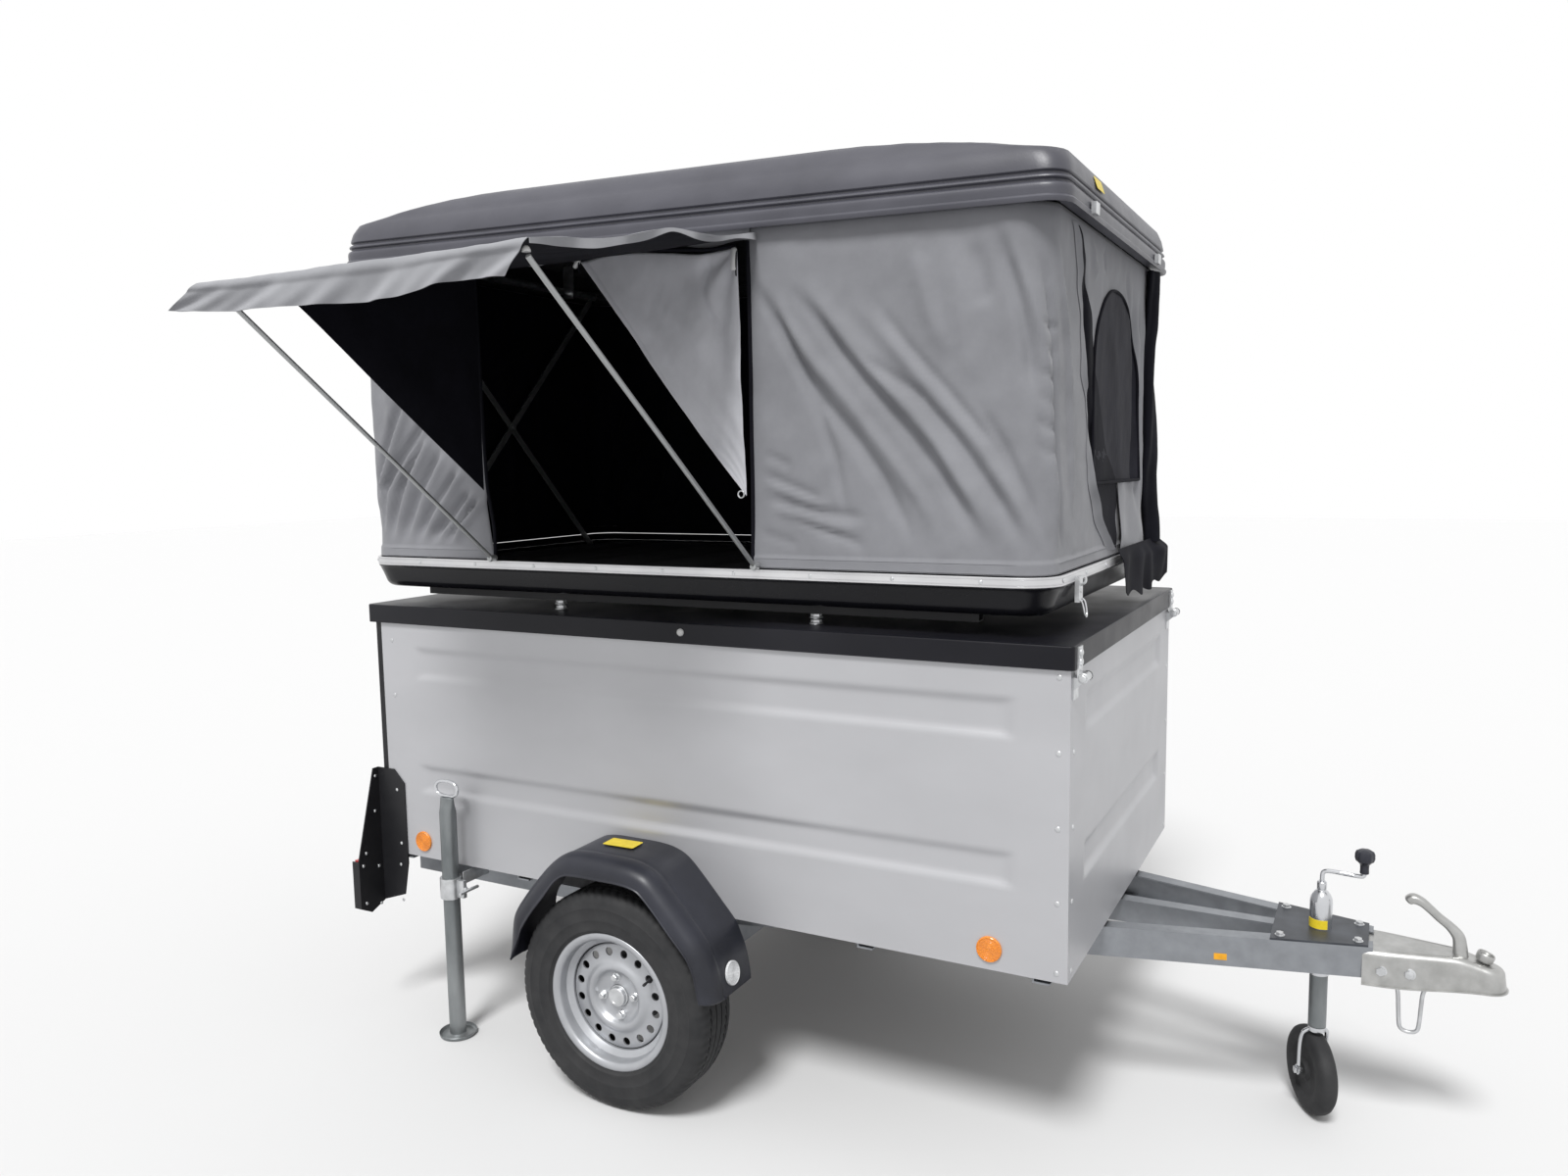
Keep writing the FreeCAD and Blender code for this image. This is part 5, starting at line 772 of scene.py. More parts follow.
def formed_sheet(across, along, form, closed=False):
    """Sheet of so many cells, each of its points put where form says from two shares."""
    bpy.ops.object.select_all(action="DESELECT")
    bpy.ops.mesh.primitive_grid_add(x_subdivisions=across, y_subdivisions=along, size=1)
    sheet = bpy.context.object
    for vertex in sheet.data.vertices:
        vertex.co = form(vertex.co.x + 0.5, vertex.co.y + 0.5)
    if closed:
        bpy.ops.object.mode_set(mode="EDIT")
        bpy.ops.mesh.select_all(action="SELECT")
        bpy.ops.mesh.remove_doubles(threshold=0.00005)
        bpy.ops.object.mode_set(mode="OBJECT")
    return sheet


def fender_form(along, across):
    """Right wheel cover: along its line, and across from the box to the rim of the rolled skirt."""
    here = smooth_line(FENDER_LINE, along)
    ahead = smooth_line(FENDER_LINE, min(1.0, along + 0.004)) - smooth_line(FENDER_LINE,
                                                                            max(0.0, along - 0.004))
    ahead.normalize()
    out = Vector((-ahead.y, ahead.x))
    skirt = smooth_value(SKIRT_LINE, along)
    corner = max(0.0, 1 - (1 - along) / 0.045)
    narrow = 0.032 * (1 - math.sqrt(1 - corner ** 2))
    round_w, round_h = 0.046 - narrow * 0.3, min(0.036, skirt - 0.004)
    flat_end = FENDER_OUT_Y - FENDER_IN_Y - round_w - 0.003 - narrow
    if across < 0.6:
        share = across / 0.6
        y = share * flat_end
        lift = 0.0032 * ease((share - 0.9) / 0.06) - 0.0012 * ease((share - 0.84) / 0.05)
    elif across < 0.86:
        angle = (across - 0.6) / 0.26 * math.pi / 2
        y = flat_end + round_w * math.sin(angle)
        lift = 0.002 - (round_h + 0.002) * (1 - math.cos(angle))
    else:
        share = (across - 0.86) / 0.14
        y = flat_end + round_w + 0.0026 * ease((share - 0.55) / 0.3)
        lift = -round_h - (skirt - round_h) * share
    place = here + out * lift
    return at(place.x, -(FENDER_IN_Y + 0.0005 + y), place.y)


fender = formed_sheet(FENDER_CELLS, 44, fender_form)
modifier(fender, "SOLIDIFY", thickness=FENDER_T, offset=1.0)
modifier(fender, "BEVEL", width=0.0012, segments=2, limit_method="ANGLE", angle_limit=math.radians(50))

fender_plastic = material("fender_plastic", (0.01, 0.0105, 0.014), 0.45, Specular_IOR_Level=0.42,
                          tones=(("Noise", 7, 7), (0.013, 0.014, 0.02), (0.03, 0.032, 0.044)),
                          sheen=(("Noise", 22, 5), 0.3, 0.48), bumps=[(("Voronoi", 800), 0.00008)])
fender_right = settle(fender, "wheel_cover_right", "chassis", "black_plastic", fender_plastic, smooth=35)
fender_left = settle(mirrored(fender_right), "wheel_cover_left", "chassis", "black_plastic", fender_plastic,
                     smooth=35)
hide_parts("fenders")
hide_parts("fenders")

# Label. A blank yellow film lies on top of the right wheel cover.
LABEL_T = 0.0006


def label(length, width, place, turn, name, body, made, slot):
    """Thin blank label with rounded corners, laid on a surface."""
    plate = cube((length, width, LABEL_T))
    bpy.ops.object.mode_set(mode="EDIT")
    select_by(lambda e: abs(e.verts[0].co.z - e.verts[1].co.z) > LABEL_T / 2, "EDGE")
    bpy.ops.mesh.bevel(offset=min(length, width) * 0.08, segments=3)
    bpy.ops.object.mode_set(mode="OBJECT")
    return settle(put(plate, place, turn), name, body, slot, made)


def label_film(name, colour, share):
    """Printed film, nearly even in its colour."""
    return material(name, colour, 0.4, tones=(("Noise", 60, 3), share), bumps=[(("Noise", 400), 0.00004)])


yellow_label = label_film("yellow_label", (0.86, 0.66, 0.03), 0.08)
FENDER_LABEL = (-0.019, -0.668, 0.6742)
label(0.094, 0.052, at(*FENDER_LABEL), Matrix.Rotation(math.radians(2.0), 4, "Z"), "fender_label_right",
      "chassis", yellow_label, "orange_lens")

# Reflectors. Orange ones with a ribbed face on the box sides, white ones on the front of the wheel covers.
REFLECTOR_R = 0.03
SIDE_REFLECTORS = (-0.795, 0.951)
SIDE_REFLECTOR_Z = 0.548
FRONT_REFLECTOR = (0.3197, 0.694, 0.3999)
FRONT_REFLECTOR_TILT = Matrix.Rotation(-math.atan(12.7 / 67.6), 4, "Y")


def reflector(radius, depth):
    """Round reflector with a rolled rim and a face of fine steps, standing on the XY plane."""
    run = [(radius, 0.0), (radius, depth * 0.55), (radius * 0.985, depth * 0.85), (radius * 0.95, depth),
           (radius * 0.9, depth), (radius * 0.88, depth * 0.82)]
    steps = 9
    for step in range(steps):
        share = 0.88 - 0.84 * (step + 1) / steps
        run += [(radius * (share + 0.84 / steps * 0.5), depth * 0.92), (radius * share, depth * 0.8)]
    return lathe(run + [(radius * 0.004, depth * 0.8)], 48)


orange_lens = material("orange_lens", (0.93, 0.27, 0.015), 0.22, Coat_Weight=0.6,
                       tones=(("Voronoi", 420), 0.22), bumps=[(("Voronoi", 380), 0.0006)])
white_lens = material("white_lens", (0.72, 0.73, 0.74), 0.18, Coat_Weight=0.5, tones=(("Voronoi", 420), 0.2),
                      bumps=[(("Voronoi", 380), 0.0005)])

lens = reflector(REFLECTOR_R, 0.006)
side_lenses, front_lenses = [], []
for side, turn in SIDES:
    for x in SIDE_REFLECTORS:
        side_lenses.append(copy_of(lens, at(x, side * BOX_HALF_W, SIDE_REFLECTOR_Z), turn))
    front_place = at(FRONT_REFLECTOR[0], side * FRONT_REFLECTOR[1], FRONT_REFLECTOR[2])
    front_lenses.append(copy_of(lens, front_place, FRONT_REFLECTOR_TILT @ TO_FRONT))
scrap(lens)
orange_set = settle(join(side_lenses), "side_reflector_lenses", "chassis", "orange_lens", orange_lens)
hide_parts("side_reflectors")
white_set = settle(join(front_lenses), "fender_reflector_lenses", "chassis", "white_lens", white_lens)
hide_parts("fender_reflectors")

# Lamp carriers at the rear corners: folded black steel plates bolted on, with bright screws round their
# edges, and the red lamp blocks on their backs.
CARRIER_SCREW_R = 0.0052
CHEEK_SCREWS = ((-0.893, 0.695), (-0.886, 0.53), (-0.893, 0.463), (-0.889, 0.352))
FACE_SCREWS = (
    (0.622, 0.732), (0.63, 0.625), (0.672, 0.505), (0.685, 0.47), (0.626, 0.452), (0.68, 0.352),
    (0.624, 0.334))
CARRIER_FACE_X = -0.968
screw = dome(CARRIER_SCREW_R, 0.0028, 12, 8)
screws = []
for side, turn in SIDES:
    screws += [copy_of(screw, at(x, side * (BOX_HALF_W + 0.004), z), turn) for x, z in CHEEK_SCREWS]
    screws += [copy_of(screw, at(CARRIER_FACE_X, side * y, z), TO_FRONT) for y, z in FACE_SCREWS]
settle(join(screws), "carrier_screws", "chassis", "zinc_hardware", zinc_plate)
scrap(screw)

red_lens = material("red_lens", (0.42, 0.012, 0.012), 0.2, Coat_Weight=0.7, tones=(("Voronoi", 300), 0.25),
                    bumps=[(("Voronoi", 300), 0.0005)])
lamp_low, lamp_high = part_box("rear_lamps")
LAMP_W = 0.07
LAMP_CELLS = ((0.0, 0.3, red_lens), (0.32, 0.6, red_lens), (0.62, 0.8, orange_lens), (0.82, 1.0, red_lens))
lamp_height = lamp_high[2] - lamp_low[2]
for side, side_name in WHEEL_SIDES:
    mid_y = side * (lamp_high[1] - LAMP_W / 2)
    for index, (share_low, share_high, finish) in enumerate(LAMP_CELLS):
        block = cube((lamp_high[0] - lamp_low[0], LAMP_W, lamp_height * (share_high - share_low)),
                     ((lamp_low[0] + lamp_high[0]) / 2, mid_y,
                      lamp_low[2] + lamp_height * (share_low + share_high) / 2))
        bpy.ops.object.mode_set(mode="EDIT")
        select_by(lambda f: f.normal.x < -0.9, "FACE")
        bpy.ops.mesh.inset(thickness=0.004)
        bpy.ops.mesh.extrude_region_move(TRANSFORM_OT_translate={"value": (0.002, 0, 0)})
        bpy.ops.object.mode_set(mode="OBJECT")
        modifier(block, "BEVEL", width=0.0025, segments=3, limit_method="ANGLE", angle_limit=math.radians(40))
        slot_name = "orange_lens" if finish is orange_lens else "red_lens"
        settle(block, "rear_lamp_%s_%d" % (side_name, index), "chassis", slot_name, finish)
        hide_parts("rear_lamps")

# Rear prop stands. A round steel tube with a pressed foot slides in a clamp under the box. Its top is
# squeezed flat under an oval handle bent from wire. All of it is zinc plated and dull with weather.
PROP_X, PROP_Y = -0.648, 0.653
PROP_R = 0.024
PROP_TOP_Z = 0.712
RING_HALF_L, RING_HALF_H = 0.04, 0.0215
RING_WIRE_R = 0.005
CLAMP_Z = 0.448


def squarish(value, power):
    """A sine or cosine raised to a power, its sign kept."""
    return math.copysign(abs(value) ** power, value)


def bar_along(points, radius, closed=False, sides=16, smooth_steps=6):
    """Round bar bent along a line of points."""
    curve = bpy.data.curves.new("bar", "CURVE")
    curve.dimensions = "3D"
    curve.bevel_depth = radius
    curve.bevel_resolution = sides // 4
    curve.resolution_u = smooth_steps
    curve.use_fill_caps = True
    line = curve.splines.new("NURBS")
    line.points.add(len(points) - 1)
    for point, place in zip(line.points, points):
        point.co = (*place, 1.0)
    line.use_cyclic_u = closed
    line.order_u = 3
    line.use_endpoint_u = not closed
    bent = bpy.data.objects.new("bar", curve)
    bpy.context.scene.collection.objects.link(bent)
    pick(bent)
    bpy.ops.object.convert(target="MESH")
    bpy.ops.object.mode_set(mode="EDIT")
    bpy.ops.mesh.select_all(action="SELECT")
    bpy.ops.mesh.remove_doubles(threshold=0.00002)
    bpy.ops.mesh.normals_make_consistent(inside=False)
    bpy.ops.object.mode_set(mode="OBJECT")
    return bpy.context.object


worn_zinc = material("worn_zinc", (0.25, 0.265, 0.27), 0.42, 0.75,
                     tones=(("Noise", 9, 7, (1, 1, 0.3)), (0.16, 0.175, 0.18), (0.38, 0.395, 0.4)),
                     sheen=(("Noise", 35, 5), 0.3, 0.6), bumps=[(("Noise", 500, 3), 0.00006)])

chrome_zinc = material("chrome_zinc", (0.62, 0.63, 0.65), 0.16, 0.95, sheen=(("Noise", 60, 3), 0.12, 0.26),
                       bumps=[(("Noise", 300, 2), 0.00004)])

tube = lathe([(0.0215, 0.006), (PROP_R, 0.006), (PROP_R, 0.05), (PROP_R, PROP_TOP_Z - 0.04),
              (PROP_R, PROP_TOP_Z - 0.02), (PROP_R, PROP_TOP_Z - 0.004), (PROP_R * 0.96, PROP_TOP_Z + 0.001),
              (PROP_R * 0.86, PROP_TOP_Z + 0.0025), (PROP_R * 0.02, PROP_TOP_Z + 0.0025)], 48)
for vertex in tube.data.vertices:
    vertex.co.y *= 1 - 0.55 * ease((vertex.co.z - PROP_TOP_Z + 0.045) / 0.04)
foot = lathe([
    (0.022, 0.0085), (0.027, 0.007), (0.034, 0.004), (0.046, 0.003), (0.0505, 0.0062), (0.052, 0.0105),
    (0.0532, 0.0115), (0.054, 0.0105), (0.0525, 0.0045), (0.049, 0), (0.004, 0), (0.003, 0.0028),
    (0.022, 0.003), (0.022, 0.0085)], 48)
ring_points = []
for step in range(16):
    angle = 2 * math.pi * step / 16
    wide = squarish(math.cos(angle), 0.75) * RING_HALF_L
    high = squarish(math.sin(angle), 0.85) * RING_HALF_H
    ring_points.append((wide * 1.04, 0, PROP_TOP_Z + 0.006 + RING_HALF_H + high * 1.04))
handle = bar_along(ring_points, RING_WIRE_R, closed=True)
prop = join([tube, foot])

band = lathe([
    (0.0243, -0.03), (0.0305, -0.03), (0.0312, -0.028), (0.0312, 0.028), (0.0305, 0.03), (0.0243, 0.03),
    (0.0243, -0.03)], 48)
ear = cube((0.026, 0.014, 0.052), (0.041, 0, 0))
modifier(ear, "BEVEL", width=0.002, segments=2)
bpy.ops.object.select_all(action="DESELECT")
bpy.ops.mesh.primitive_plane_add(size=1)
bracket = bpy.context.object
bracket.scale = (0.066, 0.108, 1)
bracket.location = (0, -0.068, 0.008)
bpy.ops.object.transform_apply(location=True, rotation=True, scale=True)
bpy.ops.object.mode_set(mode="EDIT")
select_by(lambda e: abs(e.verts[0].co.x - e.verts[1].co.x) < 0.001, "EDGE")
bpy.ops.mesh.extrude_region_move(TRANSFORM_OT_translate={"value": (0, 0, 0.036)})
bpy.ops.object.mode_set(mode="OBJECT")
modifier(bracket, "SOLIDIFY", thickness=0.004, offset=0.0)
modifier(bracket, "BEVEL", width=0.0012, segments=2, limit_method="ANGLE", angle_limit=math.radians(40))
tee_bar = bar_along([(0.052, 0, 0), (0.06, 0, 0), (0.068, 0, 0)], 0.0042, sides=12)
tee_cross = bar_along([(0.068, -0.036, 0), (0.068, -0.012, 0.0006), (0.068, 0.012, 0.0006),
                       (0.068, 0.036, 0)], 0.0046,
                      sides=12)
clamp_nut = put(hex_bolt(0.013, 0.008), (0.052, 0, 0), TO_FRONT)
clamp = join([band, ear, bracket, tee_bar, tee_cross, clamp_nut])

for side, side_name in WHEEL_SIDES:
    body = "prop_" + side_name
    place = at(PROP_X, side * PROP_Y, 0)
    stand = settle(copy_of(prop, place), "prop_tube_" + side_name, body, "zinc_hardware", worn_zinc)
    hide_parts("prop_" + side_name)
    grip = settle(copy_of(handle, place), "prop_handle_" + side_name, body, "zinc_hardware", chrome_zinc)
    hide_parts("prop_ring_" + side_name)
    hold = copy_of(clamp) if side > 0 else mirrored(clamp)
    put(hold, at(PROP_X, side * PROP_Y, CLAMP_Z))
    settle(hold, "prop_clamp_" + side_name, "chassis", "zinc_hardware", zinc_plate)
    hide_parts("prop_clamps")
for pattern_piece in (prop, handle, clamp):
    scrap(pattern_piece)

# Jockey wheel. A bright head closes the outer tube and carries the cranked handle; the inner tube slides
# below the drawbar and ends in a wire fork with a solid black wheel, left turned across the trailer.
JOCKEY_X = 1.605
JOCKEY_R = 0.024
JOCKEY_WHEEL_R = 0.108
JOCKEY_TRAIL = 0.02
JOCKEY_TURN = math.radians(-62.0)
CRANK_Z = 0.634
CRANK_REACH = 0.092

outer_tube = lathe([(0.0215, 0.372), (JOCKEY_R, 0.372), (JOCKEY_R, 0.48), (JOCKEY_R + 0.0005, 0.488),
                    (JOCKEY_R + 0.0018, 0.489), (JOCKEY_R + 0.002, 0.556), (JOCKEY_R + 0.001, 0.566),
                    (JOCKEY_R - 0.003, 0.575), (0.015, 0.5835), (0.011, 0.586), (0.0105, 0.5885),
                    (0.0112, 0.5905), (0.0112, 0.606), (0.0095, 0.6085), (0.0002, 0.6085)], 48)
put(outer_tube, at(JOCKEY_X, 0, 0))
settle(outer_tube, "jockey_outer_tube", "chassis", "zinc_hardware", chrome_zinc)
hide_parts("jockey_tube")

band_ring = lathe([(JOCKEY_R + 0.0016, 0.494), (JOCKEY_R + 0.003, 0.494), (JOCKEY_R + 0.003, 0.516),
                   (JOCKEY_R + 0.0016, 0.516), (JOCKEY_R + 0.0016, 0.494)], 48)
bpy.ops.object.mode_set(mode="EDIT")
select_by(lambda f: f.calc_center_median().y > -0.008 or f.calc_center_median().x > 0.016, "FACE")
bpy.ops.mesh.delete(type="FACE")
bpy.ops.object.mode_set(mode="OBJECT")
put(band_ring, at(JOCKEY_X, 0, 0))
settle(band_ring, "jockey_label", "chassis", "orange_lens", yellow_label)

CRANK_LINE = ((0, 0.6), (0, 0.622), (0.002, 0.634), (0.016, 0.637), (0.05, 0.635), (0.08, 0.633),
              (CRANK_REACH, 0.634), (CRANK_REACH, 0.646), (CRANK_REACH, 0.664))
crank = bar_along([at(JOCKEY_X + x, 0, z) for x, z in CRANK_LINE], 0.0055)
settle(crank, "jockey_crank_bar", "chassis", "zinc_hardware", chrome_zinc)
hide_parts("jockey_crank")
crank_knob = lathe([
    (0.0005, 0.008), (0.0095, 0.008), (0.0104, 0.01), (0.0098, 0.02), (0.0104, 0.03), (0.014, 0.035),
    (0.019, 0.039), (0.0212, 0.046), (0.021, 0.057), (0.0186, 0.0635), (0.012, 0.067),
    (0.0005, 0.0678)], 40)
for vertex in crank_knob.data.vertices:
    reach = math.hypot(vertex.co.x, vertex.co.y)
    if vertex.co.z > 0.034 and reach > 0.006:
        wave = 1 + 0.06 * math.cos(6 * math.atan2(vertex.co.y, vertex.co.x))
        vertex.co.x *= wave
        vertex.co.y *= wave
put(crank_knob, at(JOCKEY_X + CRANK_REACH, 0, CRANK_Z))
settle(crank_knob, "jockey_crank_knob", "chassis", "black_plastic", fender_plastic)

inner_tube = lathe([
    (0.0185, 0.236), (0.0208, 0.236), (0.021, 0.24), (0.0212, 0.5), (0.0185, 0.5), (0.0185, 0.236)], 48)
put(inner_tube, at(JOCKEY_X, 0, 0))
settle(inner_tube, "jockey_inner_tube", "jockey_leg", "zinc_hardware", worn_zinc)
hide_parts("jockey_leg")

FORK_HALF = 0.032
TO_SWIVEL = Matrix.Translation(at(JOCKEY_X, 0, 0)) @ Matrix.Rotation(JOCKEY_TURN, 4, "Z")
fork_parts = []
for side, turn in SIDES:
    cheek = bar_along([(-JOCKEY_TRAIL, side * FORK_HALF, JOCKEY_WHEEL_R - 0.012),
                       (-JOCKEY_TRAIL, side * FORK_HALF, 0.16),
                       (-0.012, side * FORK_HALF, 0.205), (-0.004, side * 0.027, 0.222),
                       (0, side * 0.008, 0.2295)],
                      0.0052, sides=12)
    nut = put(hex_bolt(0.017, 0.009), (-JOCKEY_TRAIL, side * (FORK_HALF + 0.003), JOCKEY_WHEEL_R), turn)
    eye = lathe([(0.0052, -0.003), (0.0125, -0.003), (0.013, 0.0), (0.0125, 0.003), (0.0052, 0.003),
                 (0.0052, -0.003)],
                32)
    put(eye, (-JOCKEY_TRAIL, side * FORK_HALF, JOCKEY_WHEEL_R), TO_LEFT)
    fork_parts += [cheek, nut, eye]
pin = bar_along([(-JOCKEY_TRAIL, y, JOCKEY_WHEEL_R) for y in (-0.04, 0, 0.04)], 0.005, sides=12)
crown = lathe([(0.0003, 0.222), (0.019, 0.222), (0.0205, 0.225), (0.0205, 0.2345), (0.0003, 0.2345)], 40)
fork = join(fork_parts + [pin, crown])
fork.data.transform(TO_SWIVEL)
settle(fork, "jockey_wire_fork", "jockey_fork", "zinc_hardware", chrome_zinc)
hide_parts("jockey_fork")

half_run = [
    (0.0056, 0.024), (0.02, 0.024), (0.0225, 0.02), (0.028, 0.0155), (0.06, 0.015), (0.064, 0.017),
    (0.067, 0.0215), (0.076, 0.0245), (0.09, 0.024), (0.099, 0.02), (0.105, 0.014), (0.1075, 0.007)]
small_tyre = lathe(half_run + [(0.108, 0.0)] + [(r, -h) for r, h in reversed(half_run)] + half_run[:1], 96)
small_tyre.data.transform(TO_SWIVEL @ Matrix.Translation((-JOCKEY_TRAIL, 0, JOCKEY_WHEEL_R)) @ TO_LEFT)
settle(small_tyre, "jockey_solid_wheel", "jockey_wheel", "tyre_rubber", tyre_rubber)
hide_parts("jockey_wheel")

# Coupling head. A bright cast and pressed head over the tips of the drawbar: a wedge that narrows to a
# round nose over the ball, with a flange along its lower edge and two bolts through its cheeks.
HEAD_REAR, HEAD_BALL = 1.7, 1.958
HEAD_NOSE_R = 0.039
HEAD_CELLS = 72


def head_form(around, up):
    """Shell of the head: around its outline seen from above, and from its flange up over the top."""
    side_run = HEAD_BALL - HEAD_REAR
    nose_run = math.pi * HEAD_NOSE_R
    total = 2 * side_run + nose_run
    run = around * total
    if run < side_run or run >= side_run + nose_run:
        side = -1 if run < side_run else 1
        share = (run if side < 0 else total - run) / side_run
        x = HEAD_REAR + side_run * share
        y = side * (0.0785 + (HEAD_NOSE_R - 0.0785) * ease(share * 0.9 + 0.05))
        out = Vector((0, side))
    else:
        angle = (run - side_run) / nose_run * math.pi - math.pi / 2
        x = HEAD_BALL + HEAD_NOSE_R * math.cos(angle)
        y = HEAD_NOSE_R * math.sin(angle)
        out = Vector((math.cos(angle), math.sin(angle)))
    reach = (x - HEAD_REAR) / (HEAD_BALL + HEAD_NOSE_R - HEAD_REAR)
    low = 0.397 + 0.01 * ease(reach * 1.4 - 0.3)
    top = 0.478 - 0.02 * ease((reach - 0.62) / 0.36)
    if up < 0.16:
        flare, z = 0.0075 * (1 - up / 0.16), low
    elif up < 0.3:
        flare, z = 0.0, low + (up - 0.16) / 0.14 * 0.006
    elif up < 0.72:
        share = (up - 0.3) / 0.42
        flare, z = -0.004 * share, low + 0.006 + (top - low - 0.02) * share
    else:
        share = (up - 0.72) / 0.28
        angle = share * math.pi / 2
        flare, z = -0.004 - 0.014 * (1 - math.cos(angle)), top - 0.014 + 0.014 * math.sin(angle)
    return at(x + out.x * flare, y + out.y * flare, z)


head_shell = formed_sheet(HEAD_CELLS * 2, 26, head_form)
fill_end(lambda e: e.is_boundary and all(v.co.z > GROUND_Z + 0.45 for v in e.verts))
modifier(head_shell, "SOLIDIFY", thickness=0.0035, offset=-1.0)
cast_zinc = material("cast_zinc", (0.44, 0.44, 0.43), 0.34, 0.85,
                     tones=(("Noise", 30, 5), (0.38, 0.38, 0.37), (0.5, 0.5, 0.49)),
                     bumps=[(("Noise", 420, 3), 0.00015)])
settle(head_shell, "coupling_head_shell", "chassis", "zinc_hardware", cast_zinc, smooth=35)
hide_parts("coupling_head")

head_bolt = hex_bolt(0.019, 0.008)
head_bolts = []
for side, turn in SIDES:
    for x, half in ((1.74, 0.0735), (1.8, 0.064)):
        head_bolts.append(copy_of(head_bolt, at(x, side * half, 0.434), turn))
scrap(head_bolt)
settle(join(head_bolts), "coupling_bolts", "chassis", "zinc_hardware", zinc_plate)

# Coupling lever. A forged arm with a broad foot on the head, bent up and back to a rounded grip, and the
# tipped locking cap beside it over the nose.
LEVER_LINE = (
    (1.905, 0.474), (1.903, 0.5), (1.898, 0.522), (1.88, 0.543), (1.858, 0.56), (1.838, 0.578),
    (1.82, 0.592), (1.802, 0.597), (1.79, 0.588))
LEVER_HALF = (0.018, 0.0145, 0.013, 0.0125, 0.013, 0.0135, 0.014, 0.0145, 0.013)
LEVER_THICK = (0.017, 0.015, 0.0135, 0.0105, 0.0095, 0.0095, 0.0105, 0.012, 0.0105)


def lever_form(along, around):
    """Lever skin: along its line and round its oval section."""
    here = smooth_line(LEVER_LINE, along)
    ahead = smooth_line(LEVER_LINE, min(1, along + 0.01)) - smooth_line(LEVER_LINE, max(0, along - 0.01))
    ahead.normalize()
    close = math.sqrt(max(0.0, 1 - max(0.0, (along - 0.94) / 0.06) ** 2))
    angle = around * 2 * math.pi
    across = squarish(math.cos(angle), 0.8) * smooth_value(LEVER_HALF, along) * close
    out = squarish(math.sin(angle), 0.8) * smooth_value(LEVER_THICK, along) * close
    return at(here.x - ahead.y * out, across, here.y + ahead.x * out)


lever = formed_sheet(48, 28, lever_form, closed=True)
outward()
settle(lever, "coupling_hand_lever", "chassis", "zinc_hardware", cast_zinc, smooth=60)
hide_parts("coupling_lever")

lock_cap = lathe([
    (0.0003, -0.004), (0.015, -0.004), (0.0185, 0), (0.0195, 0.01), (0.019, 0.015), (0.0172, 0.0175),
    (0.0155, 0.016), (0.0148, 0.013), (0.014, 0.012), (0.0003, 0.0118)], 40)
put(lock_cap, at(1.952, 0.0, 0.474), Matrix.Rotation(math.radians(20), 4, "Y"))
settle(lock_cap, "coupling_lock_cap", "chassis", "zinc_hardware", cast_zinc)

# Rest loop. Round bar bent to a U and welded to a short plate under the head.
LOOP_X = 1.805
LOOP_LEG = ((0.038, 0.398), (0.034, 0.385), (0.026, 0.365), (0.024, 0.33), (0.022, 0.29), (0.019, 0.268))
loop_line = [(-x, z) for x, z in LOOP_LEG] + [(0, 0.262)] + list(reversed(LOOP_LEG))
loop = bar_along([at(LOOP_X + x, 0, z) for x, z in loop_line], 0.005)
settle(loop, "rest_loop_bar", "chassis", "zinc_hardware", zinc_plate)
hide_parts("rest_loop")

# Drawbar fittings: a blank blue and a blank orange label, and the bolts that hold the jockey wheel's plate.
blue_label = label_film("blue_label", (0.1, 0.42, 0.6), 0.1)
orange_label = label_film("orange_label", (0.9, 0.42, 0.02), 0.1)
BEAM_LEAN = math.atan2(0.43, 1.722)


def beam_face(x):
    """Distance from the middle to the outer face of a drawbar beam."""
    return 0.05 + 0.43 * (1.722 - x) / 1.722 + 0.021 / math.cos(BEAM_LEAN)


label(0.03, 0.016, at(1.392, -beam_face(1.392), 0.434),
      Matrix.Rotation(BEAM_LEAN, 4, "Z") @ Matrix.Rotation(math.pi / 2, 4, "X"), "beam_label", "chassis",
      orange_label, "orange_lens")
label(0.036, 0.018, at(1.735, -0.03, 0.4795), Matrix.Rotation(BEAM_LEAN, 4, "Z"), "head_label", "chassis",
      blue_label, "white_lens")
plate_bolt = hex_bolt(0.016, 0.008)
plate_bolts = []
for x in (1.52, 1.69):
    for side in (-1, 1):
        plate_bolts.append(copy_of(plate_bolt, at(x, side * (beam_face(x) - 0.024), 0.492)))
scrap(plate_bolt)
settle(join(plate_bolts), "drawbar_plate_bolts", "chassis", "zinc_hardware", zinc_plate)

# Lid fittings. Each front corner of the lid turns on a zinc strap hinge, bolted through the skirt and
# through its bracket; nuts clamp the tent's rails to short studs, and hooks hold the tailgate shut.
LID_HINGE_Y = 0.572
LID_AXIS = (1.153, 1.185)
STRAP_FACE_X = 1.143
hinge_bolt = hex_bolt(0.015, 0.008)
hinge_head = dome(0.0095, 0.0055, 24, 8)
hinge_bolts = []
for side in (-1, 1):
    for z in (1.238, 1.218):
        hinge_bolts.append(copy_of(hinge_head, at(STRAP_FACE_X, side * LID_HINGE_Y, z), TO_FRONT))
settle(join(hinge_bolts), "lid_strap_bolts", "lid", "zinc_hardware", zinc_plate)
pin_bolts = []
for side in (-1, 1):
    for way, turn in SIDES:
        pin_bolts.append(copy_of(hinge_bolt, at(LID_AXIS[0], side * LID_HINGE_Y + way * 0.0212, LID_AXIS[1]),
                                 turn))
    pin_bolts.append(copy_of(hinge_head, at(1.1305, side * LID_HINGE_Y, 1.166), TO_FRONT))
settle(join(pin_bolts), "lid_pin_bolts", "chassis", "zinc_hardware", zinc_plate)
scrap(hinge_head)

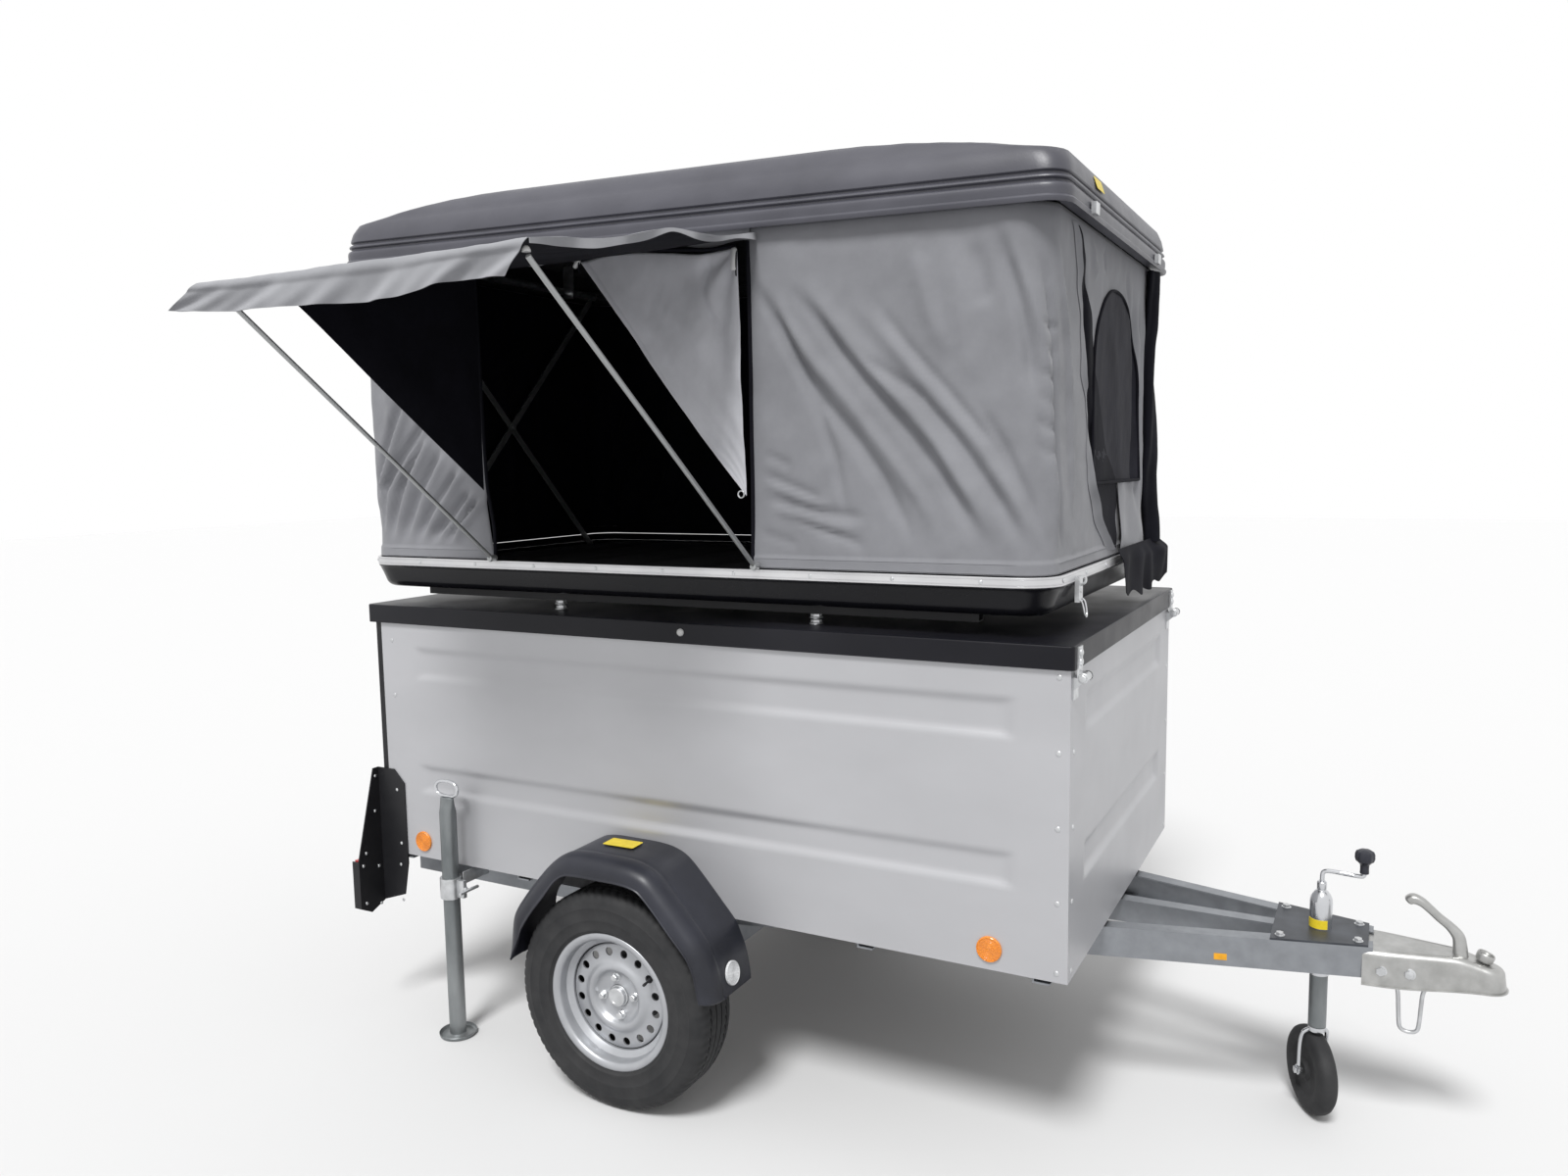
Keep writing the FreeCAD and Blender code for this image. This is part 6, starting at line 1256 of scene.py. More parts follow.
stud_low, stud_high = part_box("tent_studs")
stud_nut = hex_bolt(0.024, 0.01, 1.2)
stud_washer = lathe([
    (0.0092, 0), (0.017, 0), (0.0175, 0.0008), (0.017, 0.0018), (0.0092, 0.0018), (0.0092, 0)],
                    32)
stud_pieces = []
for x in (-0.33, 0.47):
    for side in (-1, 1):
        place = at(x, side * 0.5, 0)
        for z in (stud_low[2], stud_high[2] - 0.013):
            stud_pieces.append(copy_of(stud_washer, (place.x, place.y, z)))
            stud_pieces.append(copy_of(stud_nut, (place.x, place.y, z + 0.0018)))
scrap(stud_nut)
scrap(stud_washer)
settle(join(stud_pieces), "tent_stud_nuts", "lid", "zinc_hardware", zinc_plate)

latch_low, latch_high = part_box("tailgate_latches")
rear_x = latch_low[0]
middle_z = (latch_low[2] + latch_high[2]) / 2
HOOK_LINE = ((-0.001, 0.022), (-0.01, 0.026), (-0.016, 0.01), (-0.015, -0.014), (-0.008, -0.026),
             (-0.001, -0.02))
hook_parts = []
for side in (-1, 1):
    y = side * 0.542
    for z in (latch_high[2] - 0.016, latch_low[2] + 0.016):
        hook_parts.append(copy_of(hinge_bolt, (rear_x, y, z), TO_REAR))
    hook_parts.append(bar_along([(rear_x + x, y, middle_z + z) for x, z in HOOK_LINE], 0.0038, sides=12))
scrap(hinge_bolt)
settle(join(hook_parts), "tailgate_latch_hooks", "tailgate", "zinc_hardware", zinc_plate)

# Tent canvas. One long piece of grey polyester-cotton cloth, black on its inside, runs round the tent from
# one edge of the doorway to the other. It is gathered a little between the lower frame and the roof, so it
# hangs in soft folds; its hem is sewn double along the strip.
TENT_X = 0.042
STRIP_TOP = 1.396
CANVAS_HALF_L, CANVAS_HALF_W = 1.029, 0.574
CANVAS_R = 0.078
DOOR_REAR, DOOR_FRONT = -0.526, 0.335
LIP_FRONT_Z = 2.19
ROOF_TILT = math.radians(1.6)
ROOF_PIVOT = (1.005, 2.221)
CANVAS_TOP = LIP_FRONT_Z + 0.01
CLOTH_T = 0.0016


def tilt_rise(x):
    """How much higher the opened roof is at x than at its pivot."""
    return (ROOF_PIVOT[0] - x) * math.tan(ROOF_TILT)


def around_box(run, half_l, half_w, radius):
    """Place and outward normal on a rounded rectangle, at a distance from its right side's middle forward."""
    straight_l, straight_w, arc = half_l - radius, half_w - radius, radius * math.pi / 2
    legs = ((straight_l, "s", (0, -half_w), (1, 0)), (arc, "a", (straight_l, -straight_w), -90),
            (2 * straight_w, "s", (half_l, -straight_w), (0, 1)), (arc, "a", (straight_l, straight_w), 0),
            (2 * straight_l, "s", (straight_l, half_w), (-1, 0)), (arc, "a", (-straight_l, straight_w), 90),
            (2 * straight_w, "s", (-half_l, straight_w), (0, -1)),
            (arc, "a", (-straight_l, -straight_w), 180), (straight_l, "s", (-straight_l, -half_w), (1, 0)))
    run = max(0.0, run)
    for leg_length, kind, start, way in legs:
        if run <= leg_length or way == legs[-1][3] and start == legs[-1][2]:
            if kind == "s":
                return (Vector((start[0] + way[0] * run, start[1] + way[1] * run)), Vector((way[1], -way[0])))
            angle = math.radians(way) + run / radius
            out = Vector((math.cos(angle), math.sin(angle)))
            return Vector(start) + out * radius, out
        run -= leg_length


def loop_length(half_l, half_w, radius):
    """Length round a rounded rectangle."""
    return 4 * (half_l + half_w - 2 * radius) + 2 * math.pi * radius


CANVAS_LOOP = loop_length(CANVAS_HALF_L, CANVAS_HALF_W, CANVAS_R)
CANVAS_START = DOOR_FRONT - TENT_X
CANVAS_END = CANVAS_LOOP - (TENT_X - DOOR_REAR)
SIDE_END = CANVAS_HALF_L - CANVAS_R
CORNER = CANVAS_R * math.pi / 2
FRONT_MID = SIDE_END + CORNER + CANVAS_HALF_W - CANVAS_R
REAR_SIDE = CANVAS_LOOP - SIDE_END

# Folds of the cloth, each with its half width, its height (out positive) and the run and height of the
# points that it follows.
FOLDS = [(0.017, 0.0105, (0.3, 2.14), (0.39, 1.99), (0.47, 1.88), (0.55, 1.79), (0.64, 1.68),
     (0.73, 1.57), (0.79, 1.46)),
    (0.015, -0.0135, (0.28, 2.14), (0.36, 2), (0.42, 1.89), (0.49, 1.79), (0.57, 1.7), (0.64, 1.61),
     (0.7, 1.51), (0.73, 1.44)),
    (0.022, 0.0095, (0.4, 2.12), (0.5, 2.01), (0.62, 1.87), (0.73, 1.76), (0.81, 1.64), (0.88, 1.54),
     (0.94, 1.45)),
    (0.016, -0.0115, (0.38, 2.09), (0.47, 2), (0.59, 1.84), (0.67, 1.75), (0.77, 1.63), (0.84, 1.53),
     (0.89, 1.44)),
    (0.018, 0.008, (0.55, 2.05), (0.66, 1.93), (0.77, 1.8), (0.86, 1.7), (0.94, 1.58), (1.01, 1.45)),
    (0.015, -0.0105, (0.5, 1.98), (0.61, 1.88), (0.73, 1.8), (0.81, 1.71), (0.88, 1.61), (0.95, 1.5),
     (0.98, 1.43)),
    (0.014, 0.0105, (0.935, 2.18), (0.947, 2.11), (0.975, 2.02), (1.005, 1.91), (1.03, 1.8), (1.045, 1.67),
     (1.06, 1.54), (1.07, 1.43)),
    (0.016, -0.011, (0.905, 2.18), (0.925, 2.09), (0.955, 1.99), (0.98, 1.89), (0.995, 1.78)),
    (0.012, -0.012, (0.98, 2.17), (1.02, 2.05), (1.05, 1.92), (1.07, 1.8), (1.09, 1.61), (1.1, 1.43)),
    (0.013, 0.01, (1.03, 2.17), (1.08, 2.05), (1.13, 1.92), (1.16, 1.8), (1.18, 1.67), (1.2, 1.5)),
    (0.03, 0.006, (0.79, 2.16), (0.83, 1.97), (0.87, 1.8)), (0.022, -0.006, (0.85, 2.14), (0.88, 1.98)),
    (0.011, -0.006, (0.31, 1.635), (0.4, 1.6), (0.5, 1.56)),
    (0.01, 0.005, (0.32, 1.61), (0.42, 1.575), (0.52, 1.545)),
    (0.011, -0.0065, (0.31, 1.575), (0.46, 1.54), (0.62, 1.52)),
    (0.01, 0.0055, (0.33, 1.55), (0.48, 1.51), (0.58, 1.49)),
    (0.01, -0.006, (0.38, 1.53), (0.5, 1.49), (0.61, 1.455)), (0.009, -0.0045, (0.33, 1.68), (0.41, 1.645)),
    (0.009, -0.004, (0.3, 1.49), (0.42, 1.455)),
    (0.012, -0.0075, (0.33, 2.11), (0.4, 1.94), (0.46, 1.8), (0.52, 1.66), (0.56, 1.5)),
    (0.013, 0.0075, (0.44, 2.08), (0.55, 1.93), (0.66, 1.81), (0.76, 1.7), (0.83, 1.59), (0.91, 1.46)),
    (0.011, -0.0065, (0.6, 2.05), (0.7, 1.92), (0.8, 1.81), (0.9, 1.69), (0.97, 1.55)),
    (0.012, -0.007, (0.86, 1.8), (0.93, 1.68), (0.98, 1.57), (1.02, 1.45)),
    (0.02, 0.0065, (0.7, 2.16), (0.75, 2), (0.8, 1.88)),
    (0.014, -0.011, (1.285, 2.16), (1.3, 2.02), (1.33, 1.86), (1.37, 1.7), (1.42, 1.56)),
    (0.018, 0.008, (1.35, 2.17), (1.37, 2.12), (1.42, 2.1)),
    (0.016, -0.008, (1.86, 2.16), (1.88, 1.9), (1.87, 1.46)),
    (0.017, 0.009, (1.9, 2.16), (1.92, 1.9), (1.91, 1.46)),
    (0.014, -0.009, (1.95, 2.16), (1.96, 1.8), (1.955, 1.43)),
    (0.013, -0.006, (1.76, 2.17), (1.83, 2.06), (1.87, 1.92)), (0.012, -0.006, (1.5, 2.17), (1.53, 2.12)),
    (0.014, 0.007, (2.02, 2.17), (2, 1.8), (2.01, 1.43)), (0.014, -0.008, (2.06, 2.17), (2.07, 1.43))]
for step in range(6):
    FOLDS.append((0.0075, -0.0045 + 0.0015 * (step % 2), (1.000, 1.955 - 0.052 * step),
                  (1.035, 1.935 - 0.054 * step), (1.075, 1.94 - 0.055 * step)))
REAR_PLEATS = (((-1.03, 1.435), (-0.992, 1.616), (-0.902, 1.808), (-0.84, 1.93)),
               ((-1.000, 1.435), (-0.955, 1.594), (-0.841, 1.742), (-0.76, 1.83)),
               ((-0.956, 1.435), (-0.87, 1.637), (-0.788, 1.773)),
               ((-0.898, 1.435), (-0.815, 1.593), (-0.735, 1.719)),
               ((-0.845, 1.435), (-0.76, 1.551), (-0.668, 1.666)),
               ((-0.79, 1.435), (-0.721, 1.498), (-0.625, 1.6)),
               ((-0.725, 1.435), (-0.677, 1.5), (-0.6, 1.57)))
for number, line in enumerate(REAR_PLEATS):
    FOLDS.append((0.0125, -0.0165, *((CANVAS_LOOP + run, z) for run, z in line)))
    FOLDS.append((0.0125, 0.012 - 0.002 * (number % 2),
                  *((CANVAS_LOOP + run + 0.028, z) for run, z in line)))
FOLDS.append((0.02, 0.008, (REAR_SIDE + 0.01, 2.15), (REAR_SIDE + 0.02, 1.92), (REAR_SIDE + 0.03, 1.72)))
for step in range(8):
    run = REAR_SIDE - 0.05 - 0.15 * step
    FOLDS.append((0.02, 0.0095 * math.cos(2.3 * step + 0.4), (run, 2.17),
                  (run - 0.03 * math.sin(1.7 * step), 1.8), (run - 0.04, 1.43)))
FAR_START = SIDE_END + 2 * CORNER + 2 * (CANVAS_HALF_W - CANVAS_R)


def far_side(line):
    """A fold's line, moved from the right side to the same place of the left side."""
    return [(FAR_START + SIDE_END - run, z) for run, z in line]


for half, height, *line in list(FOLDS):
    if 0.3 < min(run for run, z in line) and max(run for run, z in line) < 0.99:
        if half > 0.0125:
            FOLDS.append((max(0.019, 1.3 * half), 1.25 * height, *far_side(line)))
for step in range(19):
    run = FAR_START + 0.06 + 0.105 * step
    lean = 0.09 * math.sin(2.7 * step)
    deep = 0.006 if step < 7 else 0.012
    FOLDS.append((0.021, deep * math.cos(1.9 * step), (run, 2.17), (run + lean * 0.4, 1.8),
                  (run + lean, 1.43)))
for number, line in enumerate(REAR_PLEATS):
    FOLDS.append((0.02, 0.0125 if number % 2 else -0.0135, *far_side(line)))


def fold_legs(fold):
    """A fold's reach, half width, height, straight legs and length."""
    half, height, *points = fold
    legs = []
    total = 0.0
    for (run0, z0), (run1, z1) in zip(points, points[1:]):
        length = math.hypot(run1 - run0, z1 - z0)
        legs.append((run0, z0, (run1 - run0) / length, (z1 - z0) / length, length, total))
        total += length
    margin = 2.6 * half
    (low_run, low_z), (high_run, high_z) = [[pick_out(values) for values in zip(*points)]
                                            for pick_out in (min, max)]
    return low_run - margin, high_run + margin, low_z - margin, high_z + margin, half, height, legs, total


ALL_LEGS = [fold_legs(fold) for fold in FOLDS]


def fold_lift(run, z):
    """Summed height of the folds at a place on the cloth."""
    lift = 0.0
    run += 0.005 * math.sin(14 * z + 9 * run)
    for low_run, high_run, low_z, high_z, half, height, legs, total in ALL_LEGS:
        if run < low_run or run > high_run or z < low_z or z > high_z:
            continue
        nearest, place = 9.0, 0.0
        for run0, z0, way_run, way_z, length, start in legs:
            ahead = max(0.0, min(length, (run - run0) * way_run + (z - z0) * way_z))
            aside = math.hypot(run - run0 - way_run * ahead, z - z0 - way_z * ahead)
            if aside < nearest:
                nearest, place = aside, start + ahead
        fade = ease(place / (0.3 * total)) * ease((total - place) / (0.22 * total))
        lift += height * fade * math.exp(-(nearest / half) ** 2)
    return lift


def cloth_crumple(run, z, seed=0.0):
    """Small uneven waves of hanging cloth."""
    wide = noise.noise(Vector((run * 2.6, z * 1.7, seed)))
    fine = noise.noise(Vector((run * 8.5 + z * 3.0, z * 5.5, seed + 7.0)))
    small = noise.noise(Vector((run * 24.0 - z * 9.0, z * 17.0, seed + 3.0)))
    return 0.006 * wide + 0.0034 * fine + 0.0014 * small


def hung(run, z, up):
    """How far the canvas stands out from a flat wall."""
    held = ease(up / 0.07) * ease((1 - up) / 0.05)
    belly = -0.004 * math.sin(math.pi * min(1.0, max(0.0, up))) ** 0.7
    return min(0.0145, belly * ease(up / 0.05) + (1.2 * fold_lift(run, z) + cloth_crumple(run, z)) * held)


HEM_RISE = 0.03
HEM_ROWS = 10
CANVAS_CELLS_AROUND, CANVAS_CELLS_UP = 540, 86
# Share of the cloth's run that has been passed at a share of its cells: the far side has wider cells.
CELL_SHARES = ((0.0, 0.0), (0.45, 0.335), (0.7, 0.69), (1.0, 1.0))


def cell_run(around):
    """Run of the cloth at a share of its cells."""
    for (share0, run0), (share1, run1) in zip(CELL_SHARES, CELL_SHARES[1:]):
        if around <= share1:
            return run0 + (run1 - run0) * (around - share0) / (share1 - share0)
    return 1.0


def canvas_form(around, up):
    """Canvas: round the tent, and up from the strip to the roof."""
    low_z = STRIP_TOP + 0.002
    row = up * CANVAS_CELLS_UP
    rise = 0.0041 * min(row, HEM_ROWS)
    run_end = CANVAS_END + 0.03 * ease((1.6 - (low_z + up * 0.8)) / 0.2)
    run = CANVAS_START + cell_run(around) * (run_end - CANVAS_START)
    place, out = around_box(run, CANVAS_HALF_L, CANVAS_HALF_W, CANVAS_R)
    high_z = CANVAS_TOP + tilt_rise(TENT_X + place.x)
    z = low_z + rise + max(0.0, row - HEM_ROWS) / (CANVAS_CELLS_UP - HEM_ROWS) * (high_z - low_z - 0.041)
    up = (z - low_z) / (high_z - low_z)
    hem = 0.003 * (1 - ease((z - low_z - HEM_RISE + 0.002) / 0.002))
    place = place + out * (hung(run, z, up) + hem)
    return at(TENT_X + place.x, place.y, z)


CANVAS_GREY = (0.262, 0.265, 0.284)
LINING_BLACK = (0.008, 0.008, 0.012)
CREASE = 0.001


def weave(made, per_metre, height):
    """Fine plain weave: threads that run round and threads that run up."""
    for stretch in ((1, 1, 0), (0, 0, 1)):
        relief(made, pattern(made, "Wave", per_metre, 2, stretch, wobble=1.5), height, 0.5)


def cloth(name, colour, roughness, spread=0.1, sheen=0.18, specular=0.5):
    """Woven cloth with uneven dye, a matt sheen and small creases."""
    made = material(name, colour, roughness, tones=(("Noise", 7, 8, (1, 1, 1), 0.6), spread),
                    bumps=[(("Noise", 26, 5), CREASE, 0.55), (("Noise", 90, 3), CREASE * 0.3, 0.5)],
                    Sheen_Weight=sheen, Specular_IOR_Level=specular)
    weave(made, 420, 0.00016)
    return made


grey_cloth = cloth("grey_canvas_cloth", CANVAS_GREY, 0.8)
thin_cloth = cloth("thin_awning_cloth", (0.35, 0.355, 0.375), 0.8)
# The flap's cloth is partly its own paler side and partly painted light, for the light that reaches the flap
# through the awning while it hangs in shade.
flap_cloth_pale_and_painted_lit = cloth("pale_flap_cloth_and_painted_light", (0.72, 0.727, 0.765), 0.8)
black_cloth = cloth("black_lining_cloth", LINING_BLACK, 0.82, 0.35, 0.01, 0.1)


def lined(sheet, outer, inner, thickness=CLOTH_T):
    """Give a sheet its thickness, with one cloth outside and another inside."""
    sheet.data.materials.append(outer)
    sheet.data.materials.append(inner)
    modifier(sheet, "SOLIDIFY", thickness=thickness, offset=-1.0, material_offset=1, material_offset_rim=0)


def face_out(sheet, towards):
    """Turn the sheet's faces so that they look the given way on the whole."""
    total = Vector((0, 0, 0))
    for face in sheet.data.polygons:
        total += face.normal * face.area
    if total.dot(Vector(towards)) < 0:
        sheet.data.flip_normals()


def lined_sheet(across, along, form, towards, outer, inner):
    """Sheet of two cloths, the outer one facing the given way."""
    sheet = formed_sheet(across, along, form)
    face_out(sheet, towards)
    lined(sheet, outer, inner)
    return sheet


def sewn(piece, name, slot, *made, smooth=60):
    """Finish a piece that is sewn on the canvas: it rides on no body, and its place is applied to its mesh.
    """
    settle(piece, name, None, slot, *made, smooth=smooth)
    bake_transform(piece)
    return piece


canvas = formed_sheet(CANVAS_CELLS_AROUND, CANVAS_CELLS_UP, canvas_form)
first = canvas.data.polygons[0]
if (first.center - at(TENT_X, 0, 0)).dot(first.normal) < 0:
    canvas.data.flip_normals()
lined(canvas, grey_cloth, black_cloth)
sewn(canvas, "canvas_cloth", "grey_canvas", smooth=180)
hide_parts("canvas_right", "canvas_left", "canvas_ends")


def on_canvas(run, z, proud=0.0):
    """Point on the canvas, or a little outside it."""
    place, out = around_box(run, CANVAS_HALF_L, CANVAS_HALF_W, CANVAS_R)
    high_z = CANVAS_TOP + tilt_rise(TENT_X + place.x)
    up = (z - STRIP_TOP - 0.002) / (high_z - STRIP_TOP - 0.002)
    place = place + out * (hung(run, z, up) + proud)
    return at(TENT_X + place.x, place.y, z)


# Windows. Black mosquito net in an arched opening at each end, its edge bound with a round black piping.
WINDOW_HALF, WINDOW_LOW, WINDOW_SPRING, WINDOW_TOP = 0.262, 1.592, 1.855, 2.086
PIPING_R = 0.0042
black_net = material("black_net", (0.012, 0.012, 0.015), 0.7, Specular_IOR_Level=0.14,
                     tones=(("Noise", 9, 6), (0.01, 0.01, 0.015), (0.022, 0.022, 0.03)),
                     bumps=[(("Noise", 30, 3), 0.001, 0.4)])
weave(black_net, 260, 0.0004)


def arch_top(aside):
    """Height of the window's edge at a distance from its middle."""
    share = min(1.0, abs(aside) / WINDOW_HALF)
    return WINDOW_SPRING + (WINDOW_TOP - WINDOW_SPRING) * math.sqrt(max(0.0, 1 - share ** 2))


for end_name, end_run, way in (("front", FRONT_MID + 0.078, 1), ("rear", CANVAS_LOOP - FRONT_MID, -1)):
    def net_form(across, up):
        """Net of one window, a little inside its piping."""
        aside = (2 * across - 1) * WINDOW_HALF
        z = WINDOW_LOW + up * (arch_top(aside) - WINDOW_LOW)
        return on_canvas(end_run + aside, z, 0.0022)

    net = formed_sheet(44, 44, net_form)
    face_out(net, (way, 0, 0))
    sewn(net, "window_net_" + end_name, "black_net", black_net)
    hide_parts("window_nets")
    outline = [(-WINDOW_HALF, z) for z in (WINDOW_LOW, WINDOW_LOW, WINDOW_SPRING - 0.06, WINDOW_SPRING)]
    for step in range(1, 12):
        turn = math.pi * (1 - step / 12)
        outline.append((WINDOW_HALF * math.cos(turn),
                        WINDOW_SPRING + (WINDOW_TOP - WINDOW_SPRING) * math.sin(turn)))
    outline += [(WINDOW_HALF, z) for z in (WINDOW_SPRING, WINDOW_SPRING - 0.06, WINDOW_LOW, WINDOW_LOW)]
    piping = bar_along([on_canvas(end_run + aside, z, 0.003) for aside, z in outline], PIPING_R, closed=True,
                       sides=12, smooth_steps=8)
    sewn(piping, "window_piping_" + end_name, "black_cloth", black_cloth)

# Front end. The zip of its inner door stands open along a wavy black band beside the window, a grey tab
# hangs at the window's foot, and the storm cover is rolled up and tied at the left corner.
ZIP_LEFT = (
    (-0.385, 2.18), (-0.335, 2.095), (-0.3, 1.998), (-0.278, 1.882), (-0.234, 1.79), (-0.208, 1.7),
    (-0.196, 1.597), (-0.11, 1.51), (0.02, 1.414))
ZIP_RIGHT = (
    (-0.34, 2.18), (-0.286, 2.102), (-0.225, 2.006), (-0.19, 1.92), (-0.13, 1.82), (-0.05, 1.71),
    (0.08, 1.6), (0.092, 1.51), (0.086, 1.414))


def zip_wave(along):
    """How the zip waves aside on its way down."""
    return 0.007 * math.sin(26 * along) + 0.004 * math.sin(55 * along)


def zip_form(along, across):
    """Black gap of the open zip."""
    here = smooth_line(ZIP_LEFT, along).lerp(smooth_line(ZIP_RIGHT, along), across)
    return on_canvas(FRONT_MID + here.x + zip_wave(along), here.y, 0.002 + 0.002 * abs(math.sin(14 * along)))


zip_band = formed_sheet(90, 10, zip_form)
face_out(zip_band, (1, 0, 0))
sewn(zip_band, "front_zip_band", "black_cloth", black_cloth)


def zip_edge_form(along, across):
    """Free edge of the corner panel beside the zip. It curls out, most at its foot."""
    here = smooth_line(ZIP_LEFT, along)
    curl = 0.004 + 0.01 * ease((along - 0.62) / 0.3) + 0.003 * math.sin(19 * along)
    aside = here.x + zip_wave(along) + (across - 0.75) * (0.03 + 0.02 * ease((along - 0.6) / 0.3))
    return on_canvas(FRONT_MID + aside, here.y, 0.0022 + curl * across ** 1.6)


zip_edge = lined_sheet(90, 8, zip_edge_form, (1, 0, 0), grey_cloth, black_cloth)
sewn(zip_edge, "front_panel_edge", "grey_canvas")


def tab_form(across, down):
    """Grey tab, open at its foot, with a curl towards its free edge."""
    aside = 0.094 + 0.25 * across + 0.03 * down * across + 0.008 * math.sin(3.2 * down)
    z = 1.588 - 0.185 * down + 0.022 * (across - 0.4) * down
    curl = 0.01 * ease(down) * (0.5 + across) + 0.003 * math.sin(9 * across + 2 * down)
    return on_canvas(FRONT_MID + aside, z, 0.007 + curl)


tab = lined_sheet(22, 16, tab_form, (1, 0, 0), grey_cloth, black_cloth)
sewn(tab, "front_tab", "grey_canvas")

ROLL_RUN = SIDE_END + CORNER + 2 * (CANVAS_HALF_W - CANVAS_R) + 0.01


def roll_form(along, around):
    """Rolled cover, thicker and loose towards its foot."""
    z = 2.186 - 0.779 * along
    angle = 2 * math.pi * around
    radius = 0.02 + 0.006 * math.sin(4.3 * along + 1) + 0.02 * ease((along - 0.1) / 0.7)
    radius *= 1 + 0.16 * math.sin(3 * angle + 9 * along)
    centre = on_canvas(ROLL_RUN - 0.036 + 0.034 * along, z, 0.003 + radius * 0.52)
    return centre + Vector((math.cos(angle) * radius * 0.62, math.sin(angle) * radius * 1.25, 0))


roll = formed_sheet(64, 26, roll_form, closed=True)
outward()
sewn(roll, "front_cover_roll", "black_cloth", black_cloth)
TRAY_FRONT = 1.043


def foot_form(across, down):
    """Foot of the black cover, which hangs loose over the strip and the edge of the tray."""
    y = 0.03 + 0.565 * across
    z = STRIP_TOP + 0.02 - (0.105 + 0.03 * math.sin(2.4 * across + 0.3) + 0.008
                             * math.sin(23 * across)) * down
    drop = ease(down / 0.3)
    out = 0.01 + 0.01 * drop + 0.016 * math.exp(-((y - 0.38) / 0.045) ** 2) * drop
    out += 0.006 * math.sin(17 * across + 2 * down) * drop + 0.012 * down * down * math.sin(5 * across + 0.5)
    flare = 0.026 * ease((y - 0.4) / 0.14) * drop
    return at(TENT_X + TRAY_FRONT + out + flare, y, z)


cover_foot = lined_sheet(70, 22, foot_form, (1, 0, 0), black_cloth, black_cloth)
settle(cover_foot, "front_cover_foot", "lid", "black_cloth", smooth=60)

# Door edges. Black piping closes both edges of the doorway, and two seams run along the canvas hem.
FRONT_EDGE = ((0.001, 2.195), (0.004, 1.98), (0.001, 1.75), (0.003, 1.55), (0, 1.402))
REAR_EDGE = ((-0.001, 2.195), (0, 1.9), (0, 1.62), (0.012, 1.55), (0.028, 1.47), (0.029, 1.402))
for name, start, points in (("front", CANVAS_START, FRONT_EDGE), ("rear", CANVAS_END, REAR_EDGE)):
    edge = bar_along([on_canvas(start + run, z, 0.001) for run, z in points], 0.005, sides=12)
    sewn(edge, "door_piping_" + name, "black_cloth", black_cloth)

for number, rise in enumerate((0.006, HEM_RISE - 0.003)):
    runs = [CANVAS_START + 0.01 + (CANVAS_END - CANVAS_START) * step / 240 for step in range(241)]
    seam = bar_along([on_canvas(run, STRIP_TOP + rise, 0.003) for run in runs], 0.0009, sides=8,
                     smooth_steps=2)
    sewn(seam, f"hem_seam_{number + 1}", "grey_canvas", grey_cloth)

# Awning. The doorway's cover swung up and out: grey cloth outside, black inside, tied to two rods, with a
# deep hem that hangs at its outer edge. A black side curtain closes its rear end.
AWNING_IN_Y, AWNING_OUT_Y = -0.581, -1.402
AWNING_IN_Z, AWNING_OUT_Z = 2.188, 2.056
AWNING_FRONT, AWNING_REAR_OUT = 0.36, -0.548
AWNING_SLOPE = (AWNING_IN_Z - AWNING_OUT_Z) / (AWNING_IN_Y - AWNING_OUT_Y)
# Lower edge of the hem at the outer edge, from front to rear, and how the front edge waves on its way out.
VALANCE_LINE = (
    (0.304, 1.995), (0.226, 1.999), (0.145, 1.996), (0.05, 1.981), (-0.048, 1.979), (-0.16, 1.983),
    (-0.279, 1.986), (-0.414, 1.989), (-0.53, 1.996), (-0.652, 2.006))
FRONT_WAVE = (0.012, 0.007, 0.004, 0.012, 0.02, 0.012, 0.002, -0.002, 0.001, 0)


def awning_form(along, out):
    """Awning: from its front edge to its rear edge, and outwards, over the edge and down the hem."""
    share = min(1.0, out / 0.8)
    rear = DOOR_REAR + (AWNING_REAR_OUT - DOOR_REAR) * share
    x = AWNING_FRONT + along * (rear - AWNING_FRONT)
    y = AWNING_IN_Y + share * (AWNING_OUT_Y - AWNING_IN_Y)
    z = AWNING_IN_Z + share * (AWNING_OUT_Z - AWNING_IN_Z)
    sag = 0.016 * math.sin(math.pi * share) * math.sin(math.pi * along) ** 0.7
    wave = smooth_value(FRONT_WAVE, share) * math.exp(-along * 8)
    crumple = 0.8 * cloth_crumple(x, y, 5.0) * ease(share / 0.1)
    z += wave - sag + crumple
    if out <= 0.8:
        return at(x, y, z)
    down = (out - 0.8) / 0.2
    low = smooth_line(VALANCE_LINE, along)
    phase = along - 0.1 * down
    folds = 0.011 * math.sin(17 * phase + 1.0) + 0.006 * math.sin(37 * phase) + 0.003 * math.sin(71 * phase
                                                                                                 + 2)
    folds += 0.012 * ease((along - 0.86) / 0.14) * math.sin(3 * down)
    roll = 0.004 * math.sin(math.pi * min(1.0, down * 3))
    return at(x + (low.x - x) * down, y - roll + folds * ease(down) * 0.8, z + (low.y - z) * down)


def swung(piece, name):
    """Finish a cloth of the awning; it rides on the roof's lift but does not gather as the roof comes down.
    """
    settle(piece, name, "roof_lift", "grey_canvas", smooth=60)
    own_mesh(piece)


awning = lined_sheet(130, 110, awning_form, (0, 0, 1), thin_cloth, black_cloth)
swung(awning, "awning_cloth")
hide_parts("awning")

# Depth of the awning's front hem on its way out. It is gathered twice, and waves between.
FRONT_HEM_DEPTHS = (0.014, 0.005, 0.009, 0.011, 0.004, 0.014, 0.012, 0.015, 0.013, 0.006)


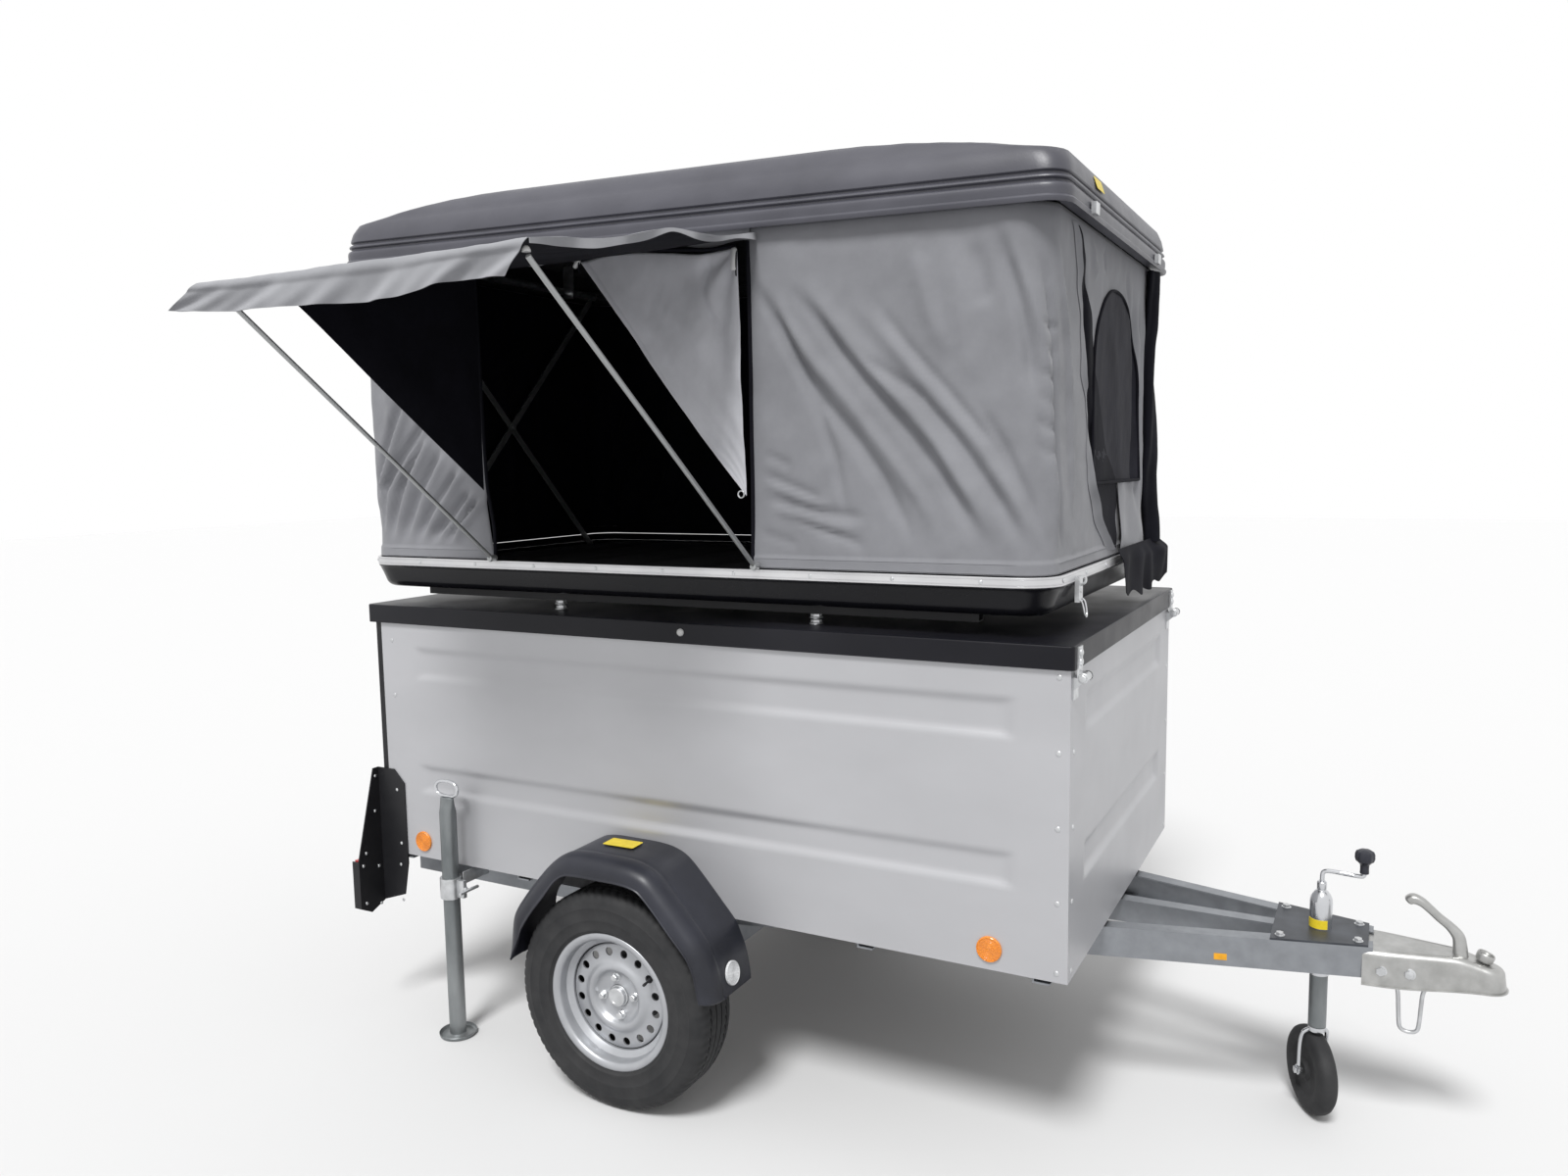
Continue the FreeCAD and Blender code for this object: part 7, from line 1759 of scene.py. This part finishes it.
def front_hem_form(out, down):
    """Narrow grey hem that hangs along the awning's front edge."""
    y = AWNING_IN_Y + 0.004 + out * (AWNING_OUT_Y - AWNING_IN_Y)
    z = AWNING_IN_Z + out * (AWNING_OUT_Z - AWNING_IN_Z) + smooth_value(FRONT_WAVE, out)
    deep = 0.004 + smooth_value(FRONT_HEM_DEPTHS, out)
    lean = (0.005 * math.sin(19 * out) + 0.002 * math.sin(41 * out)) * down
    return at(AWNING_FRONT + 0.0015 + lean, y, z + 0.002 - deep * down)


front_hem = lined_sheet(80, 6, front_hem_form, (1, 0, 0), thin_cloth, black_cloth)
swung(front_hem, "awning_front_hem")

GUSSET_OUT_Y = -0.87 * 1.405


def curtain_form(down, out):
    """Side curtain: out along the awning, and down along the doorway's edge."""
    reach = 1 - down
    y = AWNING_IN_Y + 0.002 + out * (GUSSET_OUT_Y - AWNING_IN_Y) * reach
    top_z = AWNING_IN_Z - 0.01 - AWNING_SLOPE * (AWNING_IN_Y - y)
    z = top_z - down * (AWNING_IN_Z - 0.01 - WINDOW_LOW)
    fold = 0.008 * math.sin(8 * out + 3 * down) * math.sin(math.pi * down) + 0.7 * cloth_crumple(y, z, 9.0)
    return at(DOOR_REAR + 0.002 + fold * reach * ease(out * 6), y, z)


curtain = lined_sheet(50, 50, curtain_form, (1, 0, 0), black_cloth, grey_cloth)
settle(curtain, "side_curtain", "roof_lift", "black_cloth", smooth=60)
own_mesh(curtain)
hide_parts("awning_gusset")

# Awning rods. Thin bright steel rods, their feet in holes of the lower strip, their hooked tips in eyelets
# of the awning, which end in small white caps.
ROD_R = 0.0058
rod_steel = material("rod_steel", (0.42, 0.43, 0.43), 0.36, 0.6, sheen=(("Noise", 60, 4), 0.25, 0.42),
                     bumps=[(("Noise", 300), 0.00004)])
ROD_FOOT_Z = 1.404
ROD_LOW_Y = -0.602
ROD_TOP = (-1.384, 2.03)
for name, low_x, high_x in (("front", 0.354, 0.344), ("rear", -0.487, -0.49)):
    bar = bar_along([at(low_x, -0.592, ROD_FOOT_Z), at(low_x, ROD_LOW_Y, ROD_FOOT_Z),
                     at(low_x, ROD_LOW_Y - 0.008, ROD_FOOT_Z + 0.008),
                     at(low_x + (high_x - low_x) * 0.5, (ROD_LOW_Y + ROD_TOP[0]) / 2 - 0.002,
                        (ROD_FOOT_Z + ROD_TOP[1]) / 2 + 0.004),
                     at(high_x, ROD_TOP[0] + 0.01, ROD_TOP[1] - 0.01), at(high_x, *ROD_TOP)], ROD_R,
                    sides=12)
    swivel = lathe([
        (0.0002, -0.012), (0.0085, -0.012), (0.0092, -0.009), (0.0092, 0.01), (0.008, 0.013),
        (0.0002, 0.0135)], 24)
    rod = join([bar, put(swivel, at(low_x, ROD_LOW_Y + 0.004, ROD_FOOT_Z), TO_RIGHT)])
    settle(rod, "rod_" + name, "lid", "zinc_hardware", rod_steel, smooth=50)
    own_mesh(rod)
    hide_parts("awning_rods")
    tip = put(dome(0.0085, 0.012, 20, 8), at(high_x, ROD_TOP[0] - 0.004, ROD_TOP[1] + 0.006))
    settle(tip, "rod_tip_" + name, "lid", "white_lens", white_cap, smooth=50)
    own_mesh(tip)

# Door flap. The inner door's upper half is folded back on itself and held by a white toggle, so that it
# hangs as a wrinkled grey triangle with a turned hem. Its point is sewn round a small ring. Its cloth is
# paler than the canvas: partly the flap's own paler side, partly painted light for the light that comes
# through the awning into its shade.
FLAP_FRONT, FLAP_REAR = 0.31, -0.153
FLAP_POINT = (0.326, 1.577)
FLAP_TOP_LINE = ((0.31, 2.17), (0.259, 2.163), (0.154, 2.174), (0.044, 2.184), (-0.069, 2.188),
                 (-0.153, 2.178))
FLAP_Y = -0.5845


def flap_point(u, v):
    """Place on the flap, back along its top edge and down to its point, with its wrinkles."""
    reach = (1 - v) * 0.95 + 0.05 * (1 - v ** 3)
    edge = FLAP_FRONT + (FLAP_POINT[0] - FLAP_FRONT) * v
    x = edge - u * (FLAP_FRONT - FLAP_REAR) * reach + 0.004 * math.sin(5 * v) * (1 - v)
    top = smooth_line(FLAP_TOP_LINE, u).y
    z = top - v * (top - FLAP_POINT[1])
    toggle_run = math.hypot(u * 0.5, v * 0.6)
    angle = math.atan2(v * 0.6, u * 0.5 + 0.0001)
    rays = 0.0065 * math.sin(9 * angle + 1.0) * ease(toggle_run / 0.1) * ease((0.55 - toggle_run) / 0.3)
    cross = 0.005 * math.sin(30 * (u * 0.62 + v) + 3 * math.sin(7 * v)) * ease((v - 0.2) / 0.2) * (1 - v)
    tuck = -0.012 * math.exp(-((u - 0.16 - 0.1 * math.sin(9 * v)) / 0.035) ** 2) * ease((0.4 - v) / 0.15)
    lift = rays + cross + tuck * ease(v / 0.06) + cloth_crumple(x * 1.6, z * 1.6, 12.0)
    return x, lift, z


def flap_form(u, v):
    """Flap sheet, its long edge turned over as a hem."""
    x, lift, z = flap_point(u, v)
    hem = 0.0018 * ease((u - 0.965) / 0.004)
    return at(x, FLAP_Y - max(-0.01, min(0.012, lift * 0.8)) - hem, z)


flap = lined_sheet(96, 110, flap_form, (0, -1, 0), flap_cloth_pale_and_painted_lit, black_cloth)
sewn(flap, "door_flap_cloth", "grey_canvas", smooth=180)
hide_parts("door_flap")

# Place, length, radius and lean of the two toggles.
TOGGLES = ((0.311, 2.141, 0.054, 0.0075, 0.05), (-0.158, 2.174, 0.026, 0.0065, 0.7))
for number, (x, z, length, radius, lean) in enumerate(TOGGLES):
    half = length / 2
    toggle = lathe([(0.0002, -half), (radius * 0.7, -half + 0.0005), (radius, -half + 0.004),
                    (radius, half - 0.004), (radius * 0.7, half - 0.0005), (0.0002, half)], 24)
    put(toggle, at(x, FLAP_Y - 0.014, z), Matrix.Rotation(lean, 4, "Y"))
    sewn(toggle, f"door_toggle_{number + 1}", "white_lens", white_cap)
    loop = bar_along([at(x, FLAP_Y - 0.003, z + half + 0.012),
                      at(x + 0.006, FLAP_Y - 0.012, z + half + 0.002),
                      at(x + 0.009, FLAP_Y - 0.018, z), at(x + 0.005, FLAP_Y - 0.014, z - half - 0.002),
                      at(x, FLAP_Y - 0.004, z - half - 0.01)], 0.0018, sides=8)
    sewn(loop, f"door_toggle_loop_{number + 1}", "black_cloth", black_cloth)
flap_top = bar_along([at(x, FLAP_Y - 0.003, z + 0.006) for x, z in FLAP_TOP_LINE], 0.0042, sides=10)
sewn(flap_top, "flap_top_piping", "black_cloth", black_cloth)
bpy.ops.object.select_all(action="DESELECT")
bpy.ops.mesh.primitive_torus_add(major_radius=0.0085, minor_radius=0.002, major_segments=28,
                                 minor_segments=10,
                                 location=at(0.314, FLAP_Y - 0.006, 1.58), rotation=(math.pi / 2, 0, 0))
sewn(bpy.context.object, "flap_ring", "zinc_hardware", zinc_plate)


def header_form(along, down):
    """Grey hem strip over the doorway, wavy at its lower edge."""
    x = DOOR_REAR - 0.01 + along * (DOOR_FRONT - DOOR_REAR + 0.02)
    top = CANVAS_TOP + tilt_rise(x)
    deep = top - 2.186 + 0.005 * math.sin(31 * along) + 0.004 * math.sin(13 * along + 2)
    return at(x, -0.5795 - 0.003 * down * math.sin(19 * along) - 0.002 * down, top - deep * down)


header = lined_sheet(90, 8, header_form, (0, -1, 0), grey_cloth, black_cloth)
settle(header, "door_header", "roof_lift", "grey_canvas", smooth=60)
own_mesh(header)

# Tent tray. The lower shell is glossy black moulded plastic with a rounded lower edge, set on two rails
# above the lid. Its flat bottom carries the mattress.
TRAY_HALF_L, TRAY_HALF_W, TRAY_R = 1.043, 0.588, 0.095
TRAY_LOW, TRAY_HIGH = 1.306, 1.372


def ring_sheet(rows, cells):
    """Closed ring round the tray: each row has its inset and its height."""
    count = len(rows) - 1

    def form(around, up):
        inset, z = rows[int(round(up * count))]
        length, width, corner = TRAY_HALF_L - inset, TRAY_HALF_W - inset, max(0.004, TRAY_R - inset)
        place, out = around_box(around * loop_length(length, width, corner), length, width, corner)
        return at(TENT_X + place.x, place.y, z)

    return formed_sheet(cells, count, form, closed=True)


TRAY_STEPS = (
    (0.056, 0), (0.05, 0), (0.042, 0.0006), (0.035, 0.003), (0.029, 0.0072), (0.0245, 0.0125),
    (0.0215, 0.0185), (0.019, 0.026), (0.0155, 0.035), (0.0115, 0.045), (0.007, 0.055), (0.004, 0.061),
    (0.0016, 0.0638), (0.0016, 0.0658))
tray_rows = [(inset, TRAY_LOW + rise) for inset, rise in TRAY_STEPS]
tray = ring_sheet(tray_rows, 260)
fill_end(lambda e: e.is_boundary and all(v.co.z < GROUND_Z + TRAY_LOW + 0.001 for v in e.verts))
modifier(tray, "SOLIDIFY", thickness=0.0045, offset=-1.0)
gloss_black = material("gloss_black", (0.006, 0.006, 0.008), 0.22, Specular_IOR_Level=0.22,
                       tones=(("Noise", 4, 5), (0.005, 0.005, 0.007), (0.011, 0.011, 0.014)),
                       sheen=(("Noise", 16, 5), 0.16, 0.3),
                       bumps=[(("Noise", 5, 2), 0.0008, 0.5), (("Noise", 700), 0.00005)])
settle(tray, "tray_shell", "lid", "black_shell", gloss_black, smooth=40)
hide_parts("tent_tray")

# Lower strip. A bright aluminium profile clamps the canvas hem to the tray's rim, all round; two fine
# grooves run along its face and pan-head screws hold it.
bare_aluminium = material("bare_aluminium", (0.66, 0.66, 0.67), 0.34, 0.85,
                          tones=(("Noise", 6, 4), (0.6, 0.6, 0.61), (0.72, 0.72, 0.73)),
                          sheen=(("Noise", 20, 4, (1, 1, 30)), 0.26, 0.42),
                          bumps=[(("Noise", 60, None, (1, 1, 40)), 0.00005)])
STRIP_STEPS = (
    (0.0078, 0.0002), (0.0012, 0.0002), (0, 0.0014), (0, 0.0046), (0.0012, 0.0052), (0.0012, 0.0064),
    (0, 0.007), (0, 0.018), (0.0012, 0.0186), (0.0012, 0.0198), (0, 0.0204), (0, 0.0228), (0.001, 0.0239),
    (0.007, 0.0239), (0.0078, 0.023), (0.0078, 0.0002))
strip_rows = [(inset, TRAY_HIGH + rise) for inset, rise in STRIP_STEPS]
strip = ring_sheet(strip_rows, 260)
outward()
settle(strip, "lower_strip", "lid", "bare_aluminium", bare_aluminium, smooth=35)
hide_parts("base_strip")
lining_hem = ring_sheet([(0.009, TRAY_HIGH + 0.0005), (0.0095, TRAY_HIGH + 0.012),
                         (0.0098, STRIP_TOP + 0.0004)],
                        220)
modifier(lining_hem, "SOLIDIFY", thickness=0.001, offset=-1.0)
settle(lining_hem, "lining_hem", "lid", "black_cloth", black_cloth, smooth=40)
strip_screw = dome(0.005, 0.0028, 16, 6)
strip_screws = []
STRIP_LOOP = loop_length(TRAY_HALF_L, TRAY_HALF_W, TRAY_R)
STRIP_SCREW_COUNT = 30
for step in range(STRIP_SCREW_COUNT):
    place, out = around_box((step + 0.15) / STRIP_SCREW_COUNT * STRIP_LOOP, TRAY_HALF_L, TRAY_HALF_W, TRAY_R)
    spin = out.to_3d().to_track_quat("Z", "Y").to_matrix().to_4x4()
    strip_screws.append(copy_of(strip_screw, at(TENT_X + place.x, place.y, TRAY_HIGH + 0.0125), spin))
scrap(strip_screw)
settle(join(strip_screws), "strip_screws", "lid", "zinc_hardware", zinc_plate)

# Tray catches. The two zinc plates on the strip's front each carry a hinged hasp, left hanging open.
catch_low, catch_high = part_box("tray_latches")
face_x = catch_high[0]
# One half of a hasp's bail: forward of the plate, aside of its middle, and up from its foot.
BAIL_HALF = ((0, 0.014, 0.006), (0.005, 0.014, 0.004), (0.009, 0.013, -0.01), (0.012, 0.011, -0.03))
HOOK_STEPS = ((0, -0.02), (0.007, -0.018), (0.012, -0.01), (0.01, -0.002))
catch_parts = []
for side in (-1, 1):
    y = side * 0.38
    bail = [(x, -aside, z) for x, aside, z in BAIL_HALF] + [(0.013, 0, -0.036)] + list(reversed(BAIL_HALF))
    bail = bar_along([(face_x + x, y + aside, catch_low[2] + z) for x, aside, z in bail], 0.0022, sides=12)
    hook = bar_along([(face_x + x, y, catch_high[2] + z) for x, z in HOOK_STEPS], 0.0032, sides=12)
    head = put(dome(0.005, 0.003, 20, 6), (face_x, y, (catch_low[2] + catch_high[2]) / 2 - 0.004), TO_FRONT)
    catch_parts += [bail, hook, head]
settle(join(catch_parts), "tray_catch_hasps", "lid", "zinc_hardware", zinc_plate)

# Mattress. A foam pad in dark woven cover fills the tray. Cross seams quilt its top.
MAT_HALF_L, MAT_HALF_W, MAT_R = 0.938, 0.518, 0.06
MAT_LOW, MAT_HIGH = 1.3125, 1.371
MAT_SEAM_STEP, MAT_SEAM_ASIDE = 0.235, 0.345
MAT_ROWS = 44


def mattress_form(around, up):
    """Mattress skin: under its edge, round its side and over its top to the middle."""
    edge = ((0.02, MAT_LOW), (0.006, MAT_LOW + 0.002), (0.001, MAT_LOW + 0.012), (0.0, MAT_LOW + 0.026),
            (0.001, MAT_LOW + 0.038), (0.005, MAT_LOW + 0.049), (0.013, MAT_LOW + 0.056), (0.026, MAT_HIGH))
    row = up * MAT_ROWS
    if row <= len(edge) - 1:
        inset, z = edge[int(round(row))]
    else:
        share = (row - len(edge) + 1) / (MAT_ROWS - len(edge) + 1)
        inset = 0.026 + share * (MAT_HALF_W - 0.032)
        z = None
    half_l, half_w, radius = MAT_HALF_L - inset, MAT_HALF_W - inset, max(0.003, MAT_R - inset * 0.12)
    if half_w < radius:
        radius = half_w * 0.9
    place, out = around_box(around * loop_length(half_l, half_w, radius), half_l, half_w, radius)
    if z is None:
        along = abs((place.x / MAT_SEAM_STEP) % 1 - 0.5)
        aside = abs((place.y / MAT_SEAM_ASIDE) % 1 - 0.5)
        puff = 1 - math.exp(-((0.5 - along) * MAT_SEAM_STEP / 0.016) ** 2 * 0.5)
        puff *= 1 - math.exp(-((0.5 - aside) * MAT_SEAM_ASIDE / 0.016) ** 2 * 0.5)
        z = MAT_HIGH - 0.004 + 0.007 * puff + 0.0012 * noise.noise(Vector((place.x * 9, place.y * 9, 2.0)))
    return at(TENT_X + place.x, place.y, z)


mattress_skin = formed_sheet(260, MAT_ROWS, mattress_form, closed=True)
fill_end(lambda e: e.is_boundary)
dark_fabric = cloth("dark_mattress_cloth", (0.014, 0.014, 0.017), 0.85, 0.3, 0.0006)
settle(mattress_skin, "mattress_pad", "lid", "dark_fabric", dark_fabric, smooth=60)
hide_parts("mattress")

# Lifting arms. At each end of the tent two flat steel arms cross on a pivot bolt. Their feet slide in the
# tray and their heads in a rail under the roof. They fold flat as the roof comes down; here they stay open.
ARM_HALF_Y = 0.456
ARM_LOW = 1.323
ARM_W, ARM_T = 0.022, 0.005
for end_name, x, top in (("front", 1.005, 2.2085), ("rear", -0.921, 2.2085 + 1.926 * math.sin(ROOF_TILT))):
    arm_run = Vector((2 * ARM_HALF_Y, top - ARM_LOW))
    arm_way = arm_run.normalized()
    arm_side = Vector((-arm_way.y, arm_way.x))
    arms = []
    for sign, offset in ((-1, -0.0044), (1, 0.0044)):
        def arm_form(along, around):
            """Flat arm with rolled edges and round ends."""
            angle = 2 * math.pi * around
            across = squarish(math.cos(angle), 0.35) * ARM_W / 2
            deep = squarish(math.sin(angle), 0.35) * ARM_T / 2
            end = min(along, 1 - along) * (arm_run.length + ARM_W * 0.6)
            across *= math.sqrt(max(0.0, 1 - max(0.0, 1 - end / (ARM_W * 0.5)) ** 2))
            reach = along * (arm_run.length + ARM_W * 0.6) - ARM_W * 0.3
            place = Vector((-ARM_HALF_Y, ARM_LOW)) + arm_way * reach + arm_side * across
            return at(x + offset + deep, sign * place.x, place.y)

        arms.append(formed_sheet(72, 24, arm_form, closed=True))
        outward()
    for way, turn in ((0.0072, TO_FRONT), (-0.0072, TO_REAR)):
        arms.append(put(hex_bolt(0.017, 0.006), at(x + way, 0, (ARM_LOW + top) / 2), turn))
    pair = join(arms)
    settle(pair, "lifting_arms_" + end_name, None, "zinc_hardware", rod_steel, smooth=45)
    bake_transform(pair)
    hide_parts("lift_scissors")
    guide = bar_along([at(x, y, 1.3175) for y in (-ARM_HALF_Y, 0, ARM_HALF_Y)], 0.0048, sides=12)
    settle(guide, "arm_guide_" + end_name, "lid", "zinc_hardware", rod_steel)

# Roof shell. A vacuum-formed shell of grained dark grey plastic: a rounded bead round its lower edge, an
# upright lip with two stepped grooves, a shoulder that leans in, and a crowned deck above it.
ROOF_HALF_L, ROOF_HALF_W = 1.071, 0.6
# Steps of the form: inset of the ends, inset of the sides, corner radius, and height over the lip's edge.
ROOF_STEPS = (
    (0.036, 0.024, 0.04, 0.009), (0.012, 0.01, 0.052, 0.008), (0.006, 0.005, 0.056, 0.002),
    (0.002, 0.002, 0.058, 0.001), (0, 0, 0.06, 0.006), (0, 0, 0.06, 0.011), (0.004, 0.004, 0.057, 0.016),
    (0.0035, 0.0035, 0.057, 0.028), (0.0038, 0.0038, 0.057, 0.0345), (0.0055, 0.0055, 0.056, 0.039),
    (0.0086, 0.0086, 0.055, 0.0422), (0.012, 0.012, 0.054, 0.044), (0.0124, 0.0124, 0.054, 0.048),
    (0.0082, 0.0082, 0.056, 0.0498), (0.0064, 0.0064, 0.057, 0.052), (0.007, 0.007, 0.057, 0.0548),
    (0.01, 0.01, 0.056, 0.0582), (0.0148, 0.0148, 0.054, 0.0604), (0.0152, 0.0152, 0.053, 0.064),
    (0.0114, 0.0114, 0.056, 0.0656), (0.0096, 0.0096, 0.057, 0.068), (0.0104, 0.0104, 0.057, 0.073),
    (0.014, 0.014, 0.058, 0.09), (0.02, 0.02, 0.06, 0.104), (0.026, 0.026, 0.062, 0.1165),
    (0.04, 0.029, 0.062, 0.1205), (0.07, 0.032, 0.062, 0.1255), (0.12, 0.037, 0.062, 0.134),
    (0.16, 0.041, 0.062, 0.1425), (0.2, 0.0455, 0.062, 0.149), (0.26, 0.051, 0.062, 0.157),
    (0.34, 0.059, 0.062, 0.166), (0.44, 0.069, 0.062, 0.1735), (0.52, 0.08, 0.06, 0.1775),
    (0.565, 0.092, 0.06, 0.18))
DECK_RINGS = 12
CROWN_RISE = 0.19
ROOF_ROWS = len(ROOF_STEPS) - 1 + DECK_RINGS


def roof_ring(share):
    """Inset of ends and sides, corner radius and rise, from the bead's inner edge to the deck's middle."""
    row = int(round(share * ROOF_ROWS))
    if row < len(ROOF_STEPS):
        return ROOF_STEPS[row]
    inward = (row - len(ROOF_STEPS) + 1) / DECK_RINGS
    last = ROOF_STEPS[-1]
    reach = inward * (ROOF_HALF_W - last[1] - 0.004)
    rise = last[3] + (CROWN_RISE - last[3]) * ease(inward * 1.3)
    return (last[0] + reach * 0.98, last[1] + reach, last[2] * (1 - inward) + 0.003 * inward, rise)


def roof_form(around, up):
    """Roof skin, before it is tilted."""
    inset_l, inset_w, radius, rise = roof_ring(up)
    half_l, half_w = ROOF_HALF_L - inset_l, ROOF_HALF_W - inset_w
    place, out = around_box(around * loop_length(half_l, half_w, radius), half_l, half_w, radius)
    return Vector((TENT_X + place.x, place.y, LIP_FRONT_Z + rise))


roof = formed_sheet(320, ROOF_ROWS, roof_form, closed=True)
fill_end(lambda e: e.is_boundary and all(v.co.z > LIP_FRONT_Z + 0.1 for v in e.verts))
pivot = Vector((ROOF_PIVOT[0], 0, ROOF_PIVOT[1]))
lean = Matrix.Translation(pivot) @ Matrix.Rotation(ROOF_TILT, 4, "Y") @ Matrix.Translation(-pivot)
put(roof, at(0, 0, 0), lean)
shell_grey = material("shell_grey", (0.066, 0.066, 0.084), 0.46, Specular_IOR_Level=0.65,
                      tones=(("Noise", 5, 7, (1, 1, 2)), (0.052, 0.052, 0.067), (0.084, 0.084, 0.104)),
                      sheen=(("Noise", 14, 5), 0.3, 0.48),
                      bumps=[(("Voronoi", 420), 0.00022, 0.7), (("Noise", 900), 0.00008)])
inner_felt = material("inner_felt", (0.01, 0.01, 0.012), 0.9,
                      tones=(("Noise", 120, 6), (0.006, 0.006, 0.008), (0.018, 0.018, 0.022)),
                      bumps=[(("Noise", 500, 3), 0.0006)])
lined(roof, shell_grey, inner_felt, 0.0045)
settle(roof, "roof_shell_form", "tent_roof", "grey_shell", smooth=35)
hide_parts("roof_shell")
front_face_x = TENT_X + ROOF_HALF_L - 0.01
label(0.072, 0.03, at(front_face_x - 0.0002, -0.285, LIP_FRONT_Z + 0.087),
      Matrix.Rotation(ROOF_TILT, 4, "Y") @ Matrix.Rotation(math.pi / 2, 4, "Z")
      @ Matrix.Rotation(math.radians(70), 4, "X"), "roof_label", "tent_roof", yellow_label, "orange_lens")

# The box round everything that renders, without the floor.
low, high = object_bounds()
